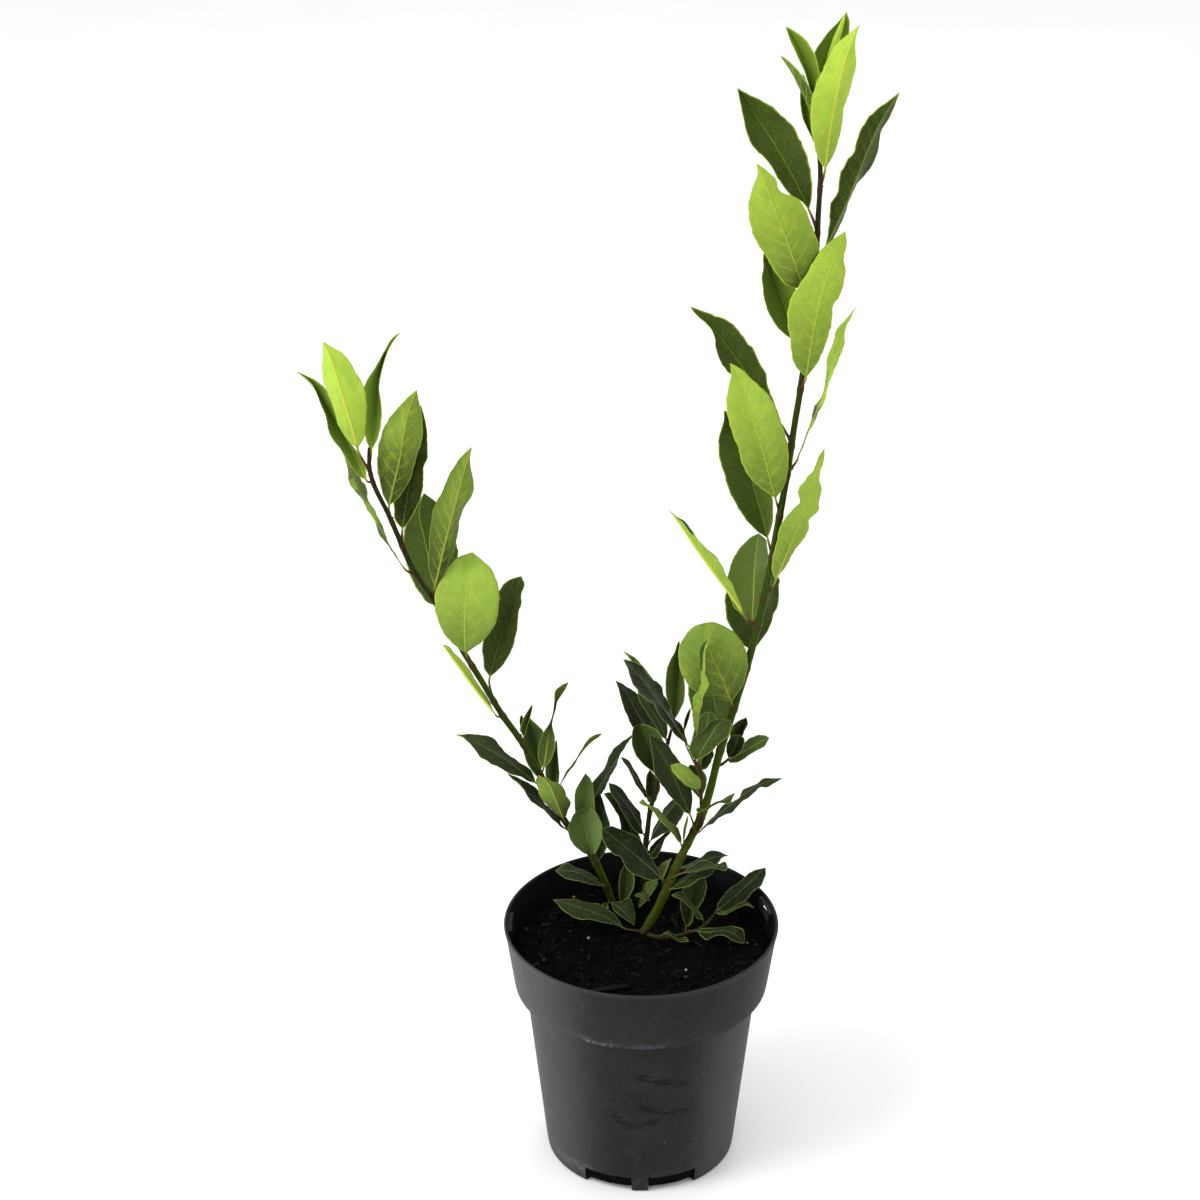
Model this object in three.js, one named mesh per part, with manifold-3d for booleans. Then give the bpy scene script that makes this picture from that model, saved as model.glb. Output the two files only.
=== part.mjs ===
// Bay laurel (Laurus nobilis) growing in a round plastic nursery pot.
// Millimetres, +Z up. Origin at the centre of the pot's underside.
import * as THREE from 'three';
import { mergeVertices } from 'three/addons/utils/BufferGeometryUtils.js';
import Module from 'manifold-3d';

const wasm = await Module();
wasm.setup();

// ---------------------------------------------------------------- driving sizes
const RIM_RADIUS = 100.0;        // outside of the lip
const RIM_HEIGHT = 190.7;        // top of the lip
const BAND_BOTTOM_Z = 141.1;     // where the rim band steps in to the body
const BAND_BOTTOM_RADIUS = 92.7;
const BODY_TOP_RADIUS = 85.0;
const FOOT_RADIUS = 69.9;
const WALL = 1.5;
const FLOOR = 1.8;
const POT_SEGMENTS = 60;
const DRAINS_DEG = [-110, -70, 10, 50, 130, 170]; // openings round the edge of the foot, in pairs
const DRAIN_WIDTH_DEG = 30;
const DRAIN_HEIGHT = 13;
const DRAIN_INNER_RADIUS = 61;
const SLOT_Z = [180, 188];       // the two slots through the rim band
const SLOTS_DEG = [[8, 22], [173, 187]];
const GAP = 0.35;                // clearance between pieces that touch
const SOIL_Z = 168.0;
const LEAF_THICKNESS = 1.0;      // at the midrib; the blade thins to its margin
const SHARPEST_FOLD = 0.25;      // sine of half the angle at which a fold's mitre stops growing
const STALK_RADIUS = 0.95;
const STEM_SIDES = 8;

// stem centre lines, foot to top: x, y, z, radius
const STEMS = {
  right_stem:[[1.5,20.0,154.0,3.7],[1.5,20.0,166.8,3.7],[20.9,21.1,209.7,3.3],[38.3,22.1,252.7,3.05],[51.5,23.2,296.6,2.94],[62.4,23.3,341.2,2.83],[73.4,20.7,386.2,2.73],[82.7,18.0,430.7,2.61],[89.3,15.3,475.0,2.49],[95.2,12.4,518.4,2.37],[100.1,9.3,561.2,2.25],[104.8,6.2,603.1,2.13],[108.9,3.1,644.1,2.02],[111.5,0.0,684.4,1.9],[112.4,-1.3,723.5,1.75],[112.4,-2.7,761.7,1.58],[107.7,-4.0,799.1,1.1]],
  left_stem:[[-21.9,62.0,156.0,3.0],[-21.9,62.0,166.5,3.0],[-33.9,60.7,202.5,2.78],[-52.9,59.3,232.9,2.58],[-69.0,58.0,265.1,2.49],[-82.8,54.0,299.7,2.39],[-100.1,50.0,331.2,2.3],[-115.7,46.0,363.2,2.2],[-130.7,42.0,395.0,2.1],[-145.0,38.0,426.5,2.0],[-160.7,34.0,456.3,1.9],[-171.7,31.3,487.9,1.76],[-183.4,28.7,518.4,1.62],[-187.1,26.0,550.6,1.1]],
  centre_stem:[[-0.1,59.0,158.0,2.2],[-0.1,59.0,165.9,2.2],[1.5,60.0,191.9,2.07],[3.0,61.0,217.6,1.93],[5.8,62.0,242.9,1.8],[11.2,63.3,267.2,1.63],[16.6,64.7,291.3,1.42],[22.1,66.0,315.1,1.0]],
  low_branch:[[5.2,11.4,161.0,1.7],[5.2,11.4,170.5,1.7],[14.0,6.8,171.4,1.57],[23.0,6.7,172.0,1.43],[31.9,9.5,172.9,1.3],[40.6,11.9,174.7,1.17],[48.3,16.0,177.8,1.03],[54.2,22.6,182.0,0.9]],
  inner_sprig:[[43.9,17.8,269.8,1.3],[43.0,14.2,285.7,1.22],[42.8,12.3,301.4,1.13],[40.7,10.7,316.7,0.99],[39.4,9.0,332.0,0.8]],
  side_twig:[[54.7,27.0,304.9,1.3],[58.5,28.0,305.6,1.05],[62.3,32.0,306.9,0.8]],
};

// leaves: where the leaf stalk starts, then eight stations from base to tip along
// the midrib and the two margins
const LEAVES = [
  {name:'leaf_r01',on:'right_stem',own:true,side:'A',tone:0.35,
   stalk:[107.5,-1.0,799.9],
   mid:[[107.3,1.8,800.7],[108.3,7.2,804.3],[110.8,16.3,811.8],[113.8,23.2,819.8],[117.1,27.8,828.3],[121.4,30.0,836.8],[125.9,29.9,845.7],[128.2,29.0,850.3]],
   left:[[107.3,1.8,800.7],[105.7,3.3,805.5],[105.3,8.1,815.0],[107.0,13.2,824.0],[111.1,17.9,832.6],[117.7,21.9,840.3],[124.8,26.0,846.9],[128.2,29.0,850.3]],
   right:[[107.3,1.8,800.7],[110.2,3.0,804.7],[116.0,7.4,812.3],[121.4,13.2,819.8],[126.1,19.1,827.1],[129.6,23.7,835.2],[130.0,26.9,845.1],[128.2,29.0,850.3]]},
  {name:'leaf_r01b',on:'right_stem',own:false,side:'B',tone:0.85,
   stalk:[107.7,-4.0,799.1],
   mid:[[110.5,-1.6,802.3],[111.8,-0.4,806.6],[114.3,2.7,815.1],[116.9,6.6,823.3],[119.6,11.5,831.3],[122.6,17.2,839.0],[126.0,23.7,846.4],[127.7,27.4,850.1]],
   left:[[110.5,-1.6,802.3],[110.9,1.5,806.3],[112.6,6.9,814.5],[114.9,11.8,822.7],[117.6,16.7,830.8],[120.9,21.5,838.7],[125.1,25.8,846.4],[127.7,27.4,850.1]],
   right:[[110.5,-1.6,802.3],[112.9,1.3,805.8],[116.5,6.4,813.4],[119.6,11.2,821.3],[122.3,16.1,829.4],[124.8,21.0,837.5],[127.1,25.5,845.8],[127.7,27.4,850.1]]},
  {name:'leaf_r02',on:'right_stem',own:true,side:'A',tone:0.75,
   stalk:[107.1,-2.0,801.3],
   mid:[[106.5,0.1,803.7],[105.6,1.1,807.4],[103.7,3.2,814.7],[101.2,5.7,821.7],[98.4,8.4,828.6],[95.2,11.4,835.1],[91.2,14.5,841.2],[89.2,16.2,844.2]],
   left:[[106.5,0.1,803.7],[105.0,-2.6,808.3],[102.3,-4.9,816.5],[99.3,-4.3,823.8],[95.9,-1.8,830.3],[92.7,2.9,836.3],[90.2,10.6,841.8],[89.2,16.2,844.2]],
   right:[[106.5,0.1,803.7],[107.7,-2.3,808.7],[110.4,-2.6,817.6],[108.9,-0.9,826.1],[105.4,1.7,833.5],[100.1,5.6,839.7],[93.0,11.6,843.4],[89.2,16.2,844.2]]},
  {name:'leaf_r03',on:'right_stem',own:true,side:'B',tone:0.6,
   stalk:[105.8,-2.2,792.2],
   mid:[[105.8,-2.6,793.4],[105.0,-2.2,796.7],[102.2,-1.0,803.0],[99.1,0.3,809.0],[95.6,1.8,814.8],[91.9,3.3,820.4],[87.8,5.0,825.7],[85.7,5.9,828.3]],
   left:[[105.8,-2.6,793.4],[104.6,0.7,795.6],[101.6,5.4,800.7],[98.9,8.3,806.5],[95.9,9.8,812.6],[92.4,10.0,818.7],[88.0,8.1,824.9],[85.7,5.9,828.3]],
   right:[[105.8,-2.6,793.4],[105.3,-5.0,797.7],[106.3,-6.6,806.1],[103.4,-6.6,813.2],[99.3,-5.3,818.9],[94.3,-2.5,823.8],[88.9,2.4,827.5],[85.7,5.9,828.3]]},
  {name:'leaf_r04',on:'right_stem',own:true,side:'B',tone:0.95,
   stalk:[115.8,-3.4,746.2],
   mid:[[115.7,-4.2,757.1],[116.2,-7.5,766.2],[117.4,-11.9,783.6],[119.6,-13.7,800.0],[122.6,-12.7,815.3],[126.2,-9.0,829.7],[131.4,-2.6,842.9],[134.7,1.6,849.0]],
   left:[[115.7,-4.2,757.1],[110.5,-7.3,766.0],[105.7,-11.7,784.6],[105.0,-12.7,802.6],[109.3,-10.3,818.3],[116.4,-3.7,832.0],[128.4,1.2,843.4],[134.7,1.6,849.0]],
   right:[[115.7,-4.2,757.1],[119.7,-3.6,764.4],[124.3,-3.4,779.9],[126.1,-2.9,795.5],[130.3,-2.1,810.7],[133.0,-0.4,826.0],[132.6,1.6,841.5],[134.7,1.6,849.0]]},
  {name:'leaf_r05',on:'right_stem',own:true,side:'A',tone:0.4,
   stalk:[110.7,2.3,716.4],
   mid:[[107.1,10.1,725.6],[103.9,14.5,731.5],[97.1,22.3,743.4],[89.6,28.8,755.2],[81.6,34.2,767.2],[73.1,38.4,779.2],[64.6,41.4,791.5],[60.1,42.5,797.6]],
   left:[[107.1,10.1,725.6],[101.6,9.1,732.1],[89.3,9.9,742.7],[81.3,13.6,755.2],[70.5,20.1,764.6],[65.0,26.5,777.9],[61.7,35.6,791.6],[60.1,42.5,797.6]],
   right:[[107.1,10.1,725.6],[108.8,11.7,734.1],[108.0,18.7,749.4],[103.2,27.4,763.5],[95.4,35.8,776.0],[82.7,35.2,787.2],[67.4,37.7,794.7],[60.1,42.5,797.6]]},
  {name:'leaf_r06',on:'right_stem',own:false,side:'A',tone:0.2,
   stalk:[111.4,-3.0,771.1],
   mid:[[108.0,6.1,774.1],[106.6,7.7,776.9],[104.4,10.6,783.0],[103.0,12.9,789.4],[102.1,14.6,796.1],[101.6,15.7,803.0],[101.2,16.1,810.1],[101.0,16.0,813.7]],
   left:[[108.0,6.1,774.1],[106.1,4.7,777.7],[102.6,3.8,784.5],[100.2,4.6,791.3],[99.2,6.4,798.1],[99.3,9.0,804.7],[100.2,13.0,810.9],[101.0,16.0,813.7]],
   right:[[108.0,6.1,774.1],[108.1,4.9,778.1],[107.5,4.3,785.4],[106.8,5.3,792.4],[105.9,6.9,798.9],[104.7,9.3,805.3],[102.6,13.2,811.3],[101.0,16.0,813.7]]},
  {name:'leaf_r07',on:'right_stem',own:true,side:'A',tone:0.3,
   stalk:[113.8,2.8,695.6],
   mid:[[118.0,9.7,698.7],[122.2,13.8,706.3],[130.4,21.6,721.8],[137.6,29.1,737.8],[144.4,36.1,754.1],[151.8,42.5,770.2],[161.1,48.0,785.6],[166.3,50.4,792.9]],
   left:[[118.0,9.7,698.7],[119.9,14.3,707.4],[121.6,23.1,725.2],[127.4,30.9,741.9],[136.7,37.6,757.4],[143.8,44.4,774.5],[158.6,48.8,787.2],[166.3,50.4,792.9]],
   right:[[118.0,9.7,698.7],[124.3,17.9,704.0],[132.9,31.0,718.0],[140.5,40.7,733.4],[151.9,46.9,747.7],[155.4,51.7,765.8],[163.7,52.1,783.2],[166.3,50.4,792.9]]},
  {name:'leaf_r08',on:'right_stem',own:true,side:'B',tone:0.6,
   stalk:[106.9,-0.4,667.7],
   mid:[[104.0,-2.5,676.1],[101.5,-5.3,684.4],[96.4,-9.1,700.2],[91.0,-10.7,714.9],[85.5,-9.9,728.6],[80.5,-6.7,741.7],[75.2,-1.1,753.7],[72.0,2.4,759.2]],
   left:[[104.0,-2.5,676.1],[93.6,-7.5,680.1],[83.3,-7.4,692.5],[74.9,-6.6,706.1],[68.5,-6.4,720.9],[67.7,-0.6,735.5],[73.1,3.9,750.9],[72.0,2.4,759.2]],
   right:[[104.0,-2.5,676.1],[109.0,-4.7,685.4],[113.2,-7.2,703.5],[108.6,-8.0,719.8],[102.1,-6.7,734.6],[87.5,-5.9,742.9],[78.8,-0.4,755.1],[72.0,2.4,759.2]]},
  {name:'leaf_r09',on:'right_stem',own:true,side:'B',tone:0.75,
   stalk:[106.6,2.1,606.3],
   mid:[[107.9,-0.2,613.6],[108.6,-5.3,624.4],[110.2,-12.7,644.7],[112.7,-16.3,663.2],[116.3,-16.1,679.9],[121.2,-12.2,695.0],[127.1,-4.4,708.4],[130.5,1.0,714.5]],
   left:[[107.9,-0.2,613.6],[100.1,-5.6,624.2],[95.9,-12.3,645.9],[93.7,-15.0,666.5],[100.9,-14.6,683.6],[110.1,-10.6,698.6],[122.6,-3.5,710.4],[130.5,1.0,714.5]],
   right:[[107.9,-0.2,613.6],[113.2,-4.3,622.7],[119.5,-10.4,641.4],[122.9,-12.9,659.4],[127.6,-13.1,675.9],[130.6,-9.8,691.6],[131.3,-3.1,706.7],[130.5,1.0,714.5]]},
  {name:'leaf_r10',on:'right_stem',own:true,side:'A',tone:0.15,
   stalk:[105.5,7.2,633.6],
   mid:[[103.2,10.2,633.3],[101.3,13.4,637.7],[97.4,19.0,646.6],[93.3,23.5,655.9],[89.1,27.0,665.6],[85.0,29.4,675.6],[81.3,30.8,686.1],[79.5,31.1,691.5]],
   left:[[103.2,10.2,633.3],[97.8,7.9,637.9],[88.3,7.9,646.2],[82.2,10.0,655.9],[79.1,12.9,666.7],[77.9,17.5,677.5],[78.7,25.4,687.2],[79.5,31.1,691.5]],
   right:[[103.2,10.2,633.3],[105.2,9.3,640.3],[105.3,10.5,652.3],[103.0,13.5,663.3],[98.7,17.1,673.3],[92.6,21.3,682.2],[84.9,26.9,689.3],[79.5,31.1,691.5]]},
  {name:'leaf_r11',on:'right_stem',own:true,side:'A',tone:0.35,
   stalk:[98.1,12.7,564.0],
   mid:[[94.1,19.6,571.2],[89.7,23.7,577.4],[80.3,31.4,589.6],[70.1,38.2,601.6],[60.1,44.5,614.0],[49.5,49.9,626.2],[37.6,54.2,637.7],[31.4,56.0,643.3]],
   left:[[94.1,19.6,571.2],[86.1,17.1,577.4],[74.8,17.8,591.0],[63.3,21.7,603.5],[51.9,27.3,614.6],[47.8,37.1,629.3],[36.7,48.2,638.8],[31.4,56.0,643.3]],
   right:[[94.1,19.6,571.2],[91.4,24.3,578.7],[85.2,33.1,593.0],[79.5,41.5,608.2],[70.1,48.3,621.7],[58.0,53.8,634.0],[40.1,55.6,640.5],[31.4,56.0,643.3]]},
  {name:'leaf_r12',on:'right_stem',own:true,side:'B',tone:0.7,
   stalk:[90.5,10.8,511.9],
   mid:[[90.3,9.0,522.2],[87.8,5.8,532.1],[83.0,1.7,550.8],[78.3,0.4,568.1],[73.5,2.1,583.9],[68.6,6.7,598.4],[62.2,14.0,611.1],[58.1,18.6,616.6]],
   left:[[90.3,9.0,522.2],[82.2,4.8,530.0],[69.5,-0.8,546.0],[64.1,-2.0,563.5],[58.1,-0.3,579.5],[55.4,4.7,594.6],[58.5,13.2,609.6],[58.1,18.6,616.6]],
   right:[[90.3,9.0,522.2],[95.8,6.3,532.7],[98.1,3.0,553.4],[95.2,1.2,572.4],[89.2,2.6,589.1],[79.3,6.6,603.4],[65.9,13.8,613.8],[58.1,18.6,616.6]]},
  {name:'leaf_r13',on:'right_stem',own:true,side:'B',tone:0.7,
   stalk:[102.1,11.9,543.3],
   mid:[[104.7,12.3,549.6],[107.9,10.7,559.7],[114.3,8.6,579.3],[120.8,8.0,598.0],[124.8,9.3,616.6],[129.5,12.2,634.4],[136.8,16.4,650.6],[141.6,18.9,658.0]],
   left:[[104.7,12.3,549.6],[107.8,14.9,558.4],[113.6,17.4,576.0],[121.2,18.8,593.8],[122.8,20.5,613.3],[127.0,21.7,632.4],[136.4,20.6,649.3],[141.6,18.9,658.0]],
   right:[[104.7,12.3,549.6],[107.9,6.6,561.2],[114.5,-0.4,582.5],[121.4,-3.1,601.5],[126.6,-1.9,619.8],[132.6,2.8,636.4],[137.0,12.1,651.8],[141.6,18.9,658.0]]},
  {name:'leaf_r14',on:'right_stem',own:true,side:'A',tone:0.2,
   stalk:[88.2,19.3,477.9],
   mid:[[86.5,26.5,484.5],[84.7,30.9,490.8],[80.5,38.9,503.8],[76.2,45.6,517.4],[71.7,51.1,531.4],[66.0,55.1,545.5],[59.3,57.7,559.8],[55.8,58.5,567.1]],
   left:[[86.5,26.5,484.5],[78.8,25.7,490.5],[67.7,28.6,503.0],[59.6,34.3,516.5],[54.9,40.6,530.3],[51.9,46.5,544.2],[55.4,52.1,560.7],[55.8,58.5,567.1]],
   right:[[86.5,26.5,484.5],[89.2,25.9,493.8],[89.6,28.6,510.9],[87.2,33.3,526.5],[82.5,39.0,541.0],[74.4,45.5,554.1],[63.2,53.4,564.2],[55.8,58.5,567.1]]},
  {name:'leaf_r15',on:'right_stem',own:true,side:'B',tone:0.6,
   stalk:[89.3,15.8,445.4],
   mid:[[92.1,14.5,457.6],[94.9,11.6,467.3],[100.4,7.9,485.6],[106.1,6.9,502.4],[111.6,8.8,517.9],[116.7,13.7,532.4],[121.4,21.5,545.7],[123.7,26.5,552.0]],
   left:[[92.1,14.5,457.6],[88.9,11.3,468.9],[91.2,3.9,490.7],[94.9,0.9,509.4],[105.1,-0.6,524.2],[109.5,6.5,537.9],[118.5,17.8,548.1],[123.7,26.5,552.0]],
   right:[[92.1,14.5,457.6],[96.6,15.4,465.0],[104.7,16.1,480.7],[113.5,16.6,495.7],[120.2,18.1,511.1],[121.1,21.8,527.5],[123.4,25.3,543.6],[123.7,26.5,552.0]]},
  {name:'leaf_r16',on:'right_stem',own:true,side:'B',tone:0.7,
   stalk:[76.7,17.1,423.2],
   mid:[[71.3,14.7,430.1],[66.8,12.5,438.3],[57.7,10.6,453.3],[48.4,11.6,466.5],[39.3,16.0,478.1],[30.5,23.6,488.5],[21.6,34.5,497.4],[16.9,41.1,501.2]],
   left:[[71.3,14.7,430.1],[66.5,15.1,436.7],[57.4,16.4,450.1],[47.8,18.7,462.6],[38.8,23.1,474.3],[30.1,29.4,485.5],[21.5,37.2,496.0],[16.9,41.1,501.2]],
   right:[[71.3,14.7,430.1],[68.7,15.7,438.0],[62.6,17.9,453.2],[54.8,20.7,467.0],[44.1,24.7,477.8],[34.2,30.9,488.4],[22.7,37.6,496.7],[16.9,41.1,501.2]]},
  {name:'leaf_r17',on:'right_stem',own:true,side:'A',tone:0.5,
   stalk:[77.6,22.0,421.4],
   mid:[[76.9,22.7,422.0],[77.2,25.2,426.5],[77.8,29.8,435.8],[78.1,33.9,445.4],[78.4,37.5,455.2],[79.1,40.4,465.3],[80.3,42.8,475.5],[81.1,43.7,480.7]],
   left:[[76.9,22.7,422.0],[70.4,21.6,427.5],[62.2,25.2,437.0],[59.2,28.2,447.8],[61.0,29.5,460.5],[65.9,32.7,471.3],[74.7,38.8,479.2],[81.1,43.7,480.7]],
   right:[[76.9,22.7,422.0],[80.3,30.6,423.2],[83.9,42.0,429.7],[86.3,48.9,438.3],[88.0,52.7,448.5],[88.6,52.7,460.2],[86.6,47.9,473.9],[81.1,43.7,480.7]]},
  {name:'leaf_r18',on:'right_stem',own:true,side:'A',tone:0.1,
   stalk:[75.1,25.1,388.3],
   mid:[[78.9,34.4,393.8],[79.2,39.6,396.8],[79.7,48.2,403.8],[80.3,54.2,412.2],[81.1,57.6,421.7],[82.7,58.4,432.3],[84.4,56.6,444.1],[85.2,54.7,450.4]],
   left:[[78.9,34.4,393.8],[71.7,34.8,397.8],[63.7,40.9,406.8],[59.2,50.8,415.0],[58.7,58.9,425.3],[65.8,57.0,438.3],[78.3,52.4,447.8],[85.2,54.7,450.4]],
   right:[[78.9,34.4,393.8],[82.3,33.5,399.7],[89.0,35.3,409.8],[92.4,39.4,419.4],[96.5,44.9,428.0],[96.5,50.3,436.9],[90.6,54.2,447.9],[85.2,54.7,450.4]]},
  {name:'leaf_r19',on:'right_stem',own:true,side:'B',tone:0.55,
   stalk:[63.4,18.5,356.6],
   mid:[[63.4,16.6,361.8],[61.3,14.5,368.2],[57.3,11.9,380.0],[53.0,11.3,390.7],[48.7,12.6,400.1],[45.0,16.0,408.8],[44.4,21.7,416.6],[45.4,25.4,420.3]],
   left:[[63.4,16.6,361.8],[55.7,14.3,365.4],[40.7,9.3,372.2],[30.9,8.0,382.5],[26.0,10.5,394.2],[26.5,16.4,407.2],[37.0,23.4,418.4],[45.4,25.4,420.3]],
   right:[[63.4,16.6,361.8],[66.8,13.9,369.2],[72.9,12.4,384.8],[73.9,13.3,397.9],[70.6,16.0,408.6],[64.4,19.3,415.3],[51.7,23.4,421.0],[45.4,25.4,420.3]]},
  {name:'leaf_r20',on:'inner_sprig',own:true,side:'B',tone:0.6,
   stalk:[38.5,8.9,337.9],
   mid:[[39.3,9.3,340.3],[39.8,6.0,349.1],[40.9,1.4,365.4],[42.4,-0.4,380.0],[43.2,0.4,393.2],[44.0,4.1,405.0],[46.7,10.5,415.0],[48.6,14.7,419.4]],
   left:[[39.3,9.3,340.3],[36.2,7.7,348.0],[35.9,6.9,362.8],[39.9,6.7,376.4],[41.3,7.9,389.7],[40.6,10.4,402.9],[46.4,13.1,413.5],[48.6,14.7,419.4]],
   right:[[39.3,9.3,340.3],[39.9,3.3,350.6],[41.6,-4.5,368.6],[45.0,-7.8,383.6],[44.6,-7.0,396.6],[43.9,-2.0,407.8],[46.8,7.6,416.3],[48.6,14.7,419.4]]},
  {name:'leaf_r21',on:'right_stem',own:false,side:'A',tone:0.1,
   stalk:[56.4,23.7,318.9],
   mid:[[56.8,37.2,321.7],[56.2,41.4,324.0],[55.0,48.6,329.3],[53.5,54.1,335.5],[51.8,58.0,342.6],[49.8,60.1,350.4],[47.1,60.4,359.0],[45.5,59.8,363.5]],
   left:[[56.8,37.2,321.7],[50.1,37.3,323.5],[42.8,40.7,329.7],[37.4,46.8,335.6],[34.5,54.6,341.6],[33.2,59.1,349.1],[40.7,59.2,361.0],[45.5,59.8,363.5]],
   right:[[56.8,37.2,321.7],[59.4,36.6,326.8],[62.7,38.8,335.6],[64.1,43.3,343.6],[62.2,47.5,351.4],[57.1,50.9,358.3],[49.5,56.0,362.7],[45.5,59.8,363.5]]},
  {name:'leaf_r22',on:'inner_sprig',own:false,side:'A',tone:0.3,
   stalk:[42.5,12.0,304.5],
   mid:[[41.8,16.6,310.8],[42.2,18.3,313.5],[43.2,21.5,319.1],[44.2,24.1,324.9],[45.4,26.2,331.0],[46.6,27.9,337.3],[47.5,29.1,343.9],[48.0,29.5,347.3]],
   left:[[41.8,16.6,310.8],[39.8,14.8,315.4],[36.9,14.2,323.4],[35.9,16.0,330.8],[37.2,18.7,337.4],[39.1,22.4,342.8],[44.4,26.9,347.4],[48.0,29.5,347.3]],
   right:[[41.8,16.6,310.8],[43.6,21.9,311.6],[47.1,29.2,314.9],[50.6,33.6,319.9],[53.2,35.2,325.7],[53.8,34.8,333.8],[51.5,32.6,344.2],[48.0,29.5,347.3]]},
  {name:'leaf_r23',on:'inner_sprig',own:true,side:'A',tone:0.15,
   stalk:[40.8,7.6,317.4],
   mid:[[40.0,2.7,322.7],[40.9,1.1,327.2],[43.7,-1.2,334.9],[47.1,-1.8,341.5],[50.4,-0.5,347.3],[54.0,2.2,351.5],[59.7,5.6,352.4],[63.0,7.7,352.1]],
   left:[[40.0,2.7,322.7],[35.9,3.6,324.0],[34.0,7.7,333.1],[39.1,11.5,337.8],[44.9,12.8,342.9],[50.3,13.7,349.2],[59.0,10.9,351.3],[63.0,7.7,352.1]],
   right:[[40.0,2.7,322.7],[42.6,-4.2,328.4],[47.6,-12.7,337.3],[52.3,-16.1,343.9],[57.0,-14.9,348.2],[61.3,-8.9,350.4],[63.3,0.5,352.4],[63.0,7.7,352.1]]},
  {name:'leaf_r24a',on:'side_twig',own:false,side:'A',tone:0.1,
   stalk:[61.5,31.2,306.7],
   mid:[[63.8,36.3,307.5],[64.6,38.6,309.0],[66.1,42.9,312.2],[67.8,46.5,315.7],[70.0,49.5,319.4],[72.2,51.8,323.3],[74.7,53.5,327.5],[75.9,54.1,329.7]],
   left:[[63.8,36.3,307.5],[63.7,36.0,310.8],[63.6,37.4,316.5],[63.5,40.1,321.5],[64.9,43.8,325.8],[68.1,47.4,328.9],[73.2,51.2,330.0],[75.9,54.1,329.7]],
   right:[[63.8,36.3,307.5],[65.2,35.8,310.3],[67.9,36.7,314.9],[70.7,38.9,318.8],[73.4,41.8,322.3],[75.5,45.6,325.7],[76.5,50.6,328.7],[75.9,54.1,329.7]]},
  {name:'leaf_r24b',on:'side_twig',own:false,side:'A',tone:0.15,
   stalk:[61.8,31.5,306.7],
   mid:[[63.0,27.5,310.4],[63.7,27.5,311.9],[65.0,28.0,314.8],[66.3,28.8,317.5],[67.6,30.1,320.0],[68.6,31.9,322.4],[69.3,34.1,324.6],[69.5,35.3,325.6]],
   left:[[63.0,27.5,310.4],[61.9,30.3,310.6],[60.8,34.1,312.7],[61.0,36.4,315.8],[62.2,37.8,319.1],[64.1,38.3,322.7],[67.7,37.2,324.3],[69.5,35.3,325.6]],
   right:[[63.0,27.5,310.4],[64.9,24.4,312.6],[68.3,21.4,316.6],[71.2,21.1,320.0],[73.0,23.0,323.1],[73.6,26.8,325.7],[71.2,31.7,326.4],[69.5,35.3,325.6]]},
  {name:'leaf_r24c',on:'side_twig',own:false,side:'A',tone:0.15,
   stalk:[62.0,31.7,306.8],
   mid:[[63.4,32.4,305.9],[65.8,33.6,306.9],[70.5,36.0,309.0],[75.3,38.3,310.9],[80.1,40.6,312.9],[84.9,42.9,314.9],[89.9,45.1,316.5],[92.5,46.0,317.1]],
   left:[[63.4,32.4,305.9],[65.3,37.0,306.2],[69.4,43.7,308.1],[73.6,48.3,311.0],[78.3,50.7,314.4],[84.0,51.2,317.0],[90.1,49.0,317.5],[92.5,46.0,317.1]],
   right:[[63.4,32.4,305.9],[63.3,30.0,305.5],[69.5,27.5,307.7],[75.1,28.2,310.9],[80.4,30.9,313.6],[86.1,34.8,315.0],[90.8,41.3,316.5],[92.5,46.0,317.1]]},
  {name:'leaf_r25',on:'inner_sprig',own:false,side:'B',tone:0.7,
   stalk:[43.0,14.7,281.4],
   mid:[[39.1,4.0,297.4],[37.7,2.8,300.1],[35.1,1.2,305.0],[32.2,0.6,309.1],[29.2,1.0,312.4],[25.9,2.4,314.8],[22.3,4.6,316.2],[20.4,6.1,316.5]],
   left:[[39.1,4.0,297.4],[36.9,-0.9,301.1],[32.7,-7.1,306.6],[28.9,-9.6,310.8],[25.7,-9.1,314.2],[22.9,-6.0,316.2],[21.0,0.9,317.0],[20.4,6.1,316.5]],
   right:[[39.1,4.0,297.4],[41.8,4.9,298.2],[42.1,7.8,303.2],[38.0,10.2,306.5],[34.2,11.3,310.9],[29.1,11.1,314.2],[23.3,8.6,315.8],[20.4,6.1,316.5]]},
  {name:'leaf_r26',on:'right_stem',own:true,side:'A',tone:0.25,
   stalk:[42.6,23.9,251.0],
   mid:[[41.9,23.7,251.2],[46.5,27.5,253.8],[55.9,34.4,259.1],[65.7,40.3,264.5],[75.3,45.6,270.5],[85.7,49.5,275.7],[97.3,51.6,279.2],[103.3,52.2,280.7]],
   left:[[41.9,23.7,251.2],[46.0,31.3,252.5],[55.1,42.8,256.5],[64.9,50.2,260.4],[74.5,55.8,267.1],[85.2,58.2,273.7],[97.1,55.7,278.4],[103.3,52.2,280.7]],
   right:[[41.9,23.7,251.2],[46.6,23.9,255.7],[56.8,26.1,262.1],[67.7,29.6,266.7],[76.6,35.0,273.3],[86.2,41.2,278.7],[98.1,47.2,279.4],[103.3,52.2,280.7]]},
  {name:'leaf_r27',on:'inner_sprig',own:false,side:'A',tone:0.1,
   stalk:[42.7,12.2,302.4],
   mid:[[42.6,19.0,305.4],[43.0,21.8,305.6],[43.9,26.7,306.6],[44.8,30.5,308.0],[45.8,33.4,310.0],[46.9,35.2,312.5],[48.0,36.1,315.6],[48.5,36.1,317.3]],
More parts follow.
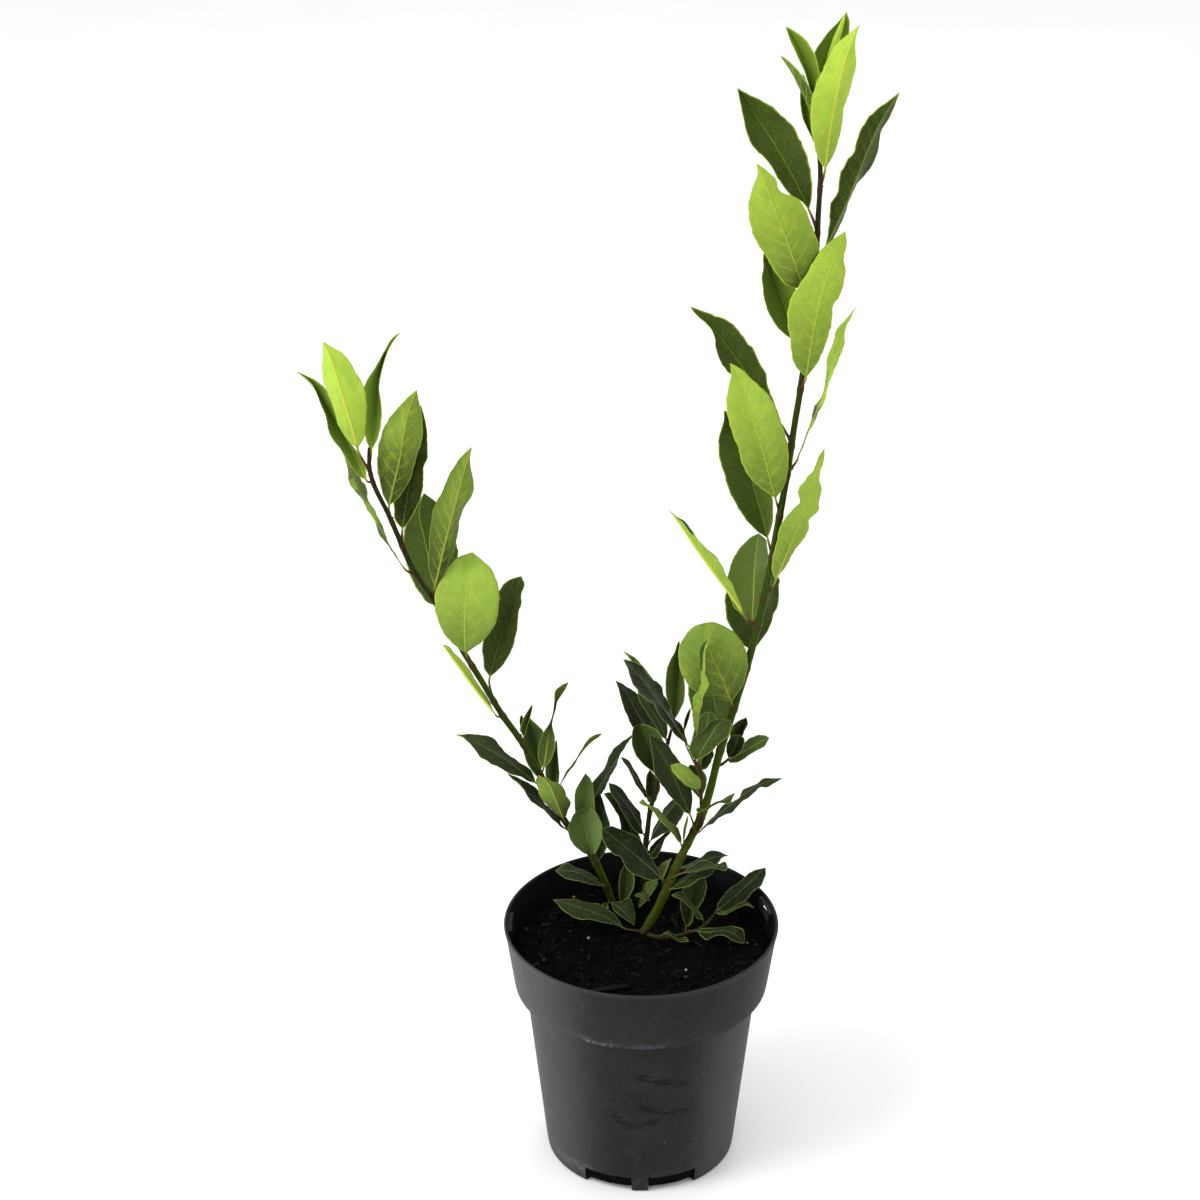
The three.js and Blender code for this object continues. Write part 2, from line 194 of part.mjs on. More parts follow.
   left:[[42.6,19.0,305.4],[42.6,19.1,307.2],[42.6,20.9,310.1],[43.1,23.5,312.5],[43.8,26.4,314.6],[45.4,29.5,316.3],[47.4,33.4,317.2],[48.5,36.1,317.3]],
   right:[[42.6,19.0,305.4],[44.6,18.6,305.9],[47.7,20.0,307.7],[50.0,22.9,309.8],[51.5,26.2,312.3],[51.4,29.4,315.0],[49.5,33.3,316.9],[48.5,36.1,317.3]]},
  {name:'leaf_r28',on:'right_stem',own:false,side:'A',tone:0.1,
   stalk:[46.2,22.7,274.1],
   mid:[[42.5,30.1,275.2],[42.0,35.3,274.6],[41.1,44.1,274.5],[40.1,50.6,275.7],[38.9,54.7,278.1],[37.5,56.5,281.9],[36.1,56.0,287.0],[35.4,54.9,290.0]],
   left:[[42.5,30.1,275.2],[40.9,31.9,276.1],[37.8,36.6,277.5],[35.8,41.4,279.5],[34.3,45.7,282.3],[33.5,49.3,285.6],[34.0,52.7,288.9],[35.4,54.9,290.0]],
   right:[[42.5,30.1,275.2],[43.8,32.2,276.7],[46.5,37.9,279.1],[47.4,44.2,281.9],[46.7,49.4,285.1],[43.3,52.3,288.5],[38.1,53.5,290.0],[35.4,54.9,290.0]]},
  {name:'leaf_f1',on:'right_stem',own:false,side:'A',tone:0.4,
   stalk:[42.7,22.4,263.3],
   mid:[[40.7,11.9,273.9],[42.9,9.7,276.8],[47.2,6.4,281.7],[51.7,4.7,285.4],[56.4,4.4,287.7],[61.2,5.9,289.0],[65.5,9.5,290.2],[67.4,12.1,290.8]],
   left:[[40.7,11.9,273.9],[39.1,10.9,277.4],[43.8,11.3,278.7],[49.2,10.7,281.0],[54.2,11.0,284.2],[59.5,11.6,286.8],[64.7,12.2,289.4],[67.4,12.1,290.8]],
   right:[[40.7,11.9,273.9],[43.2,7.1,277.9],[48.3,0.8,284.0],[52.7,-1.7,289.3],[58.1,-2.2,290.8],[63.6,-0.6,289.1],[65.8,6.8,291.0],[67.4,12.1,290.8]]},
  {name:'leaf_e1',on:'right_stem',own:true,side:'B',tone:0.45,
   stalk:[27.2,19.3,237.3],
   mid:[[28.8,18.7,244.0],[27.1,18.0,248.2],[23.0,17.5,255.7],[18.1,18.4,261.8],[13.2,20.7,266.8],[7.6,24.3,270.4],[1.3,28.7,271.7],[-2.2,31.1,271.0]],
   left:[[28.8,18.7,244.0],[26.1,14.6,249.2],[21.9,10.5,258.2],[16.4,9.7,264.6],[11.9,12.0,269.8],[7.1,17.3,272.9],[1.0,25.2,272.3],[-2.2,31.1,271.0]],
   right:[[28.8,18.7,244.0],[29.1,21.3,247.3],[26.2,25.0,254.1],[19.5,26.9,258.6],[14.4,29.5,264.1],[7.7,31.3,267.9],[0.9,32.8,273.2],[-2.2,31.1,271.0]]},
  {name:'leaf_e2',on:'right_stem',own:false,side:'B',tone:0.5,
   stalk:[33.7,21.9,242.2],
   mid:[[30.7,17.5,247.2],[30.9,17.3,249.2],[31.2,17.0,253.0],[31.6,17.1,256.6],[32.2,17.6,259.9],[32.9,18.5,263.0],[33.6,19.8,265.9],[33.9,20.5,267.2]],
   left:[[30.7,17.5,247.2],[30.5,19.4,248.0],[30.6,21.7,250.4],[30.8,22.9,253.4],[31.4,23.4,256.8],[32.3,23.2,260.5],[33.3,22.0,264.7],[33.9,20.5,267.2]],
   right:[[30.7,17.5,247.2],[31.2,15.1,250.4],[31.9,12.3,255.6],[32.4,11.4,259.8],[33.0,11.9,263.1],[33.6,13.8,265.6],[33.9,17.6,267.1],[33.9,20.5,267.2]]},
  {name:'leaf_c07',on:'right_stem',own:true,side:'A',tone:0.15,
   stalk:[35.9,19.0,257.9],
   mid:[[35.2,15.8,270.0],[33.0,17.8,274.5],[28.8,22.4,283.3],[24.5,27.9,291.6],[19.5,34.2,299.0],[14.1,41.3,305.8],[8.5,49.3,312.0],[5.8,53.7,315.0]],
   left:[[35.2,15.8,270.0],[30.1,11.3,276.2],[22.5,8.6,287.4],[15.8,10.8,296.1],[9.8,16.8,303.2],[8.3,27.5,309.9],[6.2,43.1,314.3],[5.8,53.7,315.0]],
   right:[[35.2,15.8,270.0],[36.5,24.0,272.3],[36.9,36.2,279.0],[34.2,45.0,287.0],[27.5,51.4,294.7],[21.2,56.0,303.4],[12.0,56.3,311.4],[5.8,53.7,315.0]]},
  {name:'leaf_k1',on:'right_stem',own:false,side:'A',tone:0.2,
   stalk:[25.0,21.3,220.7],
   mid:[[32.9,32.3,215.5],[35.5,34.8,215.3],[40.7,39.2,215.2],[46.0,42.5,215.5],[51.3,44.8,216.1],[56.7,45.9,217.0],[62.2,45.9,218.1],[64.9,45.5,218.8]],
   left:[[32.9,32.3,215.5],[29.5,35.7,213.7],[36.0,46.6,211.0],[42.5,52.4,211.5],[47.9,56.0,214.9],[54.9,55.5,216.8],[61.5,49.9,217.2],[64.9,45.5,218.8]],
   right:[[32.9,32.3,215.5],[35.6,30.4,215.2],[41.3,29.4,214.9],[47.1,30.7,215.6],[52.7,33.2,216.8],[57.6,36.9,218.4],[61.8,42.3,220.0],[64.9,45.5,218.8]]},
  {name:'leaf_k2',on:'right_stem',own:true,side:'A',tone:0.35,
   stalk:[22.9,16.0,214.1],
   mid:[[24.8,16.1,218.6],[27.8,15.7,220.3],[34.0,14.5,223.2],[40.4,13.9,225.5],[46.8,14.0,227.0],[53.2,14.7,227.7],[59.8,15.8,227.2],[63.1,16.7,226.8]],
   left:[[24.8,16.1,218.6],[27.9,17.5,220.0],[34.4,21.3,221.8],[40.5,23.1,226.0],[47.5,23.2,227.6],[54.3,21.0,225.1],[61.3,19.3,229.1],[63.1,16.7,226.8]],
   right:[[24.8,16.1,218.6],[27.9,13.0,222.0],[34.6,8.5,226.4],[41.4,6.5,229.0],[48.2,6.6,230.6],[55.0,8.3,229.8],[61.8,12.6,225.5],[63.1,16.7,226.8]]},
  {name:'leaf_k2b',on:'right_stem',own:false,side:'A',tone:0.3,
   stalk:[20.9,21.1,209.7],
   mid:[[21.1,14.6,207.8],[23.6,15.0,209.7],[28.9,16.0,213.2],[34.3,17.2,216.3],[39.8,18.8,219.1],[45.4,20.7,221.3],[51.4,22.4,222.3],[54.6,23.3,222.4]],
   left:[[21.1,14.6,207.8],[23.1,18.3,208.6],[27.8,23.1,211.0],[33.2,25.9,213.5],[39.0,27.4,216.1],[45.1,27.5,218.5],[51.4,25.6,221.0],[54.6,23.3,222.4]],
   right:[[21.1,14.6,207.8],[24.3,11.5,210.3],[30.8,8.0,213.7],[37.0,7.4,216.6],[41.9,9.5,220.4],[48.4,12.9,219.8],[53.1,19.0,221.4],[54.6,23.3,222.4]]},
  {name:'leaf_g2',on:'right_stem',own:true,side:'A',tone:0.15,
   stalk:[17.2,18.8,213.1],
   mid:[[14.8,17.2,215.6],[11.4,18.0,218.8],[4.2,20.3,224.8],[-2.9,23.2,230.3],[-10.4,26.9,235.0],[-17.8,31.3,239.3],[-25.2,36.4,243.1],[-29.3,39.0,244.3]],
   left:[[14.8,17.2,215.6],[8.6,11.2,217.8],[-1.3,5.9,224.0],[-9.6,5.6,230.6],[-15.0,10.0,238.1],[-23.5,17.0,240.4],[-28.6,29.8,242.7],[-29.3,39.0,244.3]],
   right:[[14.8,17.2,215.6],[13.4,24.2,217.3],[8.2,34.0,222.1],[2.6,40.7,228.5],[-4.1,44.8,235.7],[-13.3,46.0,239.4],[-23.7,43.6,244.3],[-29.3,39.0,244.3]]},
  {name:'leaf_k0',on:'right_stem',own:false,side:'B',tone:0.0,
   stalk:[16.6,20.8,198.7],
   mid:[[16.1,34.1,205.7],[16.5,35.6,206.3],[17.4,38.2,207.7],[18.4,40.3,209.3],[19.5,42.1,211.1],[20.6,43.5,213.1],[21.8,44.5,215.3],[22.4,44.9,216.4]],
   left:[[16.1,34.1,205.7],[14.5,37.6,204.6],[12.6,42.7,205.0],[12.2,46.2,207.1],[14.7,48.8,208.7],[17.6,49.2,211.0],[20.8,47.1,214.1],[22.4,44.9,216.4]],
   right:[[16.1,34.1,205.7],[17.2,37.8,204.4],[18.5,43.1,204.0],[19.7,46.5,204.9],[20.5,48.4,206.9],[20.8,48.7,209.8],[21.7,47.0,213.8],[22.4,44.9,216.4]]},
  {name:'leaf_l01',on:'left_stem',own:true,side:'B',tone:1.0,
   stalk:[-188.5,27.8,534.0],
   mid:[[-195.3,28.9,549.7],[-196.5,27.5,557.0],[-199.2,25.7,571.0],[-202.3,25.5,584.3],[-205.5,26.8,596.8],[-209.0,29.7,608.7],[-213.7,34.0,619.5],[-216.5,36.7,624.6]],
   left:[[-195.3,28.9,549.7],[-200.7,31.8,553.5],[-208.0,35.3,563.9],[-211.5,38.0,576.5],[-215.8,39.2,589.0],[-218.2,39.7,602.5],[-216.8,38.8,616.8],[-216.5,36.7,624.6]],
   right:[[-195.3,28.9,549.7],[-191.1,31.6,555.9],[-188.9,34.9,570.0],[-188.5,35.8,584.8],[-192.8,38.2,597.6],[-199.6,40.3,609.6],[-210.9,39.6,619.6],[-216.5,36.7,624.6]]},
  {name:'leaf_l02',on:'left_stem',own:true,side:'A',tone:0.45,
   stalk:[-187.5,29.7,539.9],
   mid:[[-186.4,34.2,546.1],[-186.3,38.3,552.1],[-185.6,45.8,564.4],[-183.8,52.4,577.1],[-181.1,58.0,589.9],[-177.4,62.5,602.9],[-170.8,65.5,615.1],[-166.3,66.4,620.7]],
   left:[[-186.4,34.2,546.1],[-189.5,33.8,553.2],[-191.5,36.7,568.2],[-191.4,42.0,582.4],[-187.3,47.0,595.3],[-179.3,53.3,607.1],[-172.1,61.5,617.6],[-166.3,66.4,620.7]],
   right:[[-186.4,34.2,546.1],[-182.4,33.9,553.4],[-178.9,36.3,567.5],[-179.3,40.6,580.7],[-179.9,46.3,594.1],[-176.4,52.8,606.1],[-170.7,61.2,616.8],[-166.3,66.4,620.7]]},
  {name:'leaf_l03',on:'left_stem',own:true,side:'A',tone:0.3,
   stalk:[-187.9,30.7,524.3],
   mid:[[-190.5,33.4,524.1],[-193.9,37.3,529.8],[-201.2,44.5,541.2],[-208.7,50.9,552.8],[-216.4,56.3,564.7],[-224.1,60.9,576.7],[-233.7,63.8,587.6],[-239.4,64.6,592.4]],
   left:[[-190.5,33.4,524.1],[-197.1,33.3,528.6],[-205.2,35.3,541.7],[-214.0,39.4,553.0],[-218.0,45.5,566.8],[-223.8,52.3,579.1],[-232.6,60.3,589.5],[-239.4,64.6,592.4]],
   right:[[-190.5,33.4,524.1],[-190.6,34.2,532.3],[-197.6,37.1,545.9],[-206.4,41.5,558.0],[-211.9,47.5,570.9],[-218.3,54.8,583.4],[-231.7,60.9,590.6],[-239.4,64.6,592.4]]},
  {name:'leaf_l04',on:'left_stem',own:true,side:'B',tone:0.45,
   stalk:[-174.1,30.0,504.4],
   mid:[[-175.3,30.0,506.3],[-173.2,29.2,515.8],[-168.4,29.2,534.5],[-165.2,28.8,548.6],[-164.6,25.9,553.2],[-162.0,28.9,566.1],[-157.4,35.2,581.7],[-154.3,38.9,589.0]],
   left:[[-175.3,30.0,506.3],[-179.4,31.9,514.5],[-182.7,33.0,532.0],[-181.9,35.1,545.8],[-179.9,35.5,555.3],[-173.3,38.5,568.8],[-161.2,41.0,582.0],[-154.3,38.9,589.0]],
   right:[[-175.3,30.0,506.3],[-169.2,32.3,511.5],[-160.1,35.8,525.5],[-156.2,39.0,539.0],[-152.8,37.3,549.0],[-150.8,37.2,563.7],[-152.8,39.3,579.7],[-154.3,38.9,589.0]]},
  {name:'leaf_l05',on:'left_stem',own:true,side:'A',tone:0.05,
   stalk:[-167.5,35.9,477.7],
   mid:[[-167.7,41.9,483.4],[-166.8,45.6,489.7],[-164.7,52.4,502.5],[-162.1,58.4,515.6],[-159.4,63.6,529.1],[-156.9,68.0,542.9],[-155.3,71.5,557.2],[-154.6,73.0,564.4]],
   left:[[-167.7,41.9,483.4],[-172.9,42.9,490.2],[-174.0,45.2,506.1],[-173.1,49.5,520.6],[-170.0,54.5,534.6],[-165.3,60.4,547.7],[-158.6,67.7,559.5],[-154.6,73.0,564.4]],
   right:[[-167.7,41.9,483.4],[-162.2,41.3,490.7],[-155.0,43.4,504.8],[-152.4,46.5,519.7],[-149.5,51.6,533.7],[-149.6,57.5,545.8],[-152.1,66.8,558.7],[-154.6,73.0,564.4]]},
  {name:'leaf_l06',on:'left_stem',own:true,side:'B',tone:0.35,
   stalk:[-146.1,36.2,436.9],
   mid:[[-145.9,35.2,442.2],[-143.5,34.0,451.9],[-139.1,32.8,470.6],[-134.5,33.0,488.5],[-129.9,34.9,505.4],[-125.5,38.3,521.6],[-120.6,43.3,536.9],[-117.9,46.3,544.2]],
   left:[[-145.9,35.2,442.2],[-149.0,37.8,450.8],[-149.5,41.4,468.7],[-147.7,43.4,486.9],[-142.7,46.0,504.3],[-135.3,48.5,520.5],[-125.1,48.3,536.7],[-117.9,46.3,544.2]],
   right:[[-145.9,35.2,442.2],[-141.4,38.5,449.0],[-133.0,42.5,464.2],[-128.8,45.4,481.6],[-124.2,46.9,498.7],[-117.3,47.2,515.7],[-119.7,47.9,534.3],[-117.9,46.3,544.2]]},
  {name:'leaf_l07',on:'left_stem',own:true,side:'A',tone:0.2,
   stalk:[-142.8,42.7,420.9],
   mid:[[-143.5,45.9,421.4],[-145.4,50.2,426.9],[-148.6,57.6,438.5],[-151.8,63.7,450.7],[-154.8,68.3,463.6],[-157.9,71.5,477.0],[-157.1,73.1,490.6],[-154.6,73.4,497.6]],
   left:[[-143.5,45.9,421.4],[-152.6,48.5,423.6],[-162.1,55.3,434.1],[-167.6,61.5,446.8],[-170.2,66.7,460.8],[-167.1,70.9,476.1],[-158.7,73.1,490.7],[-154.6,73.4,497.6]],
   right:[[-143.5,45.9,421.4],[-138.9,46.4,429.2],[-133.4,54.4,442.1],[-131.0,65.4,453.5],[-133.9,70.3,467.0],[-138.7,73.3,480.1],[-145.3,73.1,490.2],[-154.6,73.4,497.6]]},
  {name:'leaf_l09',on:'left_stem',own:true,side:'A',tone:0.35,
   stalk:[-164.5,34.0,455.6],
   mid:[[-166.9,33.7,457.5],[-171.6,35.6,464.8],[-180.6,40.3,479.3],[-189.5,46.0,493.5],[-198.1,52.9,507.4],[-205.3,61.1,521.5],[-212.5,70.4,535.1],[-216.8,75.3,541.5]],
   left:[[-166.9,33.7,457.5],[-171.7,31.8,466.3],[-181.8,31.8,482.0],[-188.6,36.3,497.9],[-198.6,42.9,511.2],[-205.0,52.8,524.2],[-211.9,66.6,536.6],[-216.8,75.3,541.5]],
   right:[[-166.9,33.7,457.5],[-171.8,39.3,463.2],[-180.3,48.6,476.3],[-187.8,56.5,490.4],[-194.4,63.8,505.2],[-202.5,70.1,519.7],[-211.6,74.5,534.3],[-216.8,75.3,541.5]]},
  {name:'leaf_l10',on:'left_stem',own:true,side:'B',tone:0.7,
   stalk:[-124.1,39.6,385.3],
   mid:[[-125.5,39.7,388.1],[-125.8,36.6,396.4],[-125.6,32.6,411.7],[-124.6,31.4,425.6],[-123.5,33.0,438.1],[-122.5,37.5,449.1],[-121.2,44.7,458.7],[-119.8,49.4,462.8]],
   left:[[-125.5,39.7,388.1],[-132.1,35.5,395.5],[-141.6,31.0,411.0],[-145.8,30.7,426.5],[-145.1,33.3,440.9],[-138.9,38.0,452.6],[-128.2,45.4,461.3],[-119.8,49.4,462.8]],
   right:[[-125.5,39.7,388.1],[-117.3,37.1,395.6],[-106.8,32.0,409.6],[-101.6,30.8,423.6],[-100.4,33.1,437.5],[-103.4,37.8,449.3],[-114.1,46.0,459.3],[-119.8,49.4,462.8]]},
  {name:'leaf_l11',on:'left_stem',own:true,side:'A',tone:0.1,
   stalk:[-107.3,52.2,347.3],
   mid:[[-110.2,59.8,358.7],[-108.6,63.3,363.9],[-105.3,69.6,374.5],[-101.6,75.0,385.4],[-97.7,79.7,396.8],[-94.0,83.6,408.5],[-89.7,86.5,420.4],[-87.3,87.7,426.4]],
   left:[[-110.2,59.8,358.7],[-114.2,60.0,365.9],[-115.6,63.0,380.4],[-112.6,66.6,393.5],[-109.5,72.6,405.3],[-104.9,80.4,415.7],[-95.5,86.6,424.3],[-87.3,87.7,426.4]],
   right:[[-110.2,59.8,358.7],[-104.4,58.4,364.4],[-96.2,59.4,376.0],[-91.5,62.1,388.4],[-89.3,66.4,401.0],[-87.0,72.8,412.2],[-84.9,81.9,421.8],[-87.3,87.7,426.4]]},
  {name:'leaf_l12',on:'left_stem',own:true,side:'B',tone:0.9,
   stalk:[-103.6,46.2,332.7],
   mid:[[-105.4,45.1,335.0],[-108.4,45.2,339.8],[-115.0,46.1,348.8],[-121.5,48.2,357.2],[-127.9,51.5,365.3],[-134.4,56.0,372.7],[-141.1,61.7,379.4],[-144.6,64.9,382.5]],
   left:[[-105.4,45.1,335.0],[-109.3,48.0,337.7],[-116.4,52.3,344.8],[-123.0,55.9,352.5],[-129.4,59.3,360.6],[-135.7,62.4,368.8],[-141.6,64.7,377.7],[-144.6,64.9,382.5]],
   right:[[-105.4,45.1,335.0],[-107.9,48.4,338.7],[-112.8,53.6,347.3],[-119.2,57.4,355.5],[-124.7,61.0,364.0],[-131.9,64.0,372.0],[-139.2,65.5,380.2],[-144.6,64.9,382.5]]},
  {name:'leaf_m01',on:'left_stem',own:true,side:'A',tone:0.3,
   stalk:[-75.0,53.2,273.6],
   mid:[[-77.5,51.1,275.9],[-81.9,51.2,280.0],[-90.9,51.9,287.8],[-100.2,53.2,294.8],[-110.1,54.9,300.6],[-120.3,57.1,305.5],[-130.9,59.7,309.2],[-136.5,61.2,310.6]],
   left:[[-77.5,51.1,275.9],[-83.1,45.6,280.6],[-93.3,39.8,289.1],[-103.0,38.4,296.4],[-113.4,39.6,301.2],[-122.0,45.3,307.4],[-130.3,55.2,312.0],[-136.5,61.2,310.6]],
   right:[[-77.5,51.1,275.9],[-79.7,56.9,279.5],[-88.4,63.5,285.5],[-98.6,67.1,291.4],[-107.1,70.3,300.7],[-117.9,69.9,306.1],[-130.5,65.3,308.6],[-136.5,61.2,310.6]]},
  {name:'leaf_m02',on:'left_stem',own:false,side:'A',tone:0.1,
   stalk:[-52.9,59.3,232.9],
   mid:[[-54.8,54.4,234.3],[-58.6,55.4,237.7],[-66.1,57.7,244.4],[-73.4,60.4,251.1],[-80.9,63.5,257.4],[-88.4,66.9,263.4],[-96.0,70.8,269.2],[-99.8,72.8,272.1]],
   left:[[-54.8,54.4,234.3],[-59.5,51.6,238.4],[-66.6,50.3,247.7],[-74.2,51.4,255.1],[-82.5,54.1,260.6],[-87.8,60.0,267.6],[-96.2,67.3,270.6],[-99.8,72.8,272.1]],
   right:[[-54.8,54.4,234.3],[-56.8,59.3,237.2],[-64.2,65.7,242.4],[-71.8,70.2,248.5],[-77.1,74.1,256.9],[-85.5,75.6,263.2],[-95.1,74.7,268.7],[-99.8,72.8,272.1]]},
  {name:'leaf_m03',on:'left_stem',own:true,side:'B',tone:0.4,
   stalk:[-55.0,54.6,239.3],
   mid:[[-57.5,49.8,246.4],[-58.6,47.8,251.0],[-60.8,44.8,259.5],[-63.0,43.4,267.1],[-65.4,43.4,273.8],[-68.3,44.7,279.3],[-72.9,47.0,282.7],[-75.6,48.5,283.8]],
   left:[[-57.5,49.8,246.4],[-60.4,51.6,247.3],[-65.4,53.0,251.7],[-70.2,53.0,257.2],[-74.4,52.0,263.7],[-76.2,51.4,271.3],[-77.3,50.1,279.5],[-75.6,48.5,283.8]],
   right:[[-57.5,49.8,246.4],[-55.3,52.2,248.7],[-52.2,54.2,256.9],[-55.7,55.7,263.1],[-58.5,56.4,270.5],[-65.6,54.8,275.3],[-72.3,51.5,280.6],[-75.6,48.5,283.8]]},
  {name:'leaf_m05',on:'left_stem',own:true,side:'A',tone:0.3,
   stalk:[-71.7,56.3,283.7],
   mid:[[-72.0,56.1,285.4],[-71.1,58.3,290.5],[-69.5,62.6,300.7],[-67.8,67.0,311.0],[-65.3,71.3,321.1],[-62.4,75.6,331.0],[-57.2,79.4,340.0],[-53.7,81.1,344.0]],
   left:[[-72.0,56.1,285.4],[-75.5,57.6,290.8],[-75.6,60.1,302.8],[-70.9,63.1,313.5],[-65.5,67.4,323.3],[-64.1,72.8,333.7],[-59.1,78.7,342.4],[-53.7,81.1,344.0]],
   right:[[-72.0,56.1,285.4],[-67.7,56.6,289.9],[-63.4,59.3,300.9],[-64.4,62.6,312.1],[-64.6,67.0,322.5],[-62.0,72.0,332.2],[-55.9,77.5,339.9],[-53.7,81.1,344.0]]},
  {name:'leaf_m06',on:'left_stem',own:false,side:'A',tone:0.05,
   stalk:[-66.2,58.3,258.4],
   mid:[[-66.3,65.1,258.8],[-66.4,67.4,261.4],[-66.4,71.6,266.7],[-66.0,75.5,272.1],[-65.4,79.0,277.9],[-64.5,82.1,283.8],[-63.5,84.7,289.8],[-62.9,85.9,293.0]],
   left:[[-66.3,65.1,258.8],[-68.0,63.7,263.2],[-70.3,63.8,270.8],[-71.2,66.2,277.7],[-70.3,69.9,283.8],[-69.1,74.8,289.1],[-65.0,81.3,292.2],[-62.9,85.9,293.0]],
   right:[[-66.3,65.1,258.8],[-63.8,63.5,262.5],[-61.2,63.6,269.9],[-60.7,65.8,276.5],[-61.4,69.4,282.4],[-62.0,74.2,287.6],[-62.6,81.1,291.6],[-62.9,85.9,293.0]]},
  {name:'leaf_m07',on:'left_stem',own:true,side:'A',tone:0.15,
   stalk:[-74.5,60.9,278.6],
   mid:[[-74.6,63.7,278.2],[-75.2,66.6,280.5],[-76.5,71.9,285.5],[-78.0,76.4,291.0],[-80.1,80.0,296.6],[-82.7,82.7,302.6],[-83.9,84.8,309.2],[-84.2,85.6,312.8]],
   left:[[-74.6,63.7,278.2],[-77.8,62.4,275.7],[-84.1,62.0,286.0],[-86.6,64.0,293.1],[-87.5,67.0,299.5],[-86.7,72.3,306.0],[-85.0,80.2,311.2],[-84.2,85.6,312.8]],
   right:[[-74.6,63.7,278.2],[-73.4,62.4,283.1],[-72.9,62.9,291.5],[-72.3,65.6,298.7],[-72.3,69.8,305.1],[-75.3,74.9,309.8],[-81.0,80.9,312.5],[-84.2,85.6,312.8]]},
  {name:'leaf_m08',on:'left_stem',own:false,side:'A',tone:0.3,
   stalk:[-85.9,53.2,306.3],
   mid:[[-86.4,54.3,311.2],[-85.8,54.9,313.2],[-84.6,56.1,317.3],[-83.6,57.4,321.3],[-82.5,58.7,325.2],[-81.5,60.1,329.2],[-80.5,61.6,333.1],[-80.0,62.4,335.0]],
   left:[[-86.4,54.3,311.2],[-88.3,53.0,313.3],[-88.8,51.8,319.1],[-87.8,51.7,324.4],[-86.1,53.0,328.7],[-83.7,55.5,332.0],[-81.3,59.5,334.3],[-80.0,62.4,335.0]],
   right:[[-86.4,54.3,311.2],[-85.7,52.7,314.5],[-84.3,51.4,319.9],[-82.8,51.5,324.4],[-81.3,52.9,328.2],[-80.3,55.4,331.6],[-79.5,59.4,334.2],[-80.0,62.4,335.0]]},
  {name:'leaf_m08b',on:'left_stem',own:false,side:'A',tone:0.3,
   stalk:[-89.3,52.4,312.7],
   mid:[[-86.7,58.0,314.6],[-86.8,58.7,315.4],[-87.1,60.1,317.1],[-87.4,61.4,318.8],[-87.7,62.6,320.5],[-87.8,63.7,322.3],[-88.0,64.7,324.2],[-88.1,65.2,325.2]],
   left:[[-86.7,58.0,314.6],[-87.4,57.0,316.1],[-88.3,56.4,318.7],[-88.8,57.0,320.9],[-89.1,58.2,322.8],[-89.0,60.2,324.3],[-88.5,63.1,325.2],[-88.1,65.2,325.2]],
   right:[[-86.7,58.0,314.6],[-86.1,57.1,316.3],[-85.6,56.6,319.0],[-85.6,57.2,321.2],[-85.8,58.4,323.0],[-86.4,60.3,324.5],[-87.3,63.2,325.2],[-88.1,65.2,325.2]]},
  {name:'leaf_m09',on:'left_stem',own:false,side:'B',tone:0.1,
   stalk:[-63.2,58.5,251.8],
   mid:[[-62.8,70.0,259.5],[-60.7,72.9,262.5],[-56.1,78.3,268.6],[-50.9,83.0,274.6],[-45.7,87.1,281.0],[-40.3,90.5,287.6],[-33.3,92.5,292.8],[-29.2,93.0,294.9]],
   left:[[-62.8,70.0,259.5],[-60.6,71.1,263.6],[-56.6,74.4,271.4],[-51.1,78.2,277.9],[-46.2,82.3,284.4],[-41.3,87.0,291.2],[-33.8,91.2,295.1],[-29.2,93.0,294.9]],
   right:[[-62.8,70.0,259.5],[-60.4,74.7,261.2],[-55.8,82.3,265.9],[-50.3,87.7,271.0],[-45.9,92.0,278.1],[-39.8,94.3,284.6],[-32.6,94.0,290.8],[-29.2,93.0,294.9]]},
  {name:'leaf_g01',on:'left_stem',own:true,side:'A',tone:0.55,
   stalk:[-36.6,56.3,211.6],
   mid:[[-37.4,55.1,214.3],[-38.3,55.3,217.8],[-39.9,56.0,224.6],[-41.3,57.3,231.1],[-43.0,59.1,237.2],[-44.1,61.0,242.6],[-40.7,63.1,246.6],[-38.2,64.2,248.4]],
   left:[[-37.4,55.1,214.3],[-41.2,49.7,216.5],[-49.6,46.7,225.3],[-53.3,46.4,233.3],[-53.9,47.4,241.4],[-50.0,51.6,249.4],[-42.3,59.0,250.5],[-38.2,64.2,248.4]],
   right:[[-37.4,55.1,214.3],[-34.4,50.1,216.6],[-30.9,46.3,226.1],[-28.9,46.9,233.6],[-28.8,50.9,239.4],[-31.2,56.2,244.0],[-35.2,60.2,248.4],[-38.2,64.2,248.4]]},
  {name:'leaf_d04',on:'left_stem',own:true,side:'A',tone:0.6,
   stalk:[-43.4,62.8,224.2],
   mid:[[-43.5,62.9,224.3],[-43.3,64.1,228.1],[-42.8,66.9,235.4],[-42.5,70.3,242.4],[-42.3,74.2,249.1],[-42.1,78.7,255.5],[-42.0,83.8,261.6],[-42.0,86.6,264.5]],
   left:[[-43.5,62.9,224.3],[-45.9,60.4,229.6],[-48.5,59.4,239.6],[-49.3,61.1,247.7],[-49.8,65.6,254.6],[-48.4,71.7,260.1],[-44.1,80.4,263.9],[-42.0,86.6,264.5]],
   right:[[-43.5,62.9,224.3],[-40.8,60.5,229.6],[-36.6,59.4,238.8],[-34.6,61.4,246.9],[-35.0,65.3,254.4],[-36.0,71.6,260.0],[-38.6,80.9,263.9],[-42.0,86.6,264.5]]},
  {name:'leaf_d02',on:'left_stem',own:true,side:'A',tone:0.05,
   stalk:[-46.8,63.7,228.1],
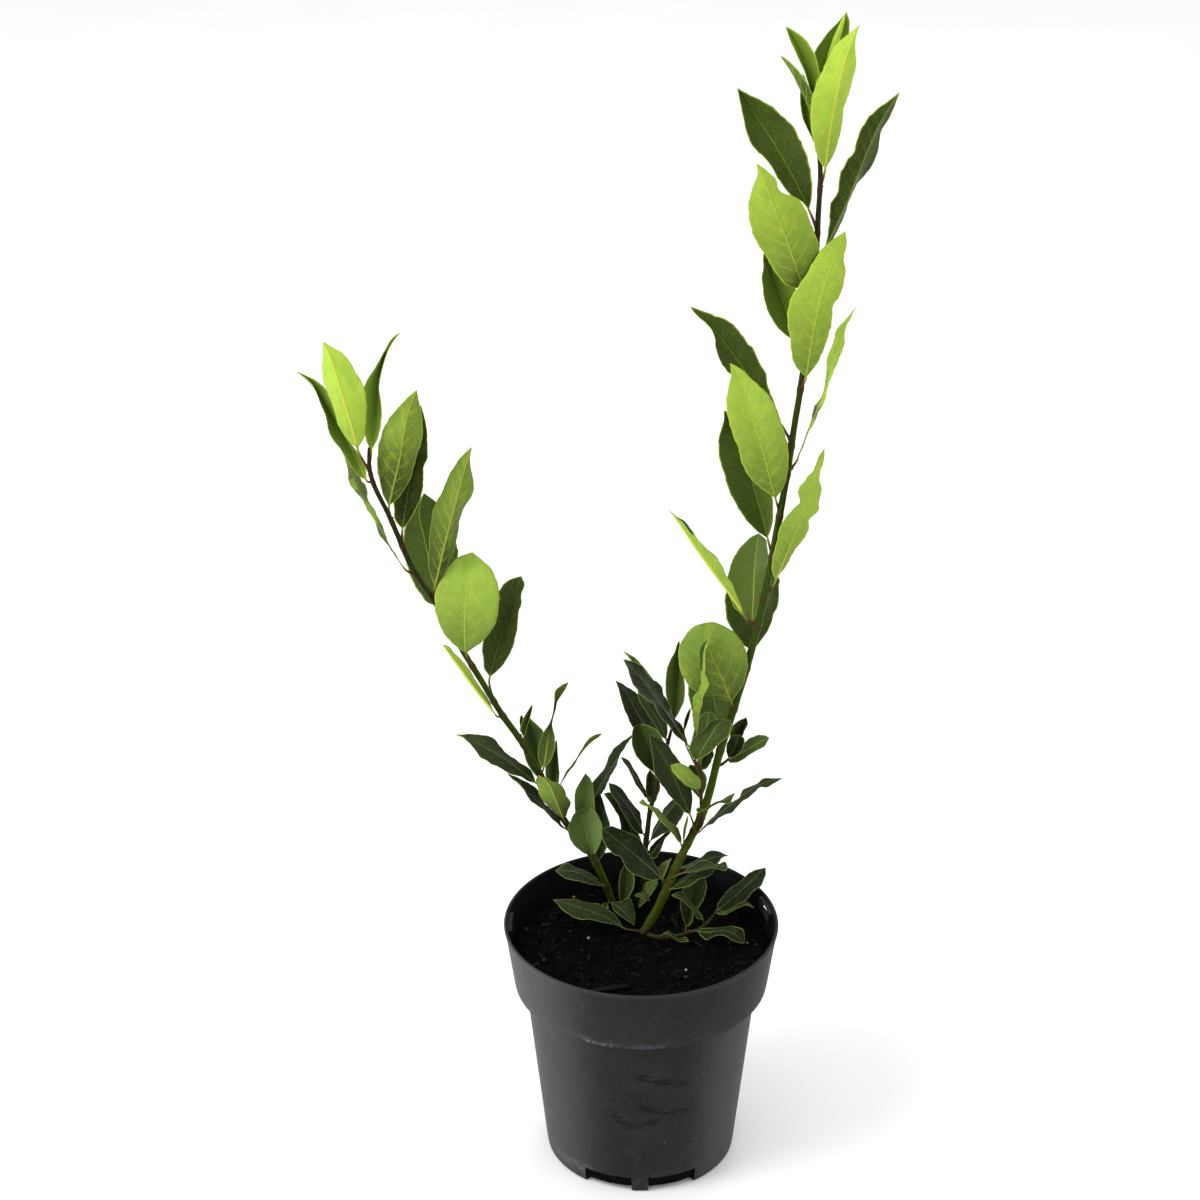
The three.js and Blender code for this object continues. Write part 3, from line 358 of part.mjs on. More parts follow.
   mid:[[-42.9,72.1,230.1],[-40.8,76.0,235.0],[-36.0,83.2,244.8],[-30.2,89.6,254.6],[-23.2,95.0,264.3],[-16.2,99.8,274.2],[-8.6,103.8,284.3],[-4.7,105.4,289.4]],
   left:[[-42.9,72.1,230.1],[-45.5,73.2,237.4],[-39.9,75.3,250.3],[-34.8,80.3,262.1],[-26.5,85.8,271.7],[-21.1,92.8,281.7],[-10.3,100.4,287.4],[-4.7,105.4,289.4]],
   right:[[-42.9,72.1,230.1],[-40.9,79.8,232.8],[-34.4,91.0,239.2],[-26.4,98.7,246.8],[-20.9,104.5,257.3],[-15.6,107.9,269.2],[-8.7,107.6,282.2],[-4.7,105.4,289.4]]},
  {name:'leaf_d05',on:'left_stem',own:true,side:'A',tone:0.1,
   stalk:[-32.4,65.4,201.5],
   mid:[[-32.2,66.1,201.2],[-33.1,70.9,203.6],[-34.1,79.5,209.1],[-34.1,86.7,215.6],[-33.7,92.4,223.0],[-33.1,96.5,231.3],[-32.4,99.1,240.5],[-32.1,99.8,245.4]],
   left:[[-32.2,66.1,201.2],[-34.4,66.5,206.0],[-38.1,70.1,214.4],[-40.2,75.3,222.4],[-40.8,81.1,230.3],[-39.0,87.4,237.5],[-35.1,94.9,243.3],[-32.1,99.8,245.4]],
   right:[[-32.2,66.1,201.2],[-28.2,67.4,205.3],[-25.0,71.6,213.2],[-23.7,76.6,220.9],[-24.9,81.3,229.0],[-27.9,87.1,236.4],[-31.2,94.7,242.7],[-32.1,99.8,245.4]]},
  {name:'leaf_h01',on:'left_stem',own:true,side:'A',tone:0.25,
   stalk:[-27.1,56.6,184.1],
   mid:[[-28.2,54.1,186.7],[-31.1,53.8,188.6],[-36.8,53.5,192.1],[-42.3,53.6,195.6],[-48.2,53.8,198.1],[-54.5,53.8,199.2],[-60.9,53.9,199.7],[-64.1,54.1,199.6]],
   left:[[-28.2,54.1,186.7],[-31.3,49.5,189.1],[-37.4,44.5,193.8],[-43.6,42.4,196.9],[-49.8,42.1,198.5],[-56.0,44.0,199.2],[-61.6,49.5,199.9],[-64.1,54.1,199.6]],
   right:[[-28.2,54.1,186.7],[-30.6,55.8,187.9],[-35.8,62.0,190.4],[-41.9,64.4,193.4],[-48.9,64.6,196.0],[-55.3,63.7,200.8],[-61.2,58.3,199.6],[-64.1,54.1,199.6]]},
  {name:'leaf_h02',on:'right_stem',own:true,side:'A',tone:0.0,
   stalk:[-3.1,18.1,169.4],
   mid:[[-13.6,13.9,175.4],[-17.4,13.7,178.5],[-25.4,13.8,183.7],[-33.9,14.4,187.5],[-42.6,15.7,190.2],[-51.5,17.9,192.2],[-60.4,20.9,193.2],[-65.0,22.7,193.4]],
   left:[[-13.6,13.9,175.4],[-18.0,9.0,180.3],[-27.2,3.1,186.5],[-36.1,1.0,190.0],[-45.2,1.4,190.7],[-53.8,6.0,192.2],[-61.1,15.8,194.1],[-65.0,22.7,193.4]],
   right:[[-13.6,13.9,175.4],[-15.9,18.9,177.7],[-22.4,25.4,182.8],[-31.2,28.5,186.3],[-40.7,29.3,188.0],[-50.2,29.0,190.3],[-60.1,25.9,192.1],[-65.0,22.7,193.4]]},
  {name:'leaf_h03',on:'left_stem',own:false,side:'A',tone:0.3,
   stalk:[-21.9,62.0,166.5],
   mid:[[-22.2,51.5,173.0],[-20.4,48.2,173.9],[-16.9,42.0,175.3],[-13.8,36.4,175.9],[-10.9,31.4,175.7],[-8.3,26.9,174.8],[-6.0,23.1,173.4],[-4.8,21.5,172.5]],
   left:[[-22.2,51.5,173.0],[-19.2,52.1,173.5],[-13.3,50.1,176.3],[-8.1,45.1,181.5],[-5.5,41.0,177.7],[-4.5,35.3,174.3],[-4.6,26.9,172.6],[-4.8,21.5,172.5]],
   right:[[-22.2,51.5,173.0],[-21.6,44.6,175.0],[-19.8,34.0,177.3],[-16.7,26.7,178.6],[-13.2,22.0,179.0],[-9.8,19.4,177.9],[-6.6,19.7,174.9],[-4.8,21.5,172.5]]},
  {name:'leaf_h04',on:'left_stem',own:false,side:'A',tone:0.3,
   stalk:[-21.9,62.0,166.5],
   mid:[[-24.4,52.2,173.1],[-24.8,50.7,173.2],[-25.5,47.9,173.4],[-26.2,45.3,173.4],[-26.8,42.9,173.3],[-27.4,40.6,173.1],[-27.9,38.6,172.7],[-28.2,37.6,172.5]],
   left:[[-24.4,52.2,173.1],[-25.4,49.3,174.6],[-25.5,44.7,176.1],[-24.3,41.3,176.4],[-25.0,38.7,176.1],[-26.2,37.2,175.3],[-27.6,37.0,173.7],[-28.2,37.6,172.5]],
   right:[[-24.4,52.2,173.1],[-25.5,49.3,174.6],[-27.5,45.1,176.8],[-29.0,41.8,177.4],[-30.0,39.3,176.8],[-29.8,37.5,175.7],[-28.7,37.0,173.9],[-28.2,37.6,172.5]]},
  {name:'leaf_c01',on:'centre_stem',own:false,side:'A',tone:0.0,
   stalk:[19.5,65.3,303.2],
   mid:[[16.3,72.8,303.9],[14.7,77.2,308.0],[11.3,85.2,316.5],[7.4,92.3,325.5],[2.9,98.5,334.6],[-3.1,103.3,343.5],[-10.6,107.0,352.0],[-14.4,108.4,356.4]],
   left:[[16.3,72.8,303.9],[14.0,74.6,309.0],[9.1,79.4,318.6],[3.9,85.1,327.6],[-0.7,91.1,336.6],[-4.9,97.5,345.4],[-9.7,104.8,354.1],[-14.4,108.4,356.4]],
   right:[[16.3,72.8,303.9],[17.4,76.0,309.2],[18.8,85.1,318.9],[14.5,89.4,329.7],[8.1,93.9,339.7],[0.5,99.4,348.1],[-8.9,105.4,354.4],[-14.4,108.4,356.4]]},
  {name:'leaf_c02',on:'inner_sprig',own:true,side:'A',tone:0.3,
   stalk:[38.4,12.1,312.7],
   mid:[[33.1,11.2,329.6],[29.7,13.3,334.6],[22.4,17.8,344.2],[15.0,22.7,353.5],[7.5,28.0,362.6],[-0.4,33.6,371.1],[-9.1,39.4,378.9],[-13.6,42.5,382.6]],
   left:[[33.1,11.2,329.6],[28.0,8.1,336.0],[19.4,6.7,347.8],[11.0,9.2,357.8],[2.8,14.2,366.2],[-5.8,21.7,372.8],[-10.8,34.1,380.1],[-13.6,42.5,382.6]],
   right:[[33.1,11.2,329.6],[31.5,18.5,333.1],[25.0,28.9,340.7],[19.0,36.6,350.0],[13.9,42.9,361.0],[3.9,45.7,370.1],[-6.6,45.3,379.3],[-13.6,42.5,382.6]]},
  {name:'leaf_c03',on:'centre_stem',own:false,side:'A',tone:0.0,
   stalk:[18.3,65.1,298.4],
   mid:[[14.2,71.3,300.5],[10.9,76.4,301.5],[4.2,84.7,304.6],[-1.7,90.8,309.5],[-6.2,94.8,316.7],[-10.8,96.3,325.2],[-16.5,94.9,334.3],[-19.7,93.1,339.1]],
   left:[[14.2,71.3,300.5],[9.8,72.0,303.1],[-0.1,73.9,305.2],[-8.1,77.8,310.3],[-11.5,82.1,318.9],[-15.1,85.9,326.9],[-17.6,90.2,335.4],[-19.7,93.1,339.1]],
   right:[[14.2,71.3,300.5],[13.1,81.3,300.8],[9.5,95.3,303.8],[5.2,103.6,308.5],[0.4,107.6,315.1],[-6.2,107.0,324.0],[-15.2,99.8,333.7],[-19.7,93.1,339.1]]},
  {name:'leaf_c04',on:'centre_stem',own:false,side:'A',tone:0.05,
   stalk:[18.9,65.2,300.8],
   mid:[[17.8,64.0,305.7],[16.4,65.0,308.9],[13.7,67.1,315.0],[10.5,69.4,320.8],[6.8,72.1,326.1],[2.8,75.0,331.1],[-1.3,78.3,335.8],[-3.3,80.1,338.1]],
   left:[[17.8,64.0,305.7],[14.8,60.6,309.9],[11.1,58.0,318.1],[7.1,58.4,324.5],[3.6,61.1,330.0],[-0.6,65.9,333.9],[-2.7,74.1,337.3],[-3.3,80.1,338.1]],
   right:[[17.8,64.0,305.7],[18.8,69.0,307.2],[18.6,76.3,312.3],[16.2,81.0,318.1],[12.3,83.9,323.9],[6.9,84.9,329.7],[0.4,82.9,335.3],[-3.3,80.1,338.1]]},
  {name:'leaf_c05',on:'centre_stem',own:false,side:'A',tone:0.05,
   stalk:[20.5,65.6,307.9],
   mid:[[23.2,73.9,315.8],[24.3,77.2,319.6],[25.5,83.6,327.4],[26.1,89.4,335.6],[26.8,94.6,344.2],[27.4,99.2,353.1],[27.5,103.3,362.2],[27.3,105.0,366.9]],
   left:[[23.2,73.9,315.8],[21.8,73.1,321.9],[18.6,74.9,332.1],[17.1,79.1,341.5],[17.7,84.5,350.3],[20.8,90.5,358.1],[25.1,99.2,364.6],[27.3,105.0,366.9]],
   right:[[23.2,73.9,315.8],[26.1,72.9,321.2],[30.6,74.3,331.2],[31.5,78.2,340.7],[30.4,83.4,349.2],[28.7,90.0,357.2],[27.6,99.0,364.2],[27.3,105.0,366.9]]},
  {name:'leaf_d01',on:'inner_sprig',own:false,side:'A',tone:0.1,
   stalk:[42.8,12.3,301.4],
   mid:[[30.2,24.9,333.9],[30.4,25.6,335.1],[30.9,27.1,337.6],[31.5,28.5,340.1],[32.4,29.8,342.5],[33.4,31.0,345.0],[34.3,32.2,347.5],[34.8,32.7,348.8]],
   left:[[30.2,24.9,333.9],[29.9,24.3,335.9],[29.9,24.2,339.3],[30.4,24.9,342.3],[31.3,26.3,344.8],[32.4,28.1,346.9],[33.9,30.9,348.4],[34.8,32.7,348.8]],
   right:[[30.2,24.9,333.9],[31.0,24.2,335.7],[32.0,24.0,338.9],[33.0,24.7,341.7],[33.8,26.0,344.1],[34.5,27.9,346.4],[34.9,30.8,348.2],[34.8,32.7,348.8]]},
  {name:'leaf_c06',on:'centre_stem',own:true,side:'A',tone:0.2,
   stalk:[9.9,62.1,275.5],
   mid:[[10.2,62.3,276.1],[9.6,63.0,279.5],[8.4,64.8,286.3],[7.0,66.8,292.9],[4.5,69.1,298.9],[1.2,71.5,304.5],[-1.2,74.3,309.8],[-1.3,75.8,312.4]],
   left:[[10.2,62.3,276.1],[7.9,58.1,282.2],[1.6,53.2,290.3],[-3.6,53.4,297.1],[-6.3,55.7,302.3],[-7.3,61.3,310.0],[-5.0,70.0,313.7],[-1.3,75.8,312.4]],
   right:[[10.2,62.3,276.1],[12.8,58.2,282.2],[17.3,55.5,292.6],[18.5,56.7,301.4],[15.1,59.6,309.1],[10.8,65.1,313.6],[2.9,71.0,314.2],[-1.3,75.8,312.4]]},
  {name:'leaf_d03',on:'centre_stem',own:false,side:'A',tone:0.1,
   stalk:[6.3,62.1,245.4],
   mid:[[5.5,63.3,257.7],[3.4,63.5,260.1],[-0.5,64.4,264.9],[-3.6,65.9,270.1],[-6.5,67.9,275.2],[-9.5,70.3,279.9],[-13.3,72.9,283.9],[-15.5,74.3,285.5]],
   left:[[5.5,63.3,257.7],[2.9,60.2,258.9],[-0.8,58.2,266.1],[-4.4,58.5,272.0],[-7.1,60.7,277.4],[-10.3,64.4,281.7],[-14.0,70.1,284.6],[-15.5,74.3,285.5]],
   right:[[5.5,63.3,257.7],[3.8,66.2,259.1],[1.6,70.4,263.4],[-1.7,73.1,268.0],[-4.6,75.2,273.2],[-7.9,76.5,278.7],[-12.6,75.9,283.5],[-15.5,74.3,285.5]]},
  {name:'leaf_d06',on:'centre_stem',own:false,side:'A',tone:0.05,
   stalk:[6.7,62.3,247.8],
   mid:[[7.0,68.4,249.7],[6.9,70.2,251.1],[6.6,73.4,254.0],[6.3,76.1,257.2],[6.3,78.2,260.8],[6.2,79.9,264.6],[6.2,81.0,268.7],[6.2,81.3,270.9]],
   left:[[7.0,68.4,249.7],[5.0,67.0,251.6],[3.8,67.1,256.5],[3.1,68.6,260.8],[3.2,70.9,264.6],[3.5,74.0,268.0],[5.0,78.3,270.4],[6.2,81.3,270.9]],
   right:[[7.0,68.4,249.7],[9.5,67.4,250.8],[11.7,67.9,255.5],[13.6,70.3,259.6],[13.4,72.5,263.9],[11.0,74.5,267.9],[7.8,78.3,270.3],[6.2,81.3,270.9]]},
  {name:'leaf_g03',on:'centre_stem',own:true,side:'A',tone:0.1,
   stalk:[2.0,58.2,228.3],
   mid:[[1.7,58.3,228.9],[0.4,59.1,232.4],[-3.6,60.6,239.1],[-7.6,62.7,245.5],[-12.1,65.2,251.2],[-17.2,68.0,256.3],[-22.0,71.6,261.2],[-24.4,73.6,263.6]],
   left:[[1.7,58.3,228.9],[-1.6,53.9,231.7],[-7.9,50.3,241.0],[-11.8,50.3,248.5],[-15.6,53.0,254.6],[-19.9,58.3,259.5],[-23.7,67.1,262.7],[-24.4,73.6,263.6]],
   right:[[1.7,58.3,228.9],[0.7,63.1,230.9],[-0.2,70.3,235.9],[-3.6,74.7,241.8],[-8.8,77.2,247.7],[-13.4,78.5,254.6],[-19.9,76.7,261.0],[-24.4,73.6,263.6]]},
  {name:'leaf_g03b',on:'centre_stem',own:true,side:'A',tone:0.05,
   stalk:[0.9,57.8,217.9],
   mid:[[-1.0,54.7,220.8],[-3.3,55.1,224.5],[-7.3,56.6,231.8],[-10.7,58.7,239.1],[-14.0,61.4,246.1],[-18.4,64.5,252.2],[-24.6,67.2,256.3],[-28.2,68.5,257.5]],
   left:[[-1.0,54.7,220.8],[-5.1,50.6,224.3],[-12.7,47.0,232.4],[-15.1,47.1,241.8],[-16.8,50.1,249.2],[-20.9,54.8,253.9],[-25.6,62.7,256.9],[-28.2,68.5,257.5]],
   right:[[-1.0,54.7,220.8],[-0.3,59.4,223.4],[-3.3,65.7,228.9],[-6.9,69.7,235.3],[-11.0,72.5,242.5],[-16.3,73.9,250.0],[-23.8,72.2,256.6],[-28.2,68.5,257.5]]},
  {name:'leaf_g04',on:'centre_stem',own:true,side:'A',tone:0.1,
   stalk:[4.6,64.4,215.1],
   mid:[[6.5,67.7,217.5],[8.1,69.9,219.7],[11.5,73.9,224.5],[15.3,77.4,229.1],[19.6,80.5,233.8],[24.2,83.0,238.4],[29.2,84.9,242.8],[31.8,85.8,245.1]],
   left:[[6.5,67.7,217.5],[7.2,74.9,217.4],[9.7,85.0,219.7],[13.2,91.3,223.8],[16.4,94.8,229.6],[21.5,95.1,235.8],[28.2,90.6,241.6],[31.8,85.8,245.1]],
   right:[[6.5,67.7,217.5],[9.8,64.5,221.5],[16.4,61.9,227.4],[23.0,62.5,231.2],[27.8,65.8,235.4],[31.2,71.2,240.6],[32.5,79.6,244.3],[31.8,85.8,245.1]]},
  {name:'leaf_g05',on:'centre_stem',own:false,side:'A',tone:0.05,
   stalk:[2.3,60.5,204.8],
   mid:[[5.7,58.6,209.9],[7.2,58.8,211.4],[10.1,59.5,214.6],[12.6,60.5,217.8],[15.0,61.7,221.0],[17.8,63.0,223.8],[20.8,64.4,226.4],[22.3,65.1,227.7]],
   left:[[5.7,58.6,209.9],[5.8,61.6,210.8],[6.7,65.6,213.6],[9.8,67.9,216.3],[13.2,69.0,219.2],[16.7,69.1,222.7],[20.1,67.6,227.1],[22.3,65.1,227.7]],
   right:[[5.7,58.6,209.9],[7.6,56.0,209.6],[11.7,53.1,212.8],[13.9,52.5,218.2],[15.7,54.2,222.5],[17.4,57.2,226.0],[20.9,61.7,227.3],[22.3,65.1,227.7]]},
  {name:'leaf_h05',on:'left_stem',own:false,side:'A',tone:0.1,
   stalk:[-21.9,62.0,166.5],
   mid:[[-14.3,46.2,177.3],[-14.0,47.5,179.2],[-13.4,50.5,182.7],[-12.5,54.0,185.9],[-12.1,58.2,188.7],[-12.2,62.9,191.3],[-12.6,68.2,193.5],[-13.0,71.1,194.4]],
   left:[[-14.3,46.2,177.3],[-16.0,44.2,180.4],[-16.5,43.9,186.2],[-16.6,46.1,190.5],[-16.5,50.4,193.5],[-15.7,56.6,195.4],[-14.0,65.3,195.3],[-13.0,71.1,194.4]],
   right:[[-14.3,46.2,177.3],[-11.7,44.4,180.1],[-8.0,44.2,185.1],[-5.5,46.9,189.6],[-4.9,51.7,193.4],[-6.2,58.2,196.0],[-10.2,66.1,196.3],[-13.0,71.1,194.4]]},
  {name:'leaf_h06',on:'centre_stem',own:false,side:'B',tone:0.1,
   stalk:[0.6,59.4,176.3],
   mid:[[-0.8,46.2,175.6],[0.1,45.2,178.1],[2.1,43.9,182.5],[4.1,43.8,186.2],[6.2,44.7,189.1],[8.3,46.7,191.3],[10.6,49.7,192.8],[11.8,51.7,193.3]],
   left:[[-0.8,46.2,175.6],[-2.3,45.8,173.3],[-1.5,49.8,176.3],[-0.2,52.1,180.8],[1.5,53.8,185.4],[4.2,54.8,189.7],[9.2,53.4,191.8],[11.8,51.7,193.3]],
   right:[[-0.8,46.2,175.6],[-1.6,41.3,175.9],[1.3,35.1,182.0],[4.7,33.4,187.3],[7.6,34.7,191.1],[10.4,38.7,193.4],[12.6,46.2,194.0],[11.8,51.7,193.3]]},
  {name:'leaf_h07',on:'centre_stem',own:false,side:'A',tone:0.1,
   stalk:[0.3,59.2,171.1],
   mid:[[-5.3,49.5,180.5],[-4.2,45.7,183.4],[-2.0,39.3,187.9],[0.0,34.6,190.3],[2.0,31.7,190.8],[4.0,30.8,190.0],[6.0,31.9,187.9],[7.0,33.2,186.4]],
   left:[[-5.3,49.5,180.5],[-4.5,47.3,183.1],[-2.3,42.8,187.4],[0.3,38.9,189.7],[2.7,36.0,190.2],[4.7,34.2,189.5],[6.4,33.4,187.6],[7.0,33.2,186.4]],
   right:[[-5.3,49.5,180.5],[-4.3,44.1,183.6],[-2.1,35.8,188.4],[-0.2,30.3,190.7],[1.7,27.4,191.3],[3.8,27.3,190.5],[5.9,30.3,188.2],[7.0,33.2,186.4]]},
  {name:'leaf_k03',on:'low_branch',own:false,side:'A',tone:0.0,
   stalk:[32.8,9.8,173.0],
   mid:[[33.1,14.8,175.5],[33.9,17.6,177.8],[35.3,22.5,182.6],[36.7,26.6,188.0],[37.9,30.0,193.9],[39.4,32.4,200.1],[43.7,33.2,205.1],[46.7,33.0,207.0]],
   left:[[33.1,14.8,175.5],[31.8,14.2,180.3],[29.6,15.7,188.3],[28.8,19.0,195.0],[29.6,22.6,201.3],[35.3,25.8,206.9],[42.7,30.2,208.2],[46.7,33.0,207.0]],
   right:[[33.1,14.8,175.5],[36.1,13.4,178.3],[38.4,14.1,185.3],[41.8,16.3,190.8],[45.6,20.7,195.0],[48.0,27.0,198.8],[47.9,30.8,204.5],[46.7,33.0,207.0]]},
  {name:'leaf_k04',on:'low_branch',own:false,side:'A',tone:0.05,
   stalk:[46.2,14.6,176.7],
   mid:[[45.4,11.8,184.0],[44.1,11.1,187.1],[40.9,10.2,192.4],[37.3,10.1,196.9],[33.6,10.9,200.7],[29.5,12.4,203.4],[24.8,13.8,203.7],[22.3,14.6,202.9]],
   left:[[45.4,11.8,184.0],[42.8,8.5,186.5],[39.5,4.6,192.8],[36.7,3.5,198.4],[33.1,4.3,202.1],[29.2,6.8,204.3],[24.5,11.0,203.6],[22.3,14.6,202.9]],
   right:[[45.4,11.8,184.0],[45.0,13.5,186.3],[41.6,15.3,190.5],[37.5,16.4,194.7],[33.9,17.5,199.2],[30.1,18.4,203.6],[24.5,16.6,203.8],[22.3,14.6,202.9]]},
  {name:'leaf_k05',on:'low_branch',own:false,side:'A',tone:0.1,
   stalk:[54.2,22.6,182.0],
   mid:[[56.1,24.5,184.3],[59.2,26.1,185.3],[65.3,30.1,188.7],[71.4,34.2,192.4],[77.6,38.3,196.2],[83.6,42.6,200.1],[89.5,46.9,204.2],[92.4,49.1,206.2]],
   left:[[56.1,24.5,184.3],[56.4,30.6,185.5],[61.1,39.8,187.6],[67.0,46.1,190.8],[74.0,50.0,194.0],[80.2,52.6,199.3],[88.1,51.5,203.7],[92.4,49.1,206.2]],
   right:[[56.1,24.5,184.3],[60.3,21.2,184.9],[68.4,20.1,189.7],[76.0,22.0,193.3],[81.3,26.7,198.4],[88.6,33.0,200.5],[92.2,42.5,204.4],[92.4,49.1,206.2]]},
  {name:'leaf_k06',on:'low_branch',own:false,side:'A',tone:0.2,
   stalk:[54.2,22.6,182.0],
   mid:[[55.6,20.4,184.3],[58.1,20.0,184.6],[63.0,19.7,185.7],[67.4,20.4,187.9],[72.0,21.4,189.9],[76.7,22.4,190.7],[81.1,22.6,189.0],[83.2,22.5,187.5]],
   left:[[55.6,20.4,184.3],[58.3,21.6,183.6],[63.2,23.3,183.9],[67.5,25.1,186.4],[72.2,26.3,188.5],[77.2,26.6,190.3],[81.4,24.4,188.5],[83.2,22.5,187.5]],
   right:[[55.6,20.4,184.3],[57.7,17.9,184.5],[62.6,15.4,186.1],[66.8,15.5,189.2],[71.1,16.7,191.4],[75.9,18.6,192.1],[80.9,20.8,189.8],[83.2,22.5,187.5]]},
  {name:'leaf_k07',on:'low_branch',own:false,side:'A',tone:0.1,
   stalk:[36.3,11.3,173.4],
   mid:[[41.7,6.1,177.6],[44.7,4.3,178.1],[50.9,1.8,179.6],[57.0,0.5,181.4],[63.1,-0.5,181.6],[68.8,-1.5,179.5],[73.3,-2.5,175.2],[75.4,-2.8,172.5]],
   left:[[41.7,6.1,177.6],[44.9,8.0,178.9],[51.7,8.8,178.6],[58.6,8.7,179.6],[65.9,8.3,181.0],[74.5,4.4,180.8],[76.0,0.1,175.0],[75.4,-2.8,172.5]],
   right:[[41.7,6.1,177.6],[43.2,1.1,177.5],[48.3,-5.3,177.3],[53.9,-8.0,182.7],[60.2,-8.8,183.5],[65.8,-8.7,179.5],[72.0,-5.9,175.1],[75.4,-2.8,172.5]]},
  {name:'leaf_k08',on:'low_branch',own:false,side:'A',tone:0.1,
   stalk:[16.7,6.1,171.6],
   mid:[[14.7,2.4,176.1],[16.3,2.1,177.3],[19.6,1.3,178.9],[22.8,0.0,178.0],[26.1,-1.1,176.5],[29.6,-1.6,175.2],[33.2,-1.4,174.0],[35.1,-1.1,173.3]],
   left:[[14.7,2.4,176.1],[16.3,3.6,176.9],[19.9,4.8,178.4],[23.4,3.7,176.4],[26.6,2.3,174.2],[30.7,1.7,174.8],[34.0,0.1,174.6],[35.1,-1.1,173.3]],
   right:[[14.7,2.4,176.1],[16.4,0.7,178.0],[20.1,-2.0,179.8],[23.0,-4.2,178.8],[26.0,-5.4,177.1],[29.5,-5.2,175.4],[33.2,-3.0,174.3],[35.1,-1.1,173.3]]},
];

// ---------------------------------------------------------------- helpers
const deg = Math.PI / 180;
const v3 = (a) => new THREE.Vector3(a[0], a[1], a[2]);

function fromArrays(pos, idx) {
  const g = new THREE.BufferGeometry();
  g.setAttribute('position', new THREE.Float32BufferAttribute(pos, 3));
  g.setIndex(idx);
  let vol = 0;
  for (let i = 0; i < idx.length; i += 3) {
    const p = [0, 1, 2].map((k) => v3([pos[idx[i + k] * 3], pos[idx[i + k] * 3 + 1], pos[idx[i + k] * 3 + 2]]));
    vol += p[0].dot(p[1].cross(p[2]));
  }
  if (vol < 0) for (let i = 0; i < idx.length; i += 3) [idx[i + 1], idx[i + 2]] = [idx[i + 2], idx[i + 1]];
  g.setIndex(idx);
  return g;
}

// skin a run of closed rings that all have the same number of points; where the second
// half of a ring mirrors the first, its quads are split along the mirrored diagonals, so
// that the two faces of a twisted blade stay apart
function skin(rings, apex, mirrored = false) {
  const n = rings[0].length, pos = [], idx = [];
  for (const r of rings) for (const p of r) pos.push(p.x, p.y, p.z);
  for (let i = 0; i + 1 < rings.length; i++)
    for (let j = 0; j < n; j++) {
      const a = i * n + j, b = i * n + (j + 1) % n, c = a + n, d = b + n;
      if (mirrored && j >= n / 2) idx.push(a, b, d, a, d, c); else idx.push(a, b, c, b, d, c);
    }
  for (let j = 1; j + 1 < n; j++) idx.push(0, j + 1, j);
  const last = (rings.length - 1) * n;
  if (apex) {
    pos.push(apex.x, apex.y, apex.z);
    const t = rings.length * n;
    for (let j = 0; j < n; j++) idx.push(last + j, last + (j + 1) % n, t);
  } else for (let j = 1; j + 1 < n; j++) idx.push(last, last + j, last + j + 1);
  return fromArrays(pos, idx);
}

function stemTube(pts) {
  const P = pts.map(v3), rings = [];
  let side = new THREE.Vector3(1, 0, 0);
  P.forEach((p, i) => {
    const t = P[Math.min(i + 1, P.length - 1)].clone().sub(P[Math.max(i - 1, 0)]).normalize();
    side = side.clone().addScaledVector(t, -side.dot(t)).normalize();
    const up = new THREE.Vector3().crossVectors(t, side);
    const ring = [];
    for (let k = 0; k < STEM_SIDES; k++) {
      const a = (k / STEM_SIDES) * 2 * Math.PI;
      ring.push(p.clone().addScaledVector(side, Math.cos(a) * pts[i][3]).addScaledVector(up, Math.sin(a) * pts[i][3]));
    }
    rings.push(ring);
  });
  return skin(rings);
}

function leafSolid(leaf) {
  const M = leaf.mid.map(v3), L = leaf.left.map(v3), R = leaf.right.map(v3), S = v3(leaf.stalk);
  const n = M.length, h = LEAF_THICKNESS / 2;
  const rings = [];
  const across = L[1].clone().sub(R[1]).normalize();
  const along = M[1].clone().sub(M[0]).normalize();
  let up = new THREE.Vector3().crossVectors(along, across).normalize();
  const frame = (dir) => {
    const s = across.clone().addScaledVector(dir, -across.dot(dir));
    if (s.length() < 0.2) s.crossVectors(up, dir);
    s.normalize();
    const u = new THREE.Vector3().crossVectors(dir, s).normalize();
    return [s, u];
  };
  const ringAt = (c, dir, r) => {
    const [s, u] = frame(dir);
    return [c.clone().addScaledVector(s, r), c.clone().addScaledVector(u, r), c.clone().addScaledVector(s, -r), c.clone().addScaledVector(u, -r)];
  };
  const stalkDir = M[0].clone().sub(S).normalize();
  rings.push(ringAt(S, stalkDir, STALK_RADIUS));
  rings.push(ringAt(M[0], stalkDir.clone().add(along).normalize(), STALK_RADIUS));
  for (let k = 1; k < n - 1; k++) {
    const t = M[k + 1].clone().sub(M[k - 1]).normalize();
    const u = new THREE.Vector3().crossVectors(t, L[k].clone().sub(R[k])).normalize();
    // the halves of a folded blade keep their thickness, so the fold itself is mitred
    const fold = Math.sin(L[k].clone().sub(M[k]).angleTo(R[k].clone().sub(M[k])) / 2);
    const thick = h / Math.max(fold, SHARPEST_FOLD);
    rings.push([L[k], M[k].clone().addScaledVector(u, thick), R[k], M[k].clone().addScaledVector(u, -thick)]);
  }
  return skin(rings, M[n - 1], true);
}

function toManifold(geometry) {
  let g = geometry.clone();
  g.deleteAttribute('normal');
  g.deleteAttribute('uv');
  g = mergeVertices(g, 1e-4);
  return new wasm.Manifold(new wasm.Mesh({
    numProp: 3,
    vertProperties: new Float32Array(g.attributes.position.array),
    triVerts: new Uint32Array(g.index.array),
  }));
}

function fromManifold(m) {
  const mesh = m.getMesh();
  const g = new THREE.BufferGeometry();
  g.setAttribute('position', new THREE.Float32BufferAttribute(mesh.vertProperties, 3));
  g.setIndex(Array.from(mesh.triVerts));
  return g;
}

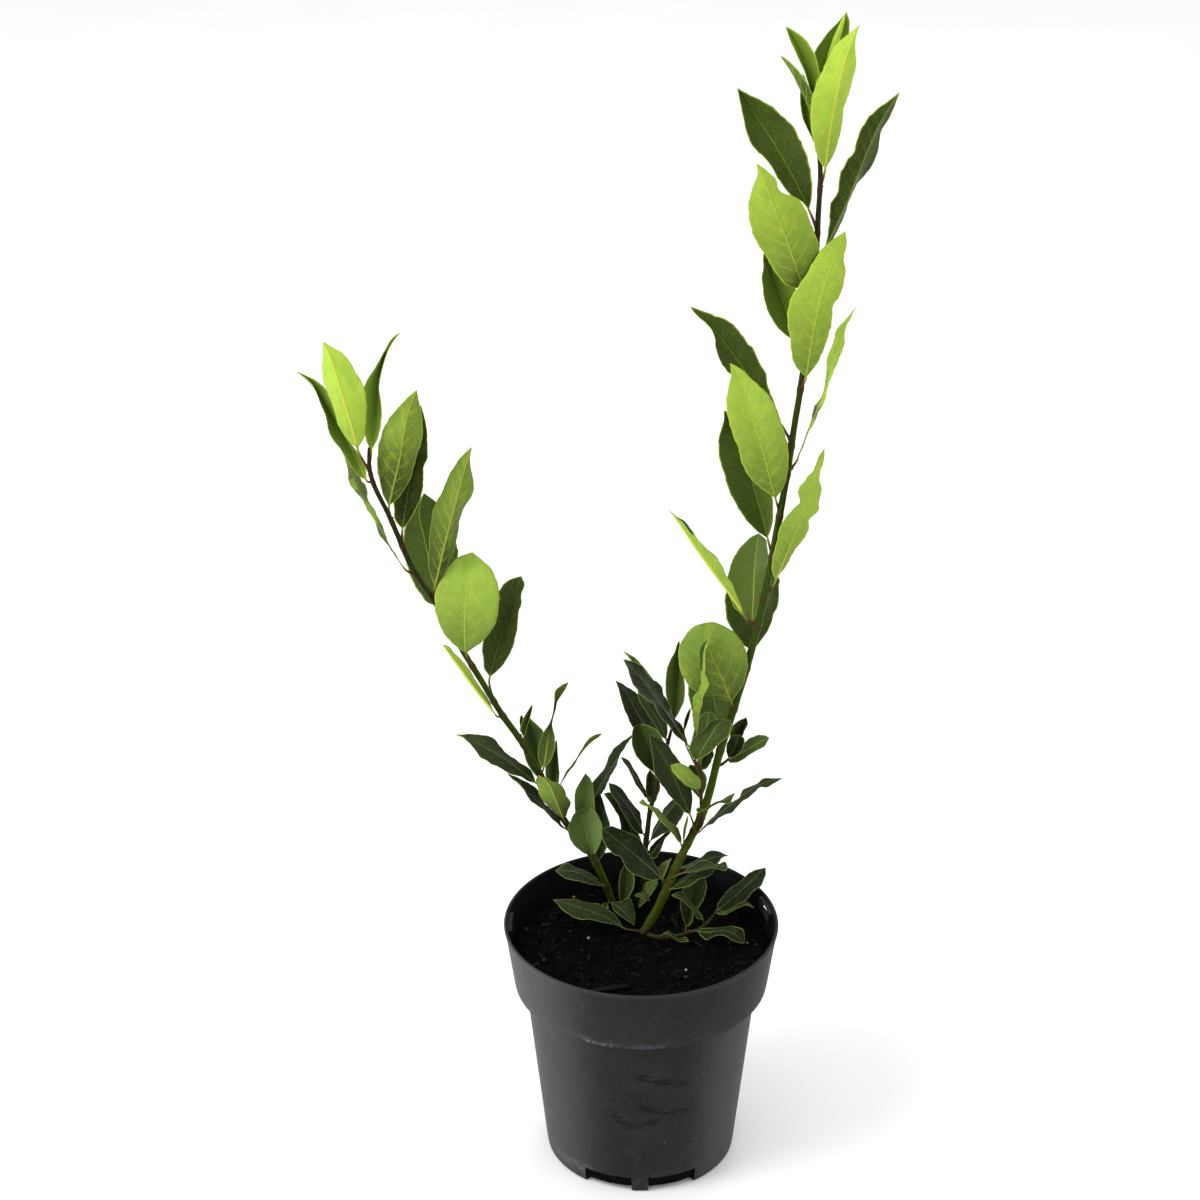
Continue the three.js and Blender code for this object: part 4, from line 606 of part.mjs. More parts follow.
// a block bent round the pot's axis, used to cut slots and drain openings
function sectorBlock(r0, r1, a0, a1, z0, z1) {
  const s = new THREE.Shape(), steps = 5;
  for (let i = 0; i <= steps; i++) {
    const a = (a0 + (a1 - a0) * i / steps) * deg;
    if (i === 0) s.moveTo(r1 * Math.cos(a), r1 * Math.sin(a)); else s.lineTo(r1 * Math.cos(a), r1 * Math.sin(a));
  }
  for (let i = steps; i >= 0; i--) {
    const a = (a0 + (a1 - a0) * i / steps) * deg;
    s.lineTo(r0 * Math.cos(a), r0 * Math.sin(a));
  }
  s.closePath();
  const g = new THREE.ExtrudeGeometry(s, { depth: z1 - z0, bevelEnabled: false });
  g.translate(0, 0, z0);
  return g;
}

function lathe(points, segments) {
  const g = new THREE.LatheGeometry(points.map((p) => new THREE.Vector2(p[0], p[1])), segments);
  g.rotateX(Math.PI / 2);        // the profile's height becomes +Z
  return orient(g);
}

// weld the seam and the poles, drop empty triangles and face outwards
function orient(geometry) {
  let g = geometry.clone();
  g.deleteAttribute('normal');
  g.deleteAttribute('uv');
  g = mergeVertices(g, 1e-4);
  const p = g.attributes.position.array, src = g.index.array, idx = [];
  for (let i = 0; i < src.length; i += 3) {
    const [a, b, c] = [src[i], src[i + 1], src[i + 2]];
    if (a !== b && b !== c && a !== c) idx.push(a, b, c);
  }
  return fromArrays(Array.from(p), idx);
}

// ---------------------------------------------------------------- pot
const innerFoot = FOOT_RADIUS - WALL;
const innerBody = BODY_TOP_RADIUS - WALL - 0.1;
const innerBand = BAND_BOTTOM_RADIUS - WALL;
const potProfile = [
  [0, 0], [FOOT_RADIUS - 1.0, 0], [FOOT_RADIUS, 1.0],
  [BODY_TOP_RADIUS, BAND_BOTTOM_Z], [BAND_BOTTOM_RADIUS, BAND_BOTTOM_Z],
  [RIM_RADIUS - 0.9, RIM_HEIGHT - 3.4], [RIM_RADIUS, RIM_HEIGHT - 2.4], [RIM_RADIUS + 0.1, RIM_HEIGHT - 1.1],
  [RIM_RADIUS - 0.4, RIM_HEIGHT - 0.2], [RIM_RADIUS - 1.3, RIM_HEIGHT], [RIM_RADIUS - 2.1, RIM_HEIGHT - 0.7],
  [RIM_RADIUS - 2.4, RIM_HEIGHT - 3.4],
  [innerBand, BAND_BOTTOM_Z + WALL], [innerBody, BAND_BOTTOM_Z + WALL - 0.1],
  [innerFoot, FLOOR], [0, FLOOR],
];
let pot = toManifold(lathe(potProfile, POT_SEGMENTS));
for (const mid of DRAINS_DEG) {
  const w = DRAIN_WIDTH_DEG / 2;
  pot = pot.subtract(toManifold(sectorBlock(DRAIN_INNER_RADIUS, FOOT_RADIUS + 8, mid - w, mid + w, -2, DRAIN_HEIGHT)));
}
for (const [a0, a1] of SLOTS_DEG)
  pot = pot.subtract(toManifold(sectorBlock(RIM_RADIUS - 12, RIM_RADIUS + 8, a0, a1, SLOT_Z[0], SLOT_Z[1])));

// ---------------------------------------------------------------- soil
const soilProfile = [
  [0, FLOOR + GAP], [innerFoot - GAP, FLOOR + GAP],
  [innerBody - GAP, BAND_BOTTOM_Z + WALL + GAP], [innerBand - GAP, BAND_BOTTOM_Z + WALL + GAP],
  [94.0, 164.5], [91.5, SOIL_Z], [60, SOIL_Z - 0.6], [30, SOIL_Z - 0.2], [0, SOIL_Z],
];
let soil = toManifold(lathe(soilProfile, 48));
for (const name of ['right_stem', 'left_stem', 'centre_stem', 'low_branch']) {
  const [foot, next] = STEMS[name];
  const r = foot[3] + 1.3;
  const hole = new THREE.CylinderGeometry(r, r, 30, 16);
  hole.rotateX(Math.PI / 2);
  hole.translate(next[0], next[1], foot[2] - 0.5 + 15);
  soil = soil.subtract(toManifold(orient(hole)));
}

// ---------------------------------------------------------------- assembly
const group = new THREE.Group();
group.name = 'bay_laurel_in_pot';
const add = (name, geometry, material) => {
  const mesh = new THREE.Mesh(geometry, material);
  mesh.name = name;
  group.add(mesh);
};
const mat = (color, roughness) => new THREE.MeshStandardMaterial({ color, roughness, metalness: 0 });
const leafColour = (leaf) => {
  const dark = new THREE.Color(leaf.side === 'B' ? 0x6f8a3a : 0x26381c);
  const light = new THREE.Color(leaf.side === 'B' ? 0xa6c64a : 0x4f7a28);
  return dark.lerp(light, leaf.tone);
};

add('pot', fromManifold(pot), mat(0x3a3b3d, 0.55));
add('soil', fromManifold(soil), mat(0x14110e, 0.98));

const STEM_COLOURS = {
  right_stem: 0x4a5a24, left_stem: 0x46562a, centre_stem: 0x4c5228,
  low_branch: 0x4f5330, inner_sprig: 0x5d4a2c, side_twig: 0x4a3a26,
};
for (const [name, pts] of Object.entries(STEMS)) {
  let m = toManifold(stemTube(pts));
  for (const leaf of LEAVES.filter((l) => l.on === name && !l.own)) m = m.add(toManifold(leafSolid(leaf)));
  add(name, fromManifold(m), mat(STEM_COLOURS[name], 0.6));
}
for (const leaf of LEAVES.filter((l) => l.own)) add(leaf.name, leafSolid(leaf), mat(leafColour(leaf), 0.45));

export default group;
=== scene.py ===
import math

import bmesh
import bpy
import numpy as np
from mathutils import Matrix, Vector


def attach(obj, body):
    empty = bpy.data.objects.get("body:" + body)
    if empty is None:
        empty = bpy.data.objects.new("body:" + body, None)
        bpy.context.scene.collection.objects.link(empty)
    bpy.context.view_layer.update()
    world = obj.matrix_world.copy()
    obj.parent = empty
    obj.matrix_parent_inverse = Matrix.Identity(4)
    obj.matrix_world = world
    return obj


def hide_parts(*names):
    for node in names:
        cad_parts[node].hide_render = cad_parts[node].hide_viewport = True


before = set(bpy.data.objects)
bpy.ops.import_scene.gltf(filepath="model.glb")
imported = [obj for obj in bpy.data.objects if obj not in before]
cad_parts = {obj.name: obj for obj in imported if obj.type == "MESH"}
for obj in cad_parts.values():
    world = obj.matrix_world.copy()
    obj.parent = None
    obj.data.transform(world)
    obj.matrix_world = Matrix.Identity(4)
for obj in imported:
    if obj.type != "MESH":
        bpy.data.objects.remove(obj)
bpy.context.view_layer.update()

# ------------------------------------------------------------------ tables, millimetres
# how light each leaf is painted, pale towards 1 and dark towards 0: partly its age, young and pale or old and dark, and
# partly painted light and shade for how lit each leaf sits on the plant
TONES = {
    "leaf_r01": 0.9, "leaf_r01b": 0.7, "leaf_r02": 0.8, "leaf_r03": 0.0, "leaf_r04": 0.7, "leaf_r05": 0.2,
    "leaf_r06": 0.9, "leaf_r07": 0.1, "leaf_r08": 0.4, "leaf_r09": 0.5, "leaf_r10": 0.5, "leaf_r11": 0.2,
    "leaf_r12": 0.5, "leaf_r13": 0.7, "leaf_r14": 0.3, "leaf_r15": 0.6, "leaf_r16": 1.0, "leaf_r17": 0.6,
    "leaf_r18": 0.2, "leaf_r19": 0.3, "leaf_r20": 0.5, "leaf_r21": 0.3, "leaf_r22": 0.4, "leaf_r23": 0.2,
    "leaf_r24a": 0.1, "leaf_r24b": 0.0, "leaf_r24c": 0.4, "leaf_r25": 0.6, "leaf_r26": 0.1, "leaf_r27": 0.4,
    "leaf_r28": 0.2, "leaf_f1": 0.2, "leaf_e1": 0.3, "leaf_e2": 0.0, "leaf_c07": 0.1, "leaf_k1": 0.0,
    "leaf_k2": 0.1, "leaf_k2b": 0.1, "leaf_g2": 0.0, "leaf_k0": 0.0, "leaf_l01": 1.0, "leaf_l02": 1.0,
    "leaf_l03": 0.8, "leaf_l04": 0.2, "leaf_l05": 0.1, "leaf_l06": 0.2, "leaf_l07": 0.3, "leaf_l09": 0.6,
    "leaf_l10": 0.6, "leaf_l11": 0.2, "leaf_l12": 1.1, "leaf_m01": 0.1, "leaf_m02": 0.0, "leaf_m03": 0.3,
    "leaf_m05": 0.5, "leaf_m06": 0.7, "leaf_m07": 0.5, "leaf_m08": 0.4, "leaf_m08b": 0.3, "leaf_m09": 0.2,
    "leaf_g01": 0.9, "leaf_d04": 1.1, "leaf_d02": 0.2, "leaf_d05": 0.4, "leaf_h01": 0.1, "leaf_h02": 0.1,
    "leaf_h03": 0.1, "leaf_h04": 0.5, "leaf_c01": 0.8, "leaf_c02": 0.0, "leaf_c03": 0.0, "leaf_c04": 0.1,
    "leaf_c05": 0.5, "leaf_d01": 0.1, "leaf_c06": 0.3, "leaf_d03": 0.0, "leaf_d06": 0.2, "leaf_g03": 0.0,
    "leaf_g03b": 0.1, "leaf_g04": 0.1, "leaf_g05": 0.0, "leaf_h05": 0.2, "leaf_h06": 0.0, "leaf_h07": 0.2,
    "leaf_k03": 0.2, "leaf_k04": 0.1, "leaf_k05": 0.0, "leaf_k06": 0.3, "leaf_k07": 0.0, "leaf_k08": 0.0,
}


# leaf: name, stem, side seen from the front (A upper, B under), tone, wave, own node,
# stalk start, stem radius there, then midrib, left margin and right margin at 13 stations
LEAVES = [
    ("leaf_r01","right_stem","A",0.35,1.0,1,[107.7,-4.0,799.1],1.1,[107.3,1.8,800.7,108.3,7.2,804.3,109.5,12.0,808.0,110.8,16.3,811.8,112.2,20.0,815.8,113.8,23.2,819.8,115.3,25.8,824.0,117.1,27.8,828.3,119.1,29.2,832.5,121.4,30.0,836.8,123.7,30.2,841.2,125.9,29.9,845.7,128.2,29.0,850.3],[107.3,1.8,800.7,105.7,3.3,805.5,104.5,5.5,810.4,105.3,8.1,815.0,106.2,10.6,819.4,107.0,13.2,824.0,108.2,15.7,828.6,111.1,17.9,832.6,114.4,20.0,836.6,117.7,21.9,840.3,121.1,23.6,843.5,124.8,26.0,846.9,128.2,29.0,850.3],[107.3,1.8,800.7,110.2,3.0,804.7,113.2,4.9,808.8,116.0,7.4,812.3,118.7,10.2,816.1,121.4,13.2,819.8,124.0,16.2,823.6,126.1,19.1,827.1,128.3,21.6,830.7,129.6,23.7,835.2,130.2,25.2,840.0,130.0,26.9,845.1,128.2,29.0,850.3]),
    ("leaf_r01b","right_stem","B",0.85,1.0,0,[107.7,-4.0,799.1],1.1,[110.5,-1.6,802.3,111.8,-0.4,806.6,113.1,1.0,810.9,114.3,2.7,815.1,115.6,4.5,819.2,116.9,6.6,823.3,118.2,8.9,827.3,119.6,11.5,831.3,121.0,14.2,835.2,122.6,17.2,839.0,124.2,20.4,842.8,126.0,23.7,846.4,127.7,27.4,850.1],[110.5,-1.6,802.3,110.9,1.5,806.3,111.7,4.3,810.4,112.6,6.9,814.5,113.7,9.3,818.6,114.9,11.8,822.7,116.2,14.2,826.8,117.6,16.7,830.8,119.1,19.1,834.8,120.9,21.5,838.7,123.0,23.8,842.6,125.1,25.8,846.4,127.7,27.4,850.1],[110.5,-1.6,802.3,112.9,1.3,805.8,114.8,3.9,809.5,116.5,6.4,813.4,118.1,8.8,817.3,119.6,11.2,821.3,121.0,13.6,825.4,122.3,16.1,829.4,123.5,18.5,833.4,124.8,21.0,837.5,126.0,23.4,841.6,127.1,25.5,845.8,127.7,27.4,850.1]),
    ("leaf_r02","right_stem","A",0.75,1.0,1,[107.7,-4.0,799.1],1.1,[106.5,0.1,803.7,105.6,1.1,807.4,104.7,2.1,811.1,103.7,3.2,814.7,102.5,4.4,818.3,101.2,5.7,821.7,99.8,7.0,825.2,98.4,8.4,828.6,96.9,9.8,831.9,95.2,11.4,835.1,93.3,12.9,838.2,91.2,14.5,841.2,89.2,16.2,844.2],[106.5,0.1,803.7,105.0,-2.6,808.3,103.6,-4.3,812.6,102.3,-4.9,816.5,101.0,-4.8,820.3,99.3,-4.3,823.8,97.6,-3.3,827.1,95.9,-1.8,830.3,94.3,0.3,833.4,92.7,2.9,836.3,91.2,6.2,839.1,90.2,10.6,841.8,89.2,16.2,844.2],[106.5,0.1,803.7,107.7,-2.3,808.7,109.1,-3.0,813.4,110.4,-2.6,817.6,109.8,-1.9,821.9,108.9,-0.9,826.1,107.5,0.3,829.9,105.4,1.7,833.5,103.2,3.4,836.7,100.1,5.6,839.7,96.7,8.1,841.9,93.0,11.6,843.4,89.2,16.2,844.2]),
    ("leaf_r03","right_stem","B",0.6,1.0,1,[109.0,-3.7,789.8],1.22,[105.8,-2.6,793.4,105.0,-2.2,796.7,103.6,-1.6,799.9,102.2,-1.0,803.0,100.7,-0.3,806.0,99.1,0.3,809.0,97.4,1.0,811.9,95.6,1.8,814.8,93.8,2.5,817.6,91.9,3.3,820.4,89.8,4.1,823.0,87.8,5.0,825.7,85.7,5.9,828.3],[105.8,-2.6,793.4,104.6,0.7,795.6,102.9,3.4,798.0,101.6,5.4,800.7,100.3,7.0,803.6,98.9,8.3,806.5,97.4,9.2,809.5,95.9,9.8,812.6,94.2,10.1,815.6,92.4,10.0,818.7,90.3,9.4,821.8,88.0,8.1,824.9,85.7,5.9,828.3],[105.8,-2.6,793.4,105.3,-5.0,797.7,106.2,-6.1,802.1,106.3,-6.6,806.1,104.9,-6.8,809.7,103.4,-6.6,813.2,101.5,-6.2,816.1,99.3,-5.3,818.9,96.7,-4.2,821.3,94.3,-2.5,823.8,91.7,-0.4,825.8,88.9,2.4,827.5,85.7,5.9,828.3]),
    ("leaf_r04","right_stem","B",0.95,1.0,1,[113.0,-2.0,742.7],1.67,[115.7,-4.2,757.1,116.2,-7.5,766.2,116.7,-10.0,775.0,117.4,-11.9,783.6,118.4,-13.2,791.9,119.6,-13.7,800.0,121.0,-13.6,807.7,122.6,-12.7,815.3,124.3,-11.2,822.6,126.2,-9.0,829.7,128.5,-6.1,836.5,131.4,-2.6,842.9,134.7,1.6,849.0],[115.7,-4.2,757.1,110.5,-7.3,766.0,107.7,-9.8,775.4,105.7,-11.7,784.6,104.7,-12.5,793.7,105.0,-12.7,802.6,106.3,-12.4,810.7,109.3,-10.3,818.3,112.9,-6.9,824.8,116.4,-3.7,832.0,121.3,-0.8,838.4,128.4,1.2,843.4,134.7,1.6,849.0],[115.7,-4.2,757.1,119.7,-3.6,764.4,122.4,-3.5,772.0,124.3,-3.4,779.9,125.5,-3.3,787.5,126.1,-2.9,795.5,127.9,-2.5,803.2,130.3,-2.1,810.7,132.1,-1.4,818.3,133.0,-0.4,826.0,132.4,0.8,833.7,132.6,1.6,841.5,134.7,1.6,849.0]),
    ("leaf_r05","right_stem","A",0.4,1.0,1,[112.3,-1.0,713.8],1.78,[107.1,10.1,725.6,103.9,14.5,731.5,100.6,18.5,737.4,97.1,22.3,743.4,93.5,25.7,749.3,89.6,28.8,755.2,85.7,31.7,761.2,81.6,34.2,767.2,77.3,36.4,773.2,73.1,38.4,779.2,68.9,40.1,785.4,64.6,41.4,791.5,60.1,42.5,797.6],[107.1,10.1,725.6,101.6,9.1,732.1,94.3,8.7,736.7,89.3,9.9,742.7,85.3,11.4,748.9,81.3,13.6,755.2,76.0,16.7,760.4,70.5,20.1,764.6,67.0,23.4,770.9,65.0,26.5,777.9,63.1,30.3,785.1,61.7,35.6,791.6,60.1,42.5,797.6],[107.1,10.1,725.6,108.8,11.7,734.1,108.9,14.6,742.0,108.0,18.7,749.4,106.1,23.1,756.6,103.2,27.4,763.5,99.7,32.1,769.5,95.4,35.8,776.0,88.9,35.6,781.7,82.7,35.2,787.2,75.4,35.8,791.5,67.4,37.7,794.7,60.1,42.5,797.6]),
    ("leaf_r06","right_stem","A",0.2,1.0,0,[111.4,-3.0,771.1],1.46,[108.0,6.1,774.1,106.6,7.7,776.9,105.3,9.2,779.9,104.4,10.6,783.0,103.6,11.8,786.2,103.0,12.9,789.4,102.5,13.8,792.7,102.1,14.6,796.1,101.8,15.2,799.6,101.6,15.7,803.0,101.4,15.9,806.6,101.2,16.1,810.1,101.0,16.0,813.7],[108.0,6.1,774.1,106.1,4.7,777.7,104.2,3.9,781.2,102.6,3.8,784.5,101.1,4.1,787.9,100.2,4.6,791.3,99.6,5.4,794.7,99.2,6.4,798.1,99.1,7.5,801.5,99.3,9.0,804.7,99.7,10.7,807.9,100.2,13.0,810.9,101.0,16.0,813.7],[108.0,6.1,774.1,108.1,4.9,778.1,107.8,4.4,782.0,107.5,4.3,785.4,107.2,4.7,789.0,106.8,5.3,792.4,106.4,6.0,795.8,105.9,6.9,798.9,105.3,8.0,802.2,104.7,9.3,805.3,103.8,11.0,808.4,102.6,13.2,811.3,101.0,16.0,813.7]),
    ("leaf_r07","right_stem","A",0.3,1.0,1,[111.9,-0.3,694.2],1.86,[118.0,9.7,698.7,122.2,13.8,706.3,126.4,17.7,714.0,130.4,21.6,721.8,134.1,25.4,729.7,137.6,29.1,737.8,141.0,32.7,745.9,144.4,36.1,754.1,148.0,39.4,762.2,151.8,42.5,770.2,156.2,45.4,778.0,161.1,48.0,785.6,166.3,50.4,792.9],[118.0,9.7,698.7,119.9,14.3,707.4,121.4,18.7,716.2,121.6,23.1,725.2,126.7,26.8,732.9,127.4,30.9,741.9,131.7,34.3,749.6,136.7,37.6,757.4,139.8,41.1,766.1,143.8,44.4,774.5,150.4,46.9,781.3,158.6,48.8,787.2,166.3,50.4,792.9],[118.0,9.7,698.7,124.3,17.9,704.0,128.8,25.1,710.7,132.9,31.0,718.0,135.5,36.4,726.0,140.5,40.7,733.4,146.3,44.1,740.4,151.9,46.9,747.7,154.2,49.6,756.6,155.4,51.7,765.8,160.0,52.5,774.1,163.7,52.1,783.2,166.3,50.4,792.9]),
    ("leaf_r08","right_stem","B",0.6,1.0,1,[110.4,1.6,664.3],1.96,[104.0,-2.5,676.1,101.5,-5.3,684.4,99.0,-7.5,692.5,96.4,-9.1,700.2,93.7,-10.2,707.7,91.0,-10.7,714.9,88.2,-10.6,721.9,85.5,-9.9,728.6,82.9,-8.6,735.2,80.5,-6.7,741.7,78.1,-4.2,747.9,75.2,-1.1,753.7,72.0,2.4,759.2],[104.0,-2.5,676.1,93.6,-7.5,680.1,87.6,-8.8,686.6,83.3,-7.4,692.5,79.5,-5.9,699.2,74.9,-6.6,706.1,70.9,-7.4,713.5,68.5,-6.4,720.9,67.4,-4.0,728.1,67.7,-0.6,735.5,69.8,2.6,742.7,73.1,3.9,750.9,72.0,2.4,759.2],[104.0,-2.5,676.1,109.0,-4.7,685.4,111.9,-6.2,694.6,113.2,-7.2,703.5,111.8,-7.8,712.0,108.6,-8.0,719.8,105.5,-7.7,727.4,102.1,-6.7,734.6,96.1,-6.2,739.8,87.5,-5.9,742.9,84.7,-3.1,749.8,78.8,-0.4,755.1,72.0,2.4,759.2]),
    ("leaf_r09","right_stem","B",0.75,1.0,1,[104.8,6.2,603.1],2.13,[107.9,-0.2,613.6,108.6,-5.3,624.4,109.4,-9.5,634.8,110.2,-12.7,644.7,111.3,-14.9,654.1,112.7,-16.3,663.2,114.3,-16.7,671.8,116.3,-16.1,679.9,118.6,-14.6,687.6,121.2,-12.2,695.0,124.0,-8.7,701.9,127.1,-4.4,708.4,130.5,1.0,714.5],[107.9,-0.2,613.6,100.1,-5.6,624.2,97.0,-9.4,635.3,95.9,-12.3,645.9,93.9,-14.2,656.4,93.7,-15.0,666.5,96.0,-15.2,675.5,100.9,-14.6,683.6,106.0,-13.1,691.2,110.1,-10.6,698.6,115.4,-7.2,705.4,122.6,-3.5,710.4,130.5,1.0,714.5],[107.9,-0.2,613.6,113.2,-4.3,622.7,117.0,-7.8,631.9,119.5,-10.4,641.4,121.8,-12.1,650.6,122.9,-12.9,659.4,123.2,-13.0,668.3,127.6,-13.1,675.9,129.6,-12.2,683.7,130.6,-9.8,691.6,129.4,-6.6,699.3,131.3,-3.1,706.7,130.5,1.0,714.5]),
    ("leaf_r10","right_stem","A",0.15,1.0,1,[108.0,3.9,633.9],2.05,[103.2,10.2,633.3,101.3,13.4,637.7,99.4,16.3,642.1,97.4,19.0,646.6,95.4,21.4,651.2,93.3,23.5,655.9,91.2,25.4,660.7,89.1,27.0,665.6,87.0,28.3,670.5,85.0,29.4,675.6,83.1,30.2,680.8,81.3,30.8,686.1,79.5,31.1,691.5],[103.2,10.2,633.3,97.8,7.9,637.9,92.5,7.2,641.9,88.3,7.9,646.2,85.0,8.8,650.8,82.2,10.0,655.9,80.3,11.3,661.1,79.1,12.9,666.7,78.4,14.9,672.2,77.9,17.5,677.5,79.0,20.9,682.5,78.7,25.4,687.2,79.5,31.1,691.5],[103.2,10.2,633.3,105.2,9.3,640.3,105.6,9.4,646.5,105.3,10.5,652.3,104.4,11.9,658.0,103.0,13.5,663.3,101.1,15.2,668.3,98.7,17.1,673.3,95.9,19.1,677.8,92.6,21.3,682.2,89.1,23.7,686.0,84.9,26.9,689.3,79.5,31.1,691.5]),
    ("leaf_r11","right_stem","A",0.35,1.0,1,[100.1,9.3,561.2],2.25,[94.1,19.6,571.2,89.7,23.7,577.4,85.1,27.7,583.5,80.3,31.4,589.6,75.2,34.9,595.6,70.1,38.2,601.6,65.1,41.4,607.8,60.1,44.5,614.0,54.9,47.3,620.2,49.5,49.9,626.2,43.6,52.2,632.0,37.6,54.2,637.7,31.4,56.0,643.3],[94.1,19.6,571.2,86.1,17.1,577.4,80.5,16.8,584.3,74.8,17.8,591.0,69.2,19.5,597.5,63.3,21.7,603.5,56.8,24.0,608.8,51.9,27.3,614.6,49.1,31.7,621.7,47.8,37.1,629.3,43.7,42.6,635.4,36.7,48.2,638.8,31.4,56.0,643.3],[94.1,19.6,571.2,91.4,24.3,578.7,88.3,28.9,586.0,85.2,33.1,593.0,83.2,37.7,601.3,79.5,41.5,608.2,75.3,45.2,615.4,70.1,48.3,621.7,64.5,51.3,628.2,58.0,53.8,634.0,49.1,54.7,637.2,40.1,55.6,640.5,31.4,56.0,643.3]),
    ("leaf_r12","right_stem","B",0.7,1.0,1,[93.7,13.2,507.7],2.4,[90.3,9.0,522.2,87.8,5.8,532.1,85.3,3.4,541.6,83.0,1.7,550.8,80.7,0.7,559.6,78.3,0.4,568.1,75.9,0.9,576.1,73.5,2.1,583.9,71.1,4.0,591.4,68.6,6.7,598.4,65.8,10.1,605.1,62.2,14.0,611.1,58.1,18.6,616.6],[90.3,9.0,522.2,82.2,4.8,530.0,75.0,1.3,537.7,69.5,-0.8,546.0,65.8,-1.8,554.9,64.1,-2.0,563.5,60.7,-1.7,571.4,58.1,-0.3,579.5,56.1,1.8,587.2,55.4,4.7,594.6,56.7,8.5,602.1,58.5,13.2,609.6,58.1,18.6,616.6],[90.3,9.0,522.2,95.8,6.3,532.7,97.5,4.3,543.1,98.1,3.0,553.4,97.4,1.9,563.1,95.2,1.2,572.4,92.4,1.4,581.0,89.2,2.6,589.1,85.3,4.6,597.0,79.3,6.6,603.4,72.2,9.5,608.8,65.9,13.8,613.8,58.1,18.6,616.6]),
    ("leaf_r13","right_stem","B",0.7,1.0,1,[98.1,10.9,539.9],2.31,[104.7,12.3,549.6,107.9,10.7,559.7,111.1,9.4,569.6,114.3,8.6,579.3,117.8,8.1,588.7,120.8,8.0,598.0,123.0,8.4,607.3,124.8,9.3,616.6,126.9,10.6,625.6,129.5,12.2,634.4,132.7,14.2,642.8,136.8,16.4,650.6,141.6,18.9,658.0],[104.7,12.3,549.6,107.8,14.9,558.4,111.2,16.6,567.4,113.6,17.4,576.0,115.6,18.5,585.6,121.2,18.8,593.8,122.6,19.6,603.4,122.8,20.5,613.3,124.4,21.2,622.9,127.0,21.7,632.4,130.3,21.8,641.5,136.4,20.6,649.3,141.6,18.9,658.0],[104.7,12.3,549.6,107.9,6.6,561.2,111.0,2.4,572.3,114.5,-0.4,582.5,118.7,-2.3,591.9,121.4,-3.1,601.5,123.6,-2.9,611.0,126.6,-1.9,619.8,130.2,-0.1,628.1,132.6,2.8,636.4,133.7,6.8,644.6,137.0,12.1,651.8,141.6,18.9,658.0]),
    ("leaf_r14","right_stem","A",0.2,1.0,1,[89.3,15.3,475.0],2.49,[86.5,26.5,484.5,84.7,30.9,490.8,82.8,35.1,497.3,80.5,38.9,503.8,78.3,42.4,510.5,76.2,45.6,517.4,74.1,48.5,524.3,71.7,51.1,531.4,69.0,53.3,538.5,66.0,55.1,545.5,62.7,56.6,552.7,59.3,57.7,559.8,55.8,58.5,567.1],[86.5,26.5,484.5,78.8,25.7,490.5,72.7,26.6,496.6,67.7,28.6,503.0,63.4,31.3,509.7,59.6,34.3,516.5,57.1,37.3,523.4,54.9,40.6,530.3,52.7,43.9,536.7,51.9,46.5,544.2,52.5,48.4,552.4,55.4,52.1,560.7,55.8,58.5,567.1],[86.5,26.5,484.5,89.2,25.9,493.8,90.0,26.7,502.6,89.6,28.6,510.9,88.7,30.7,518.6,87.2,33.3,526.5,85.2,36.0,533.7,82.5,39.0,541.0,78.8,42.2,547.8,74.4,45.5,554.1,69.2,49.0,559.7,63.2,53.4,564.2,55.8,58.5,567.1]),
    ("leaf_r15","right_stem","B",0.6,1.6,1,[84.6,17.3,441.8],2.58,[92.1,14.5,457.6,94.9,11.6,467.3,97.6,9.4,476.6,100.4,7.9,485.6,103.2,7.0,494.2,106.1,6.9,502.4,108.9,7.5,510.3,111.6,8.8,517.9,114.2,10.9,525.3,116.7,13.7,532.4,119.1,17.2,539.2,121.4,21.5,545.7,123.7,26.5,552.0],[92.1,14.5,457.6,88.9,11.3,468.9,89.4,7.3,480.1,91.2,3.9,490.7,92.5,2.2,500.1,94.9,0.9,509.4,100.6,-1.1,516.9,105.1,-0.6,524.2,105.7,2.6,531.5,109.5,6.5,537.9,115.8,10.7,542.4,118.5,17.8,548.1,123.7,26.5,552.0],[92.1,14.5,457.6,96.6,15.4,465.0,101.2,15.8,472.5,104.7,16.1,480.7,110.0,16.0,487.7,113.5,16.6,495.7,115.2,17.5,504.1,120.2,18.1,511.1,121.6,19.8,519.3,121.1,21.8,527.5,120.9,23.8,535.7,123.4,25.3,543.6,123.7,26.5,552.0]),
    ("leaf_r16","right_stem","B",0.7,1.5,1,[80.6,18.7,419.6],2.64,[71.3,14.7,430.1,66.8,12.5,438.3,62.3,11.2,446.1,57.7,10.6,453.3,53.1,10.7,460.1,48.4,11.6,466.5,43.8,13.4,472.5,39.3,16.0,478.1,34.9,19.4,483.5,30.5,23.6,488.5,26.2,28.7,493.2,21.6,34.5,497.4,16.9,41.1,501.2],[71.3,14.7,430.1,66.5,15.1,436.7,61.9,15.7,443.5,57.4,16.4,450.1,52.6,17.3,456.5,47.8,18.7,462.6,43.3,20.7,468.6,38.8,23.1,474.3,34.3,26.1,479.9,30.1,29.4,485.5,25.9,33.3,490.8,21.5,37.2,496.0,16.9,41.1,501.2],[71.3,14.7,430.1,68.7,15.7,438.0,65.5,16.7,445.6,62.6,17.9,453.2,58.1,18.9,459.9,54.8,20.7,467.0,50.3,22.8,473.2,44.1,24.7,477.8,38.7,27.4,482.9,34.2,30.9,488.4,29.4,34.6,493.5,22.7,37.6,496.7,16.9,41.1,501.2]),
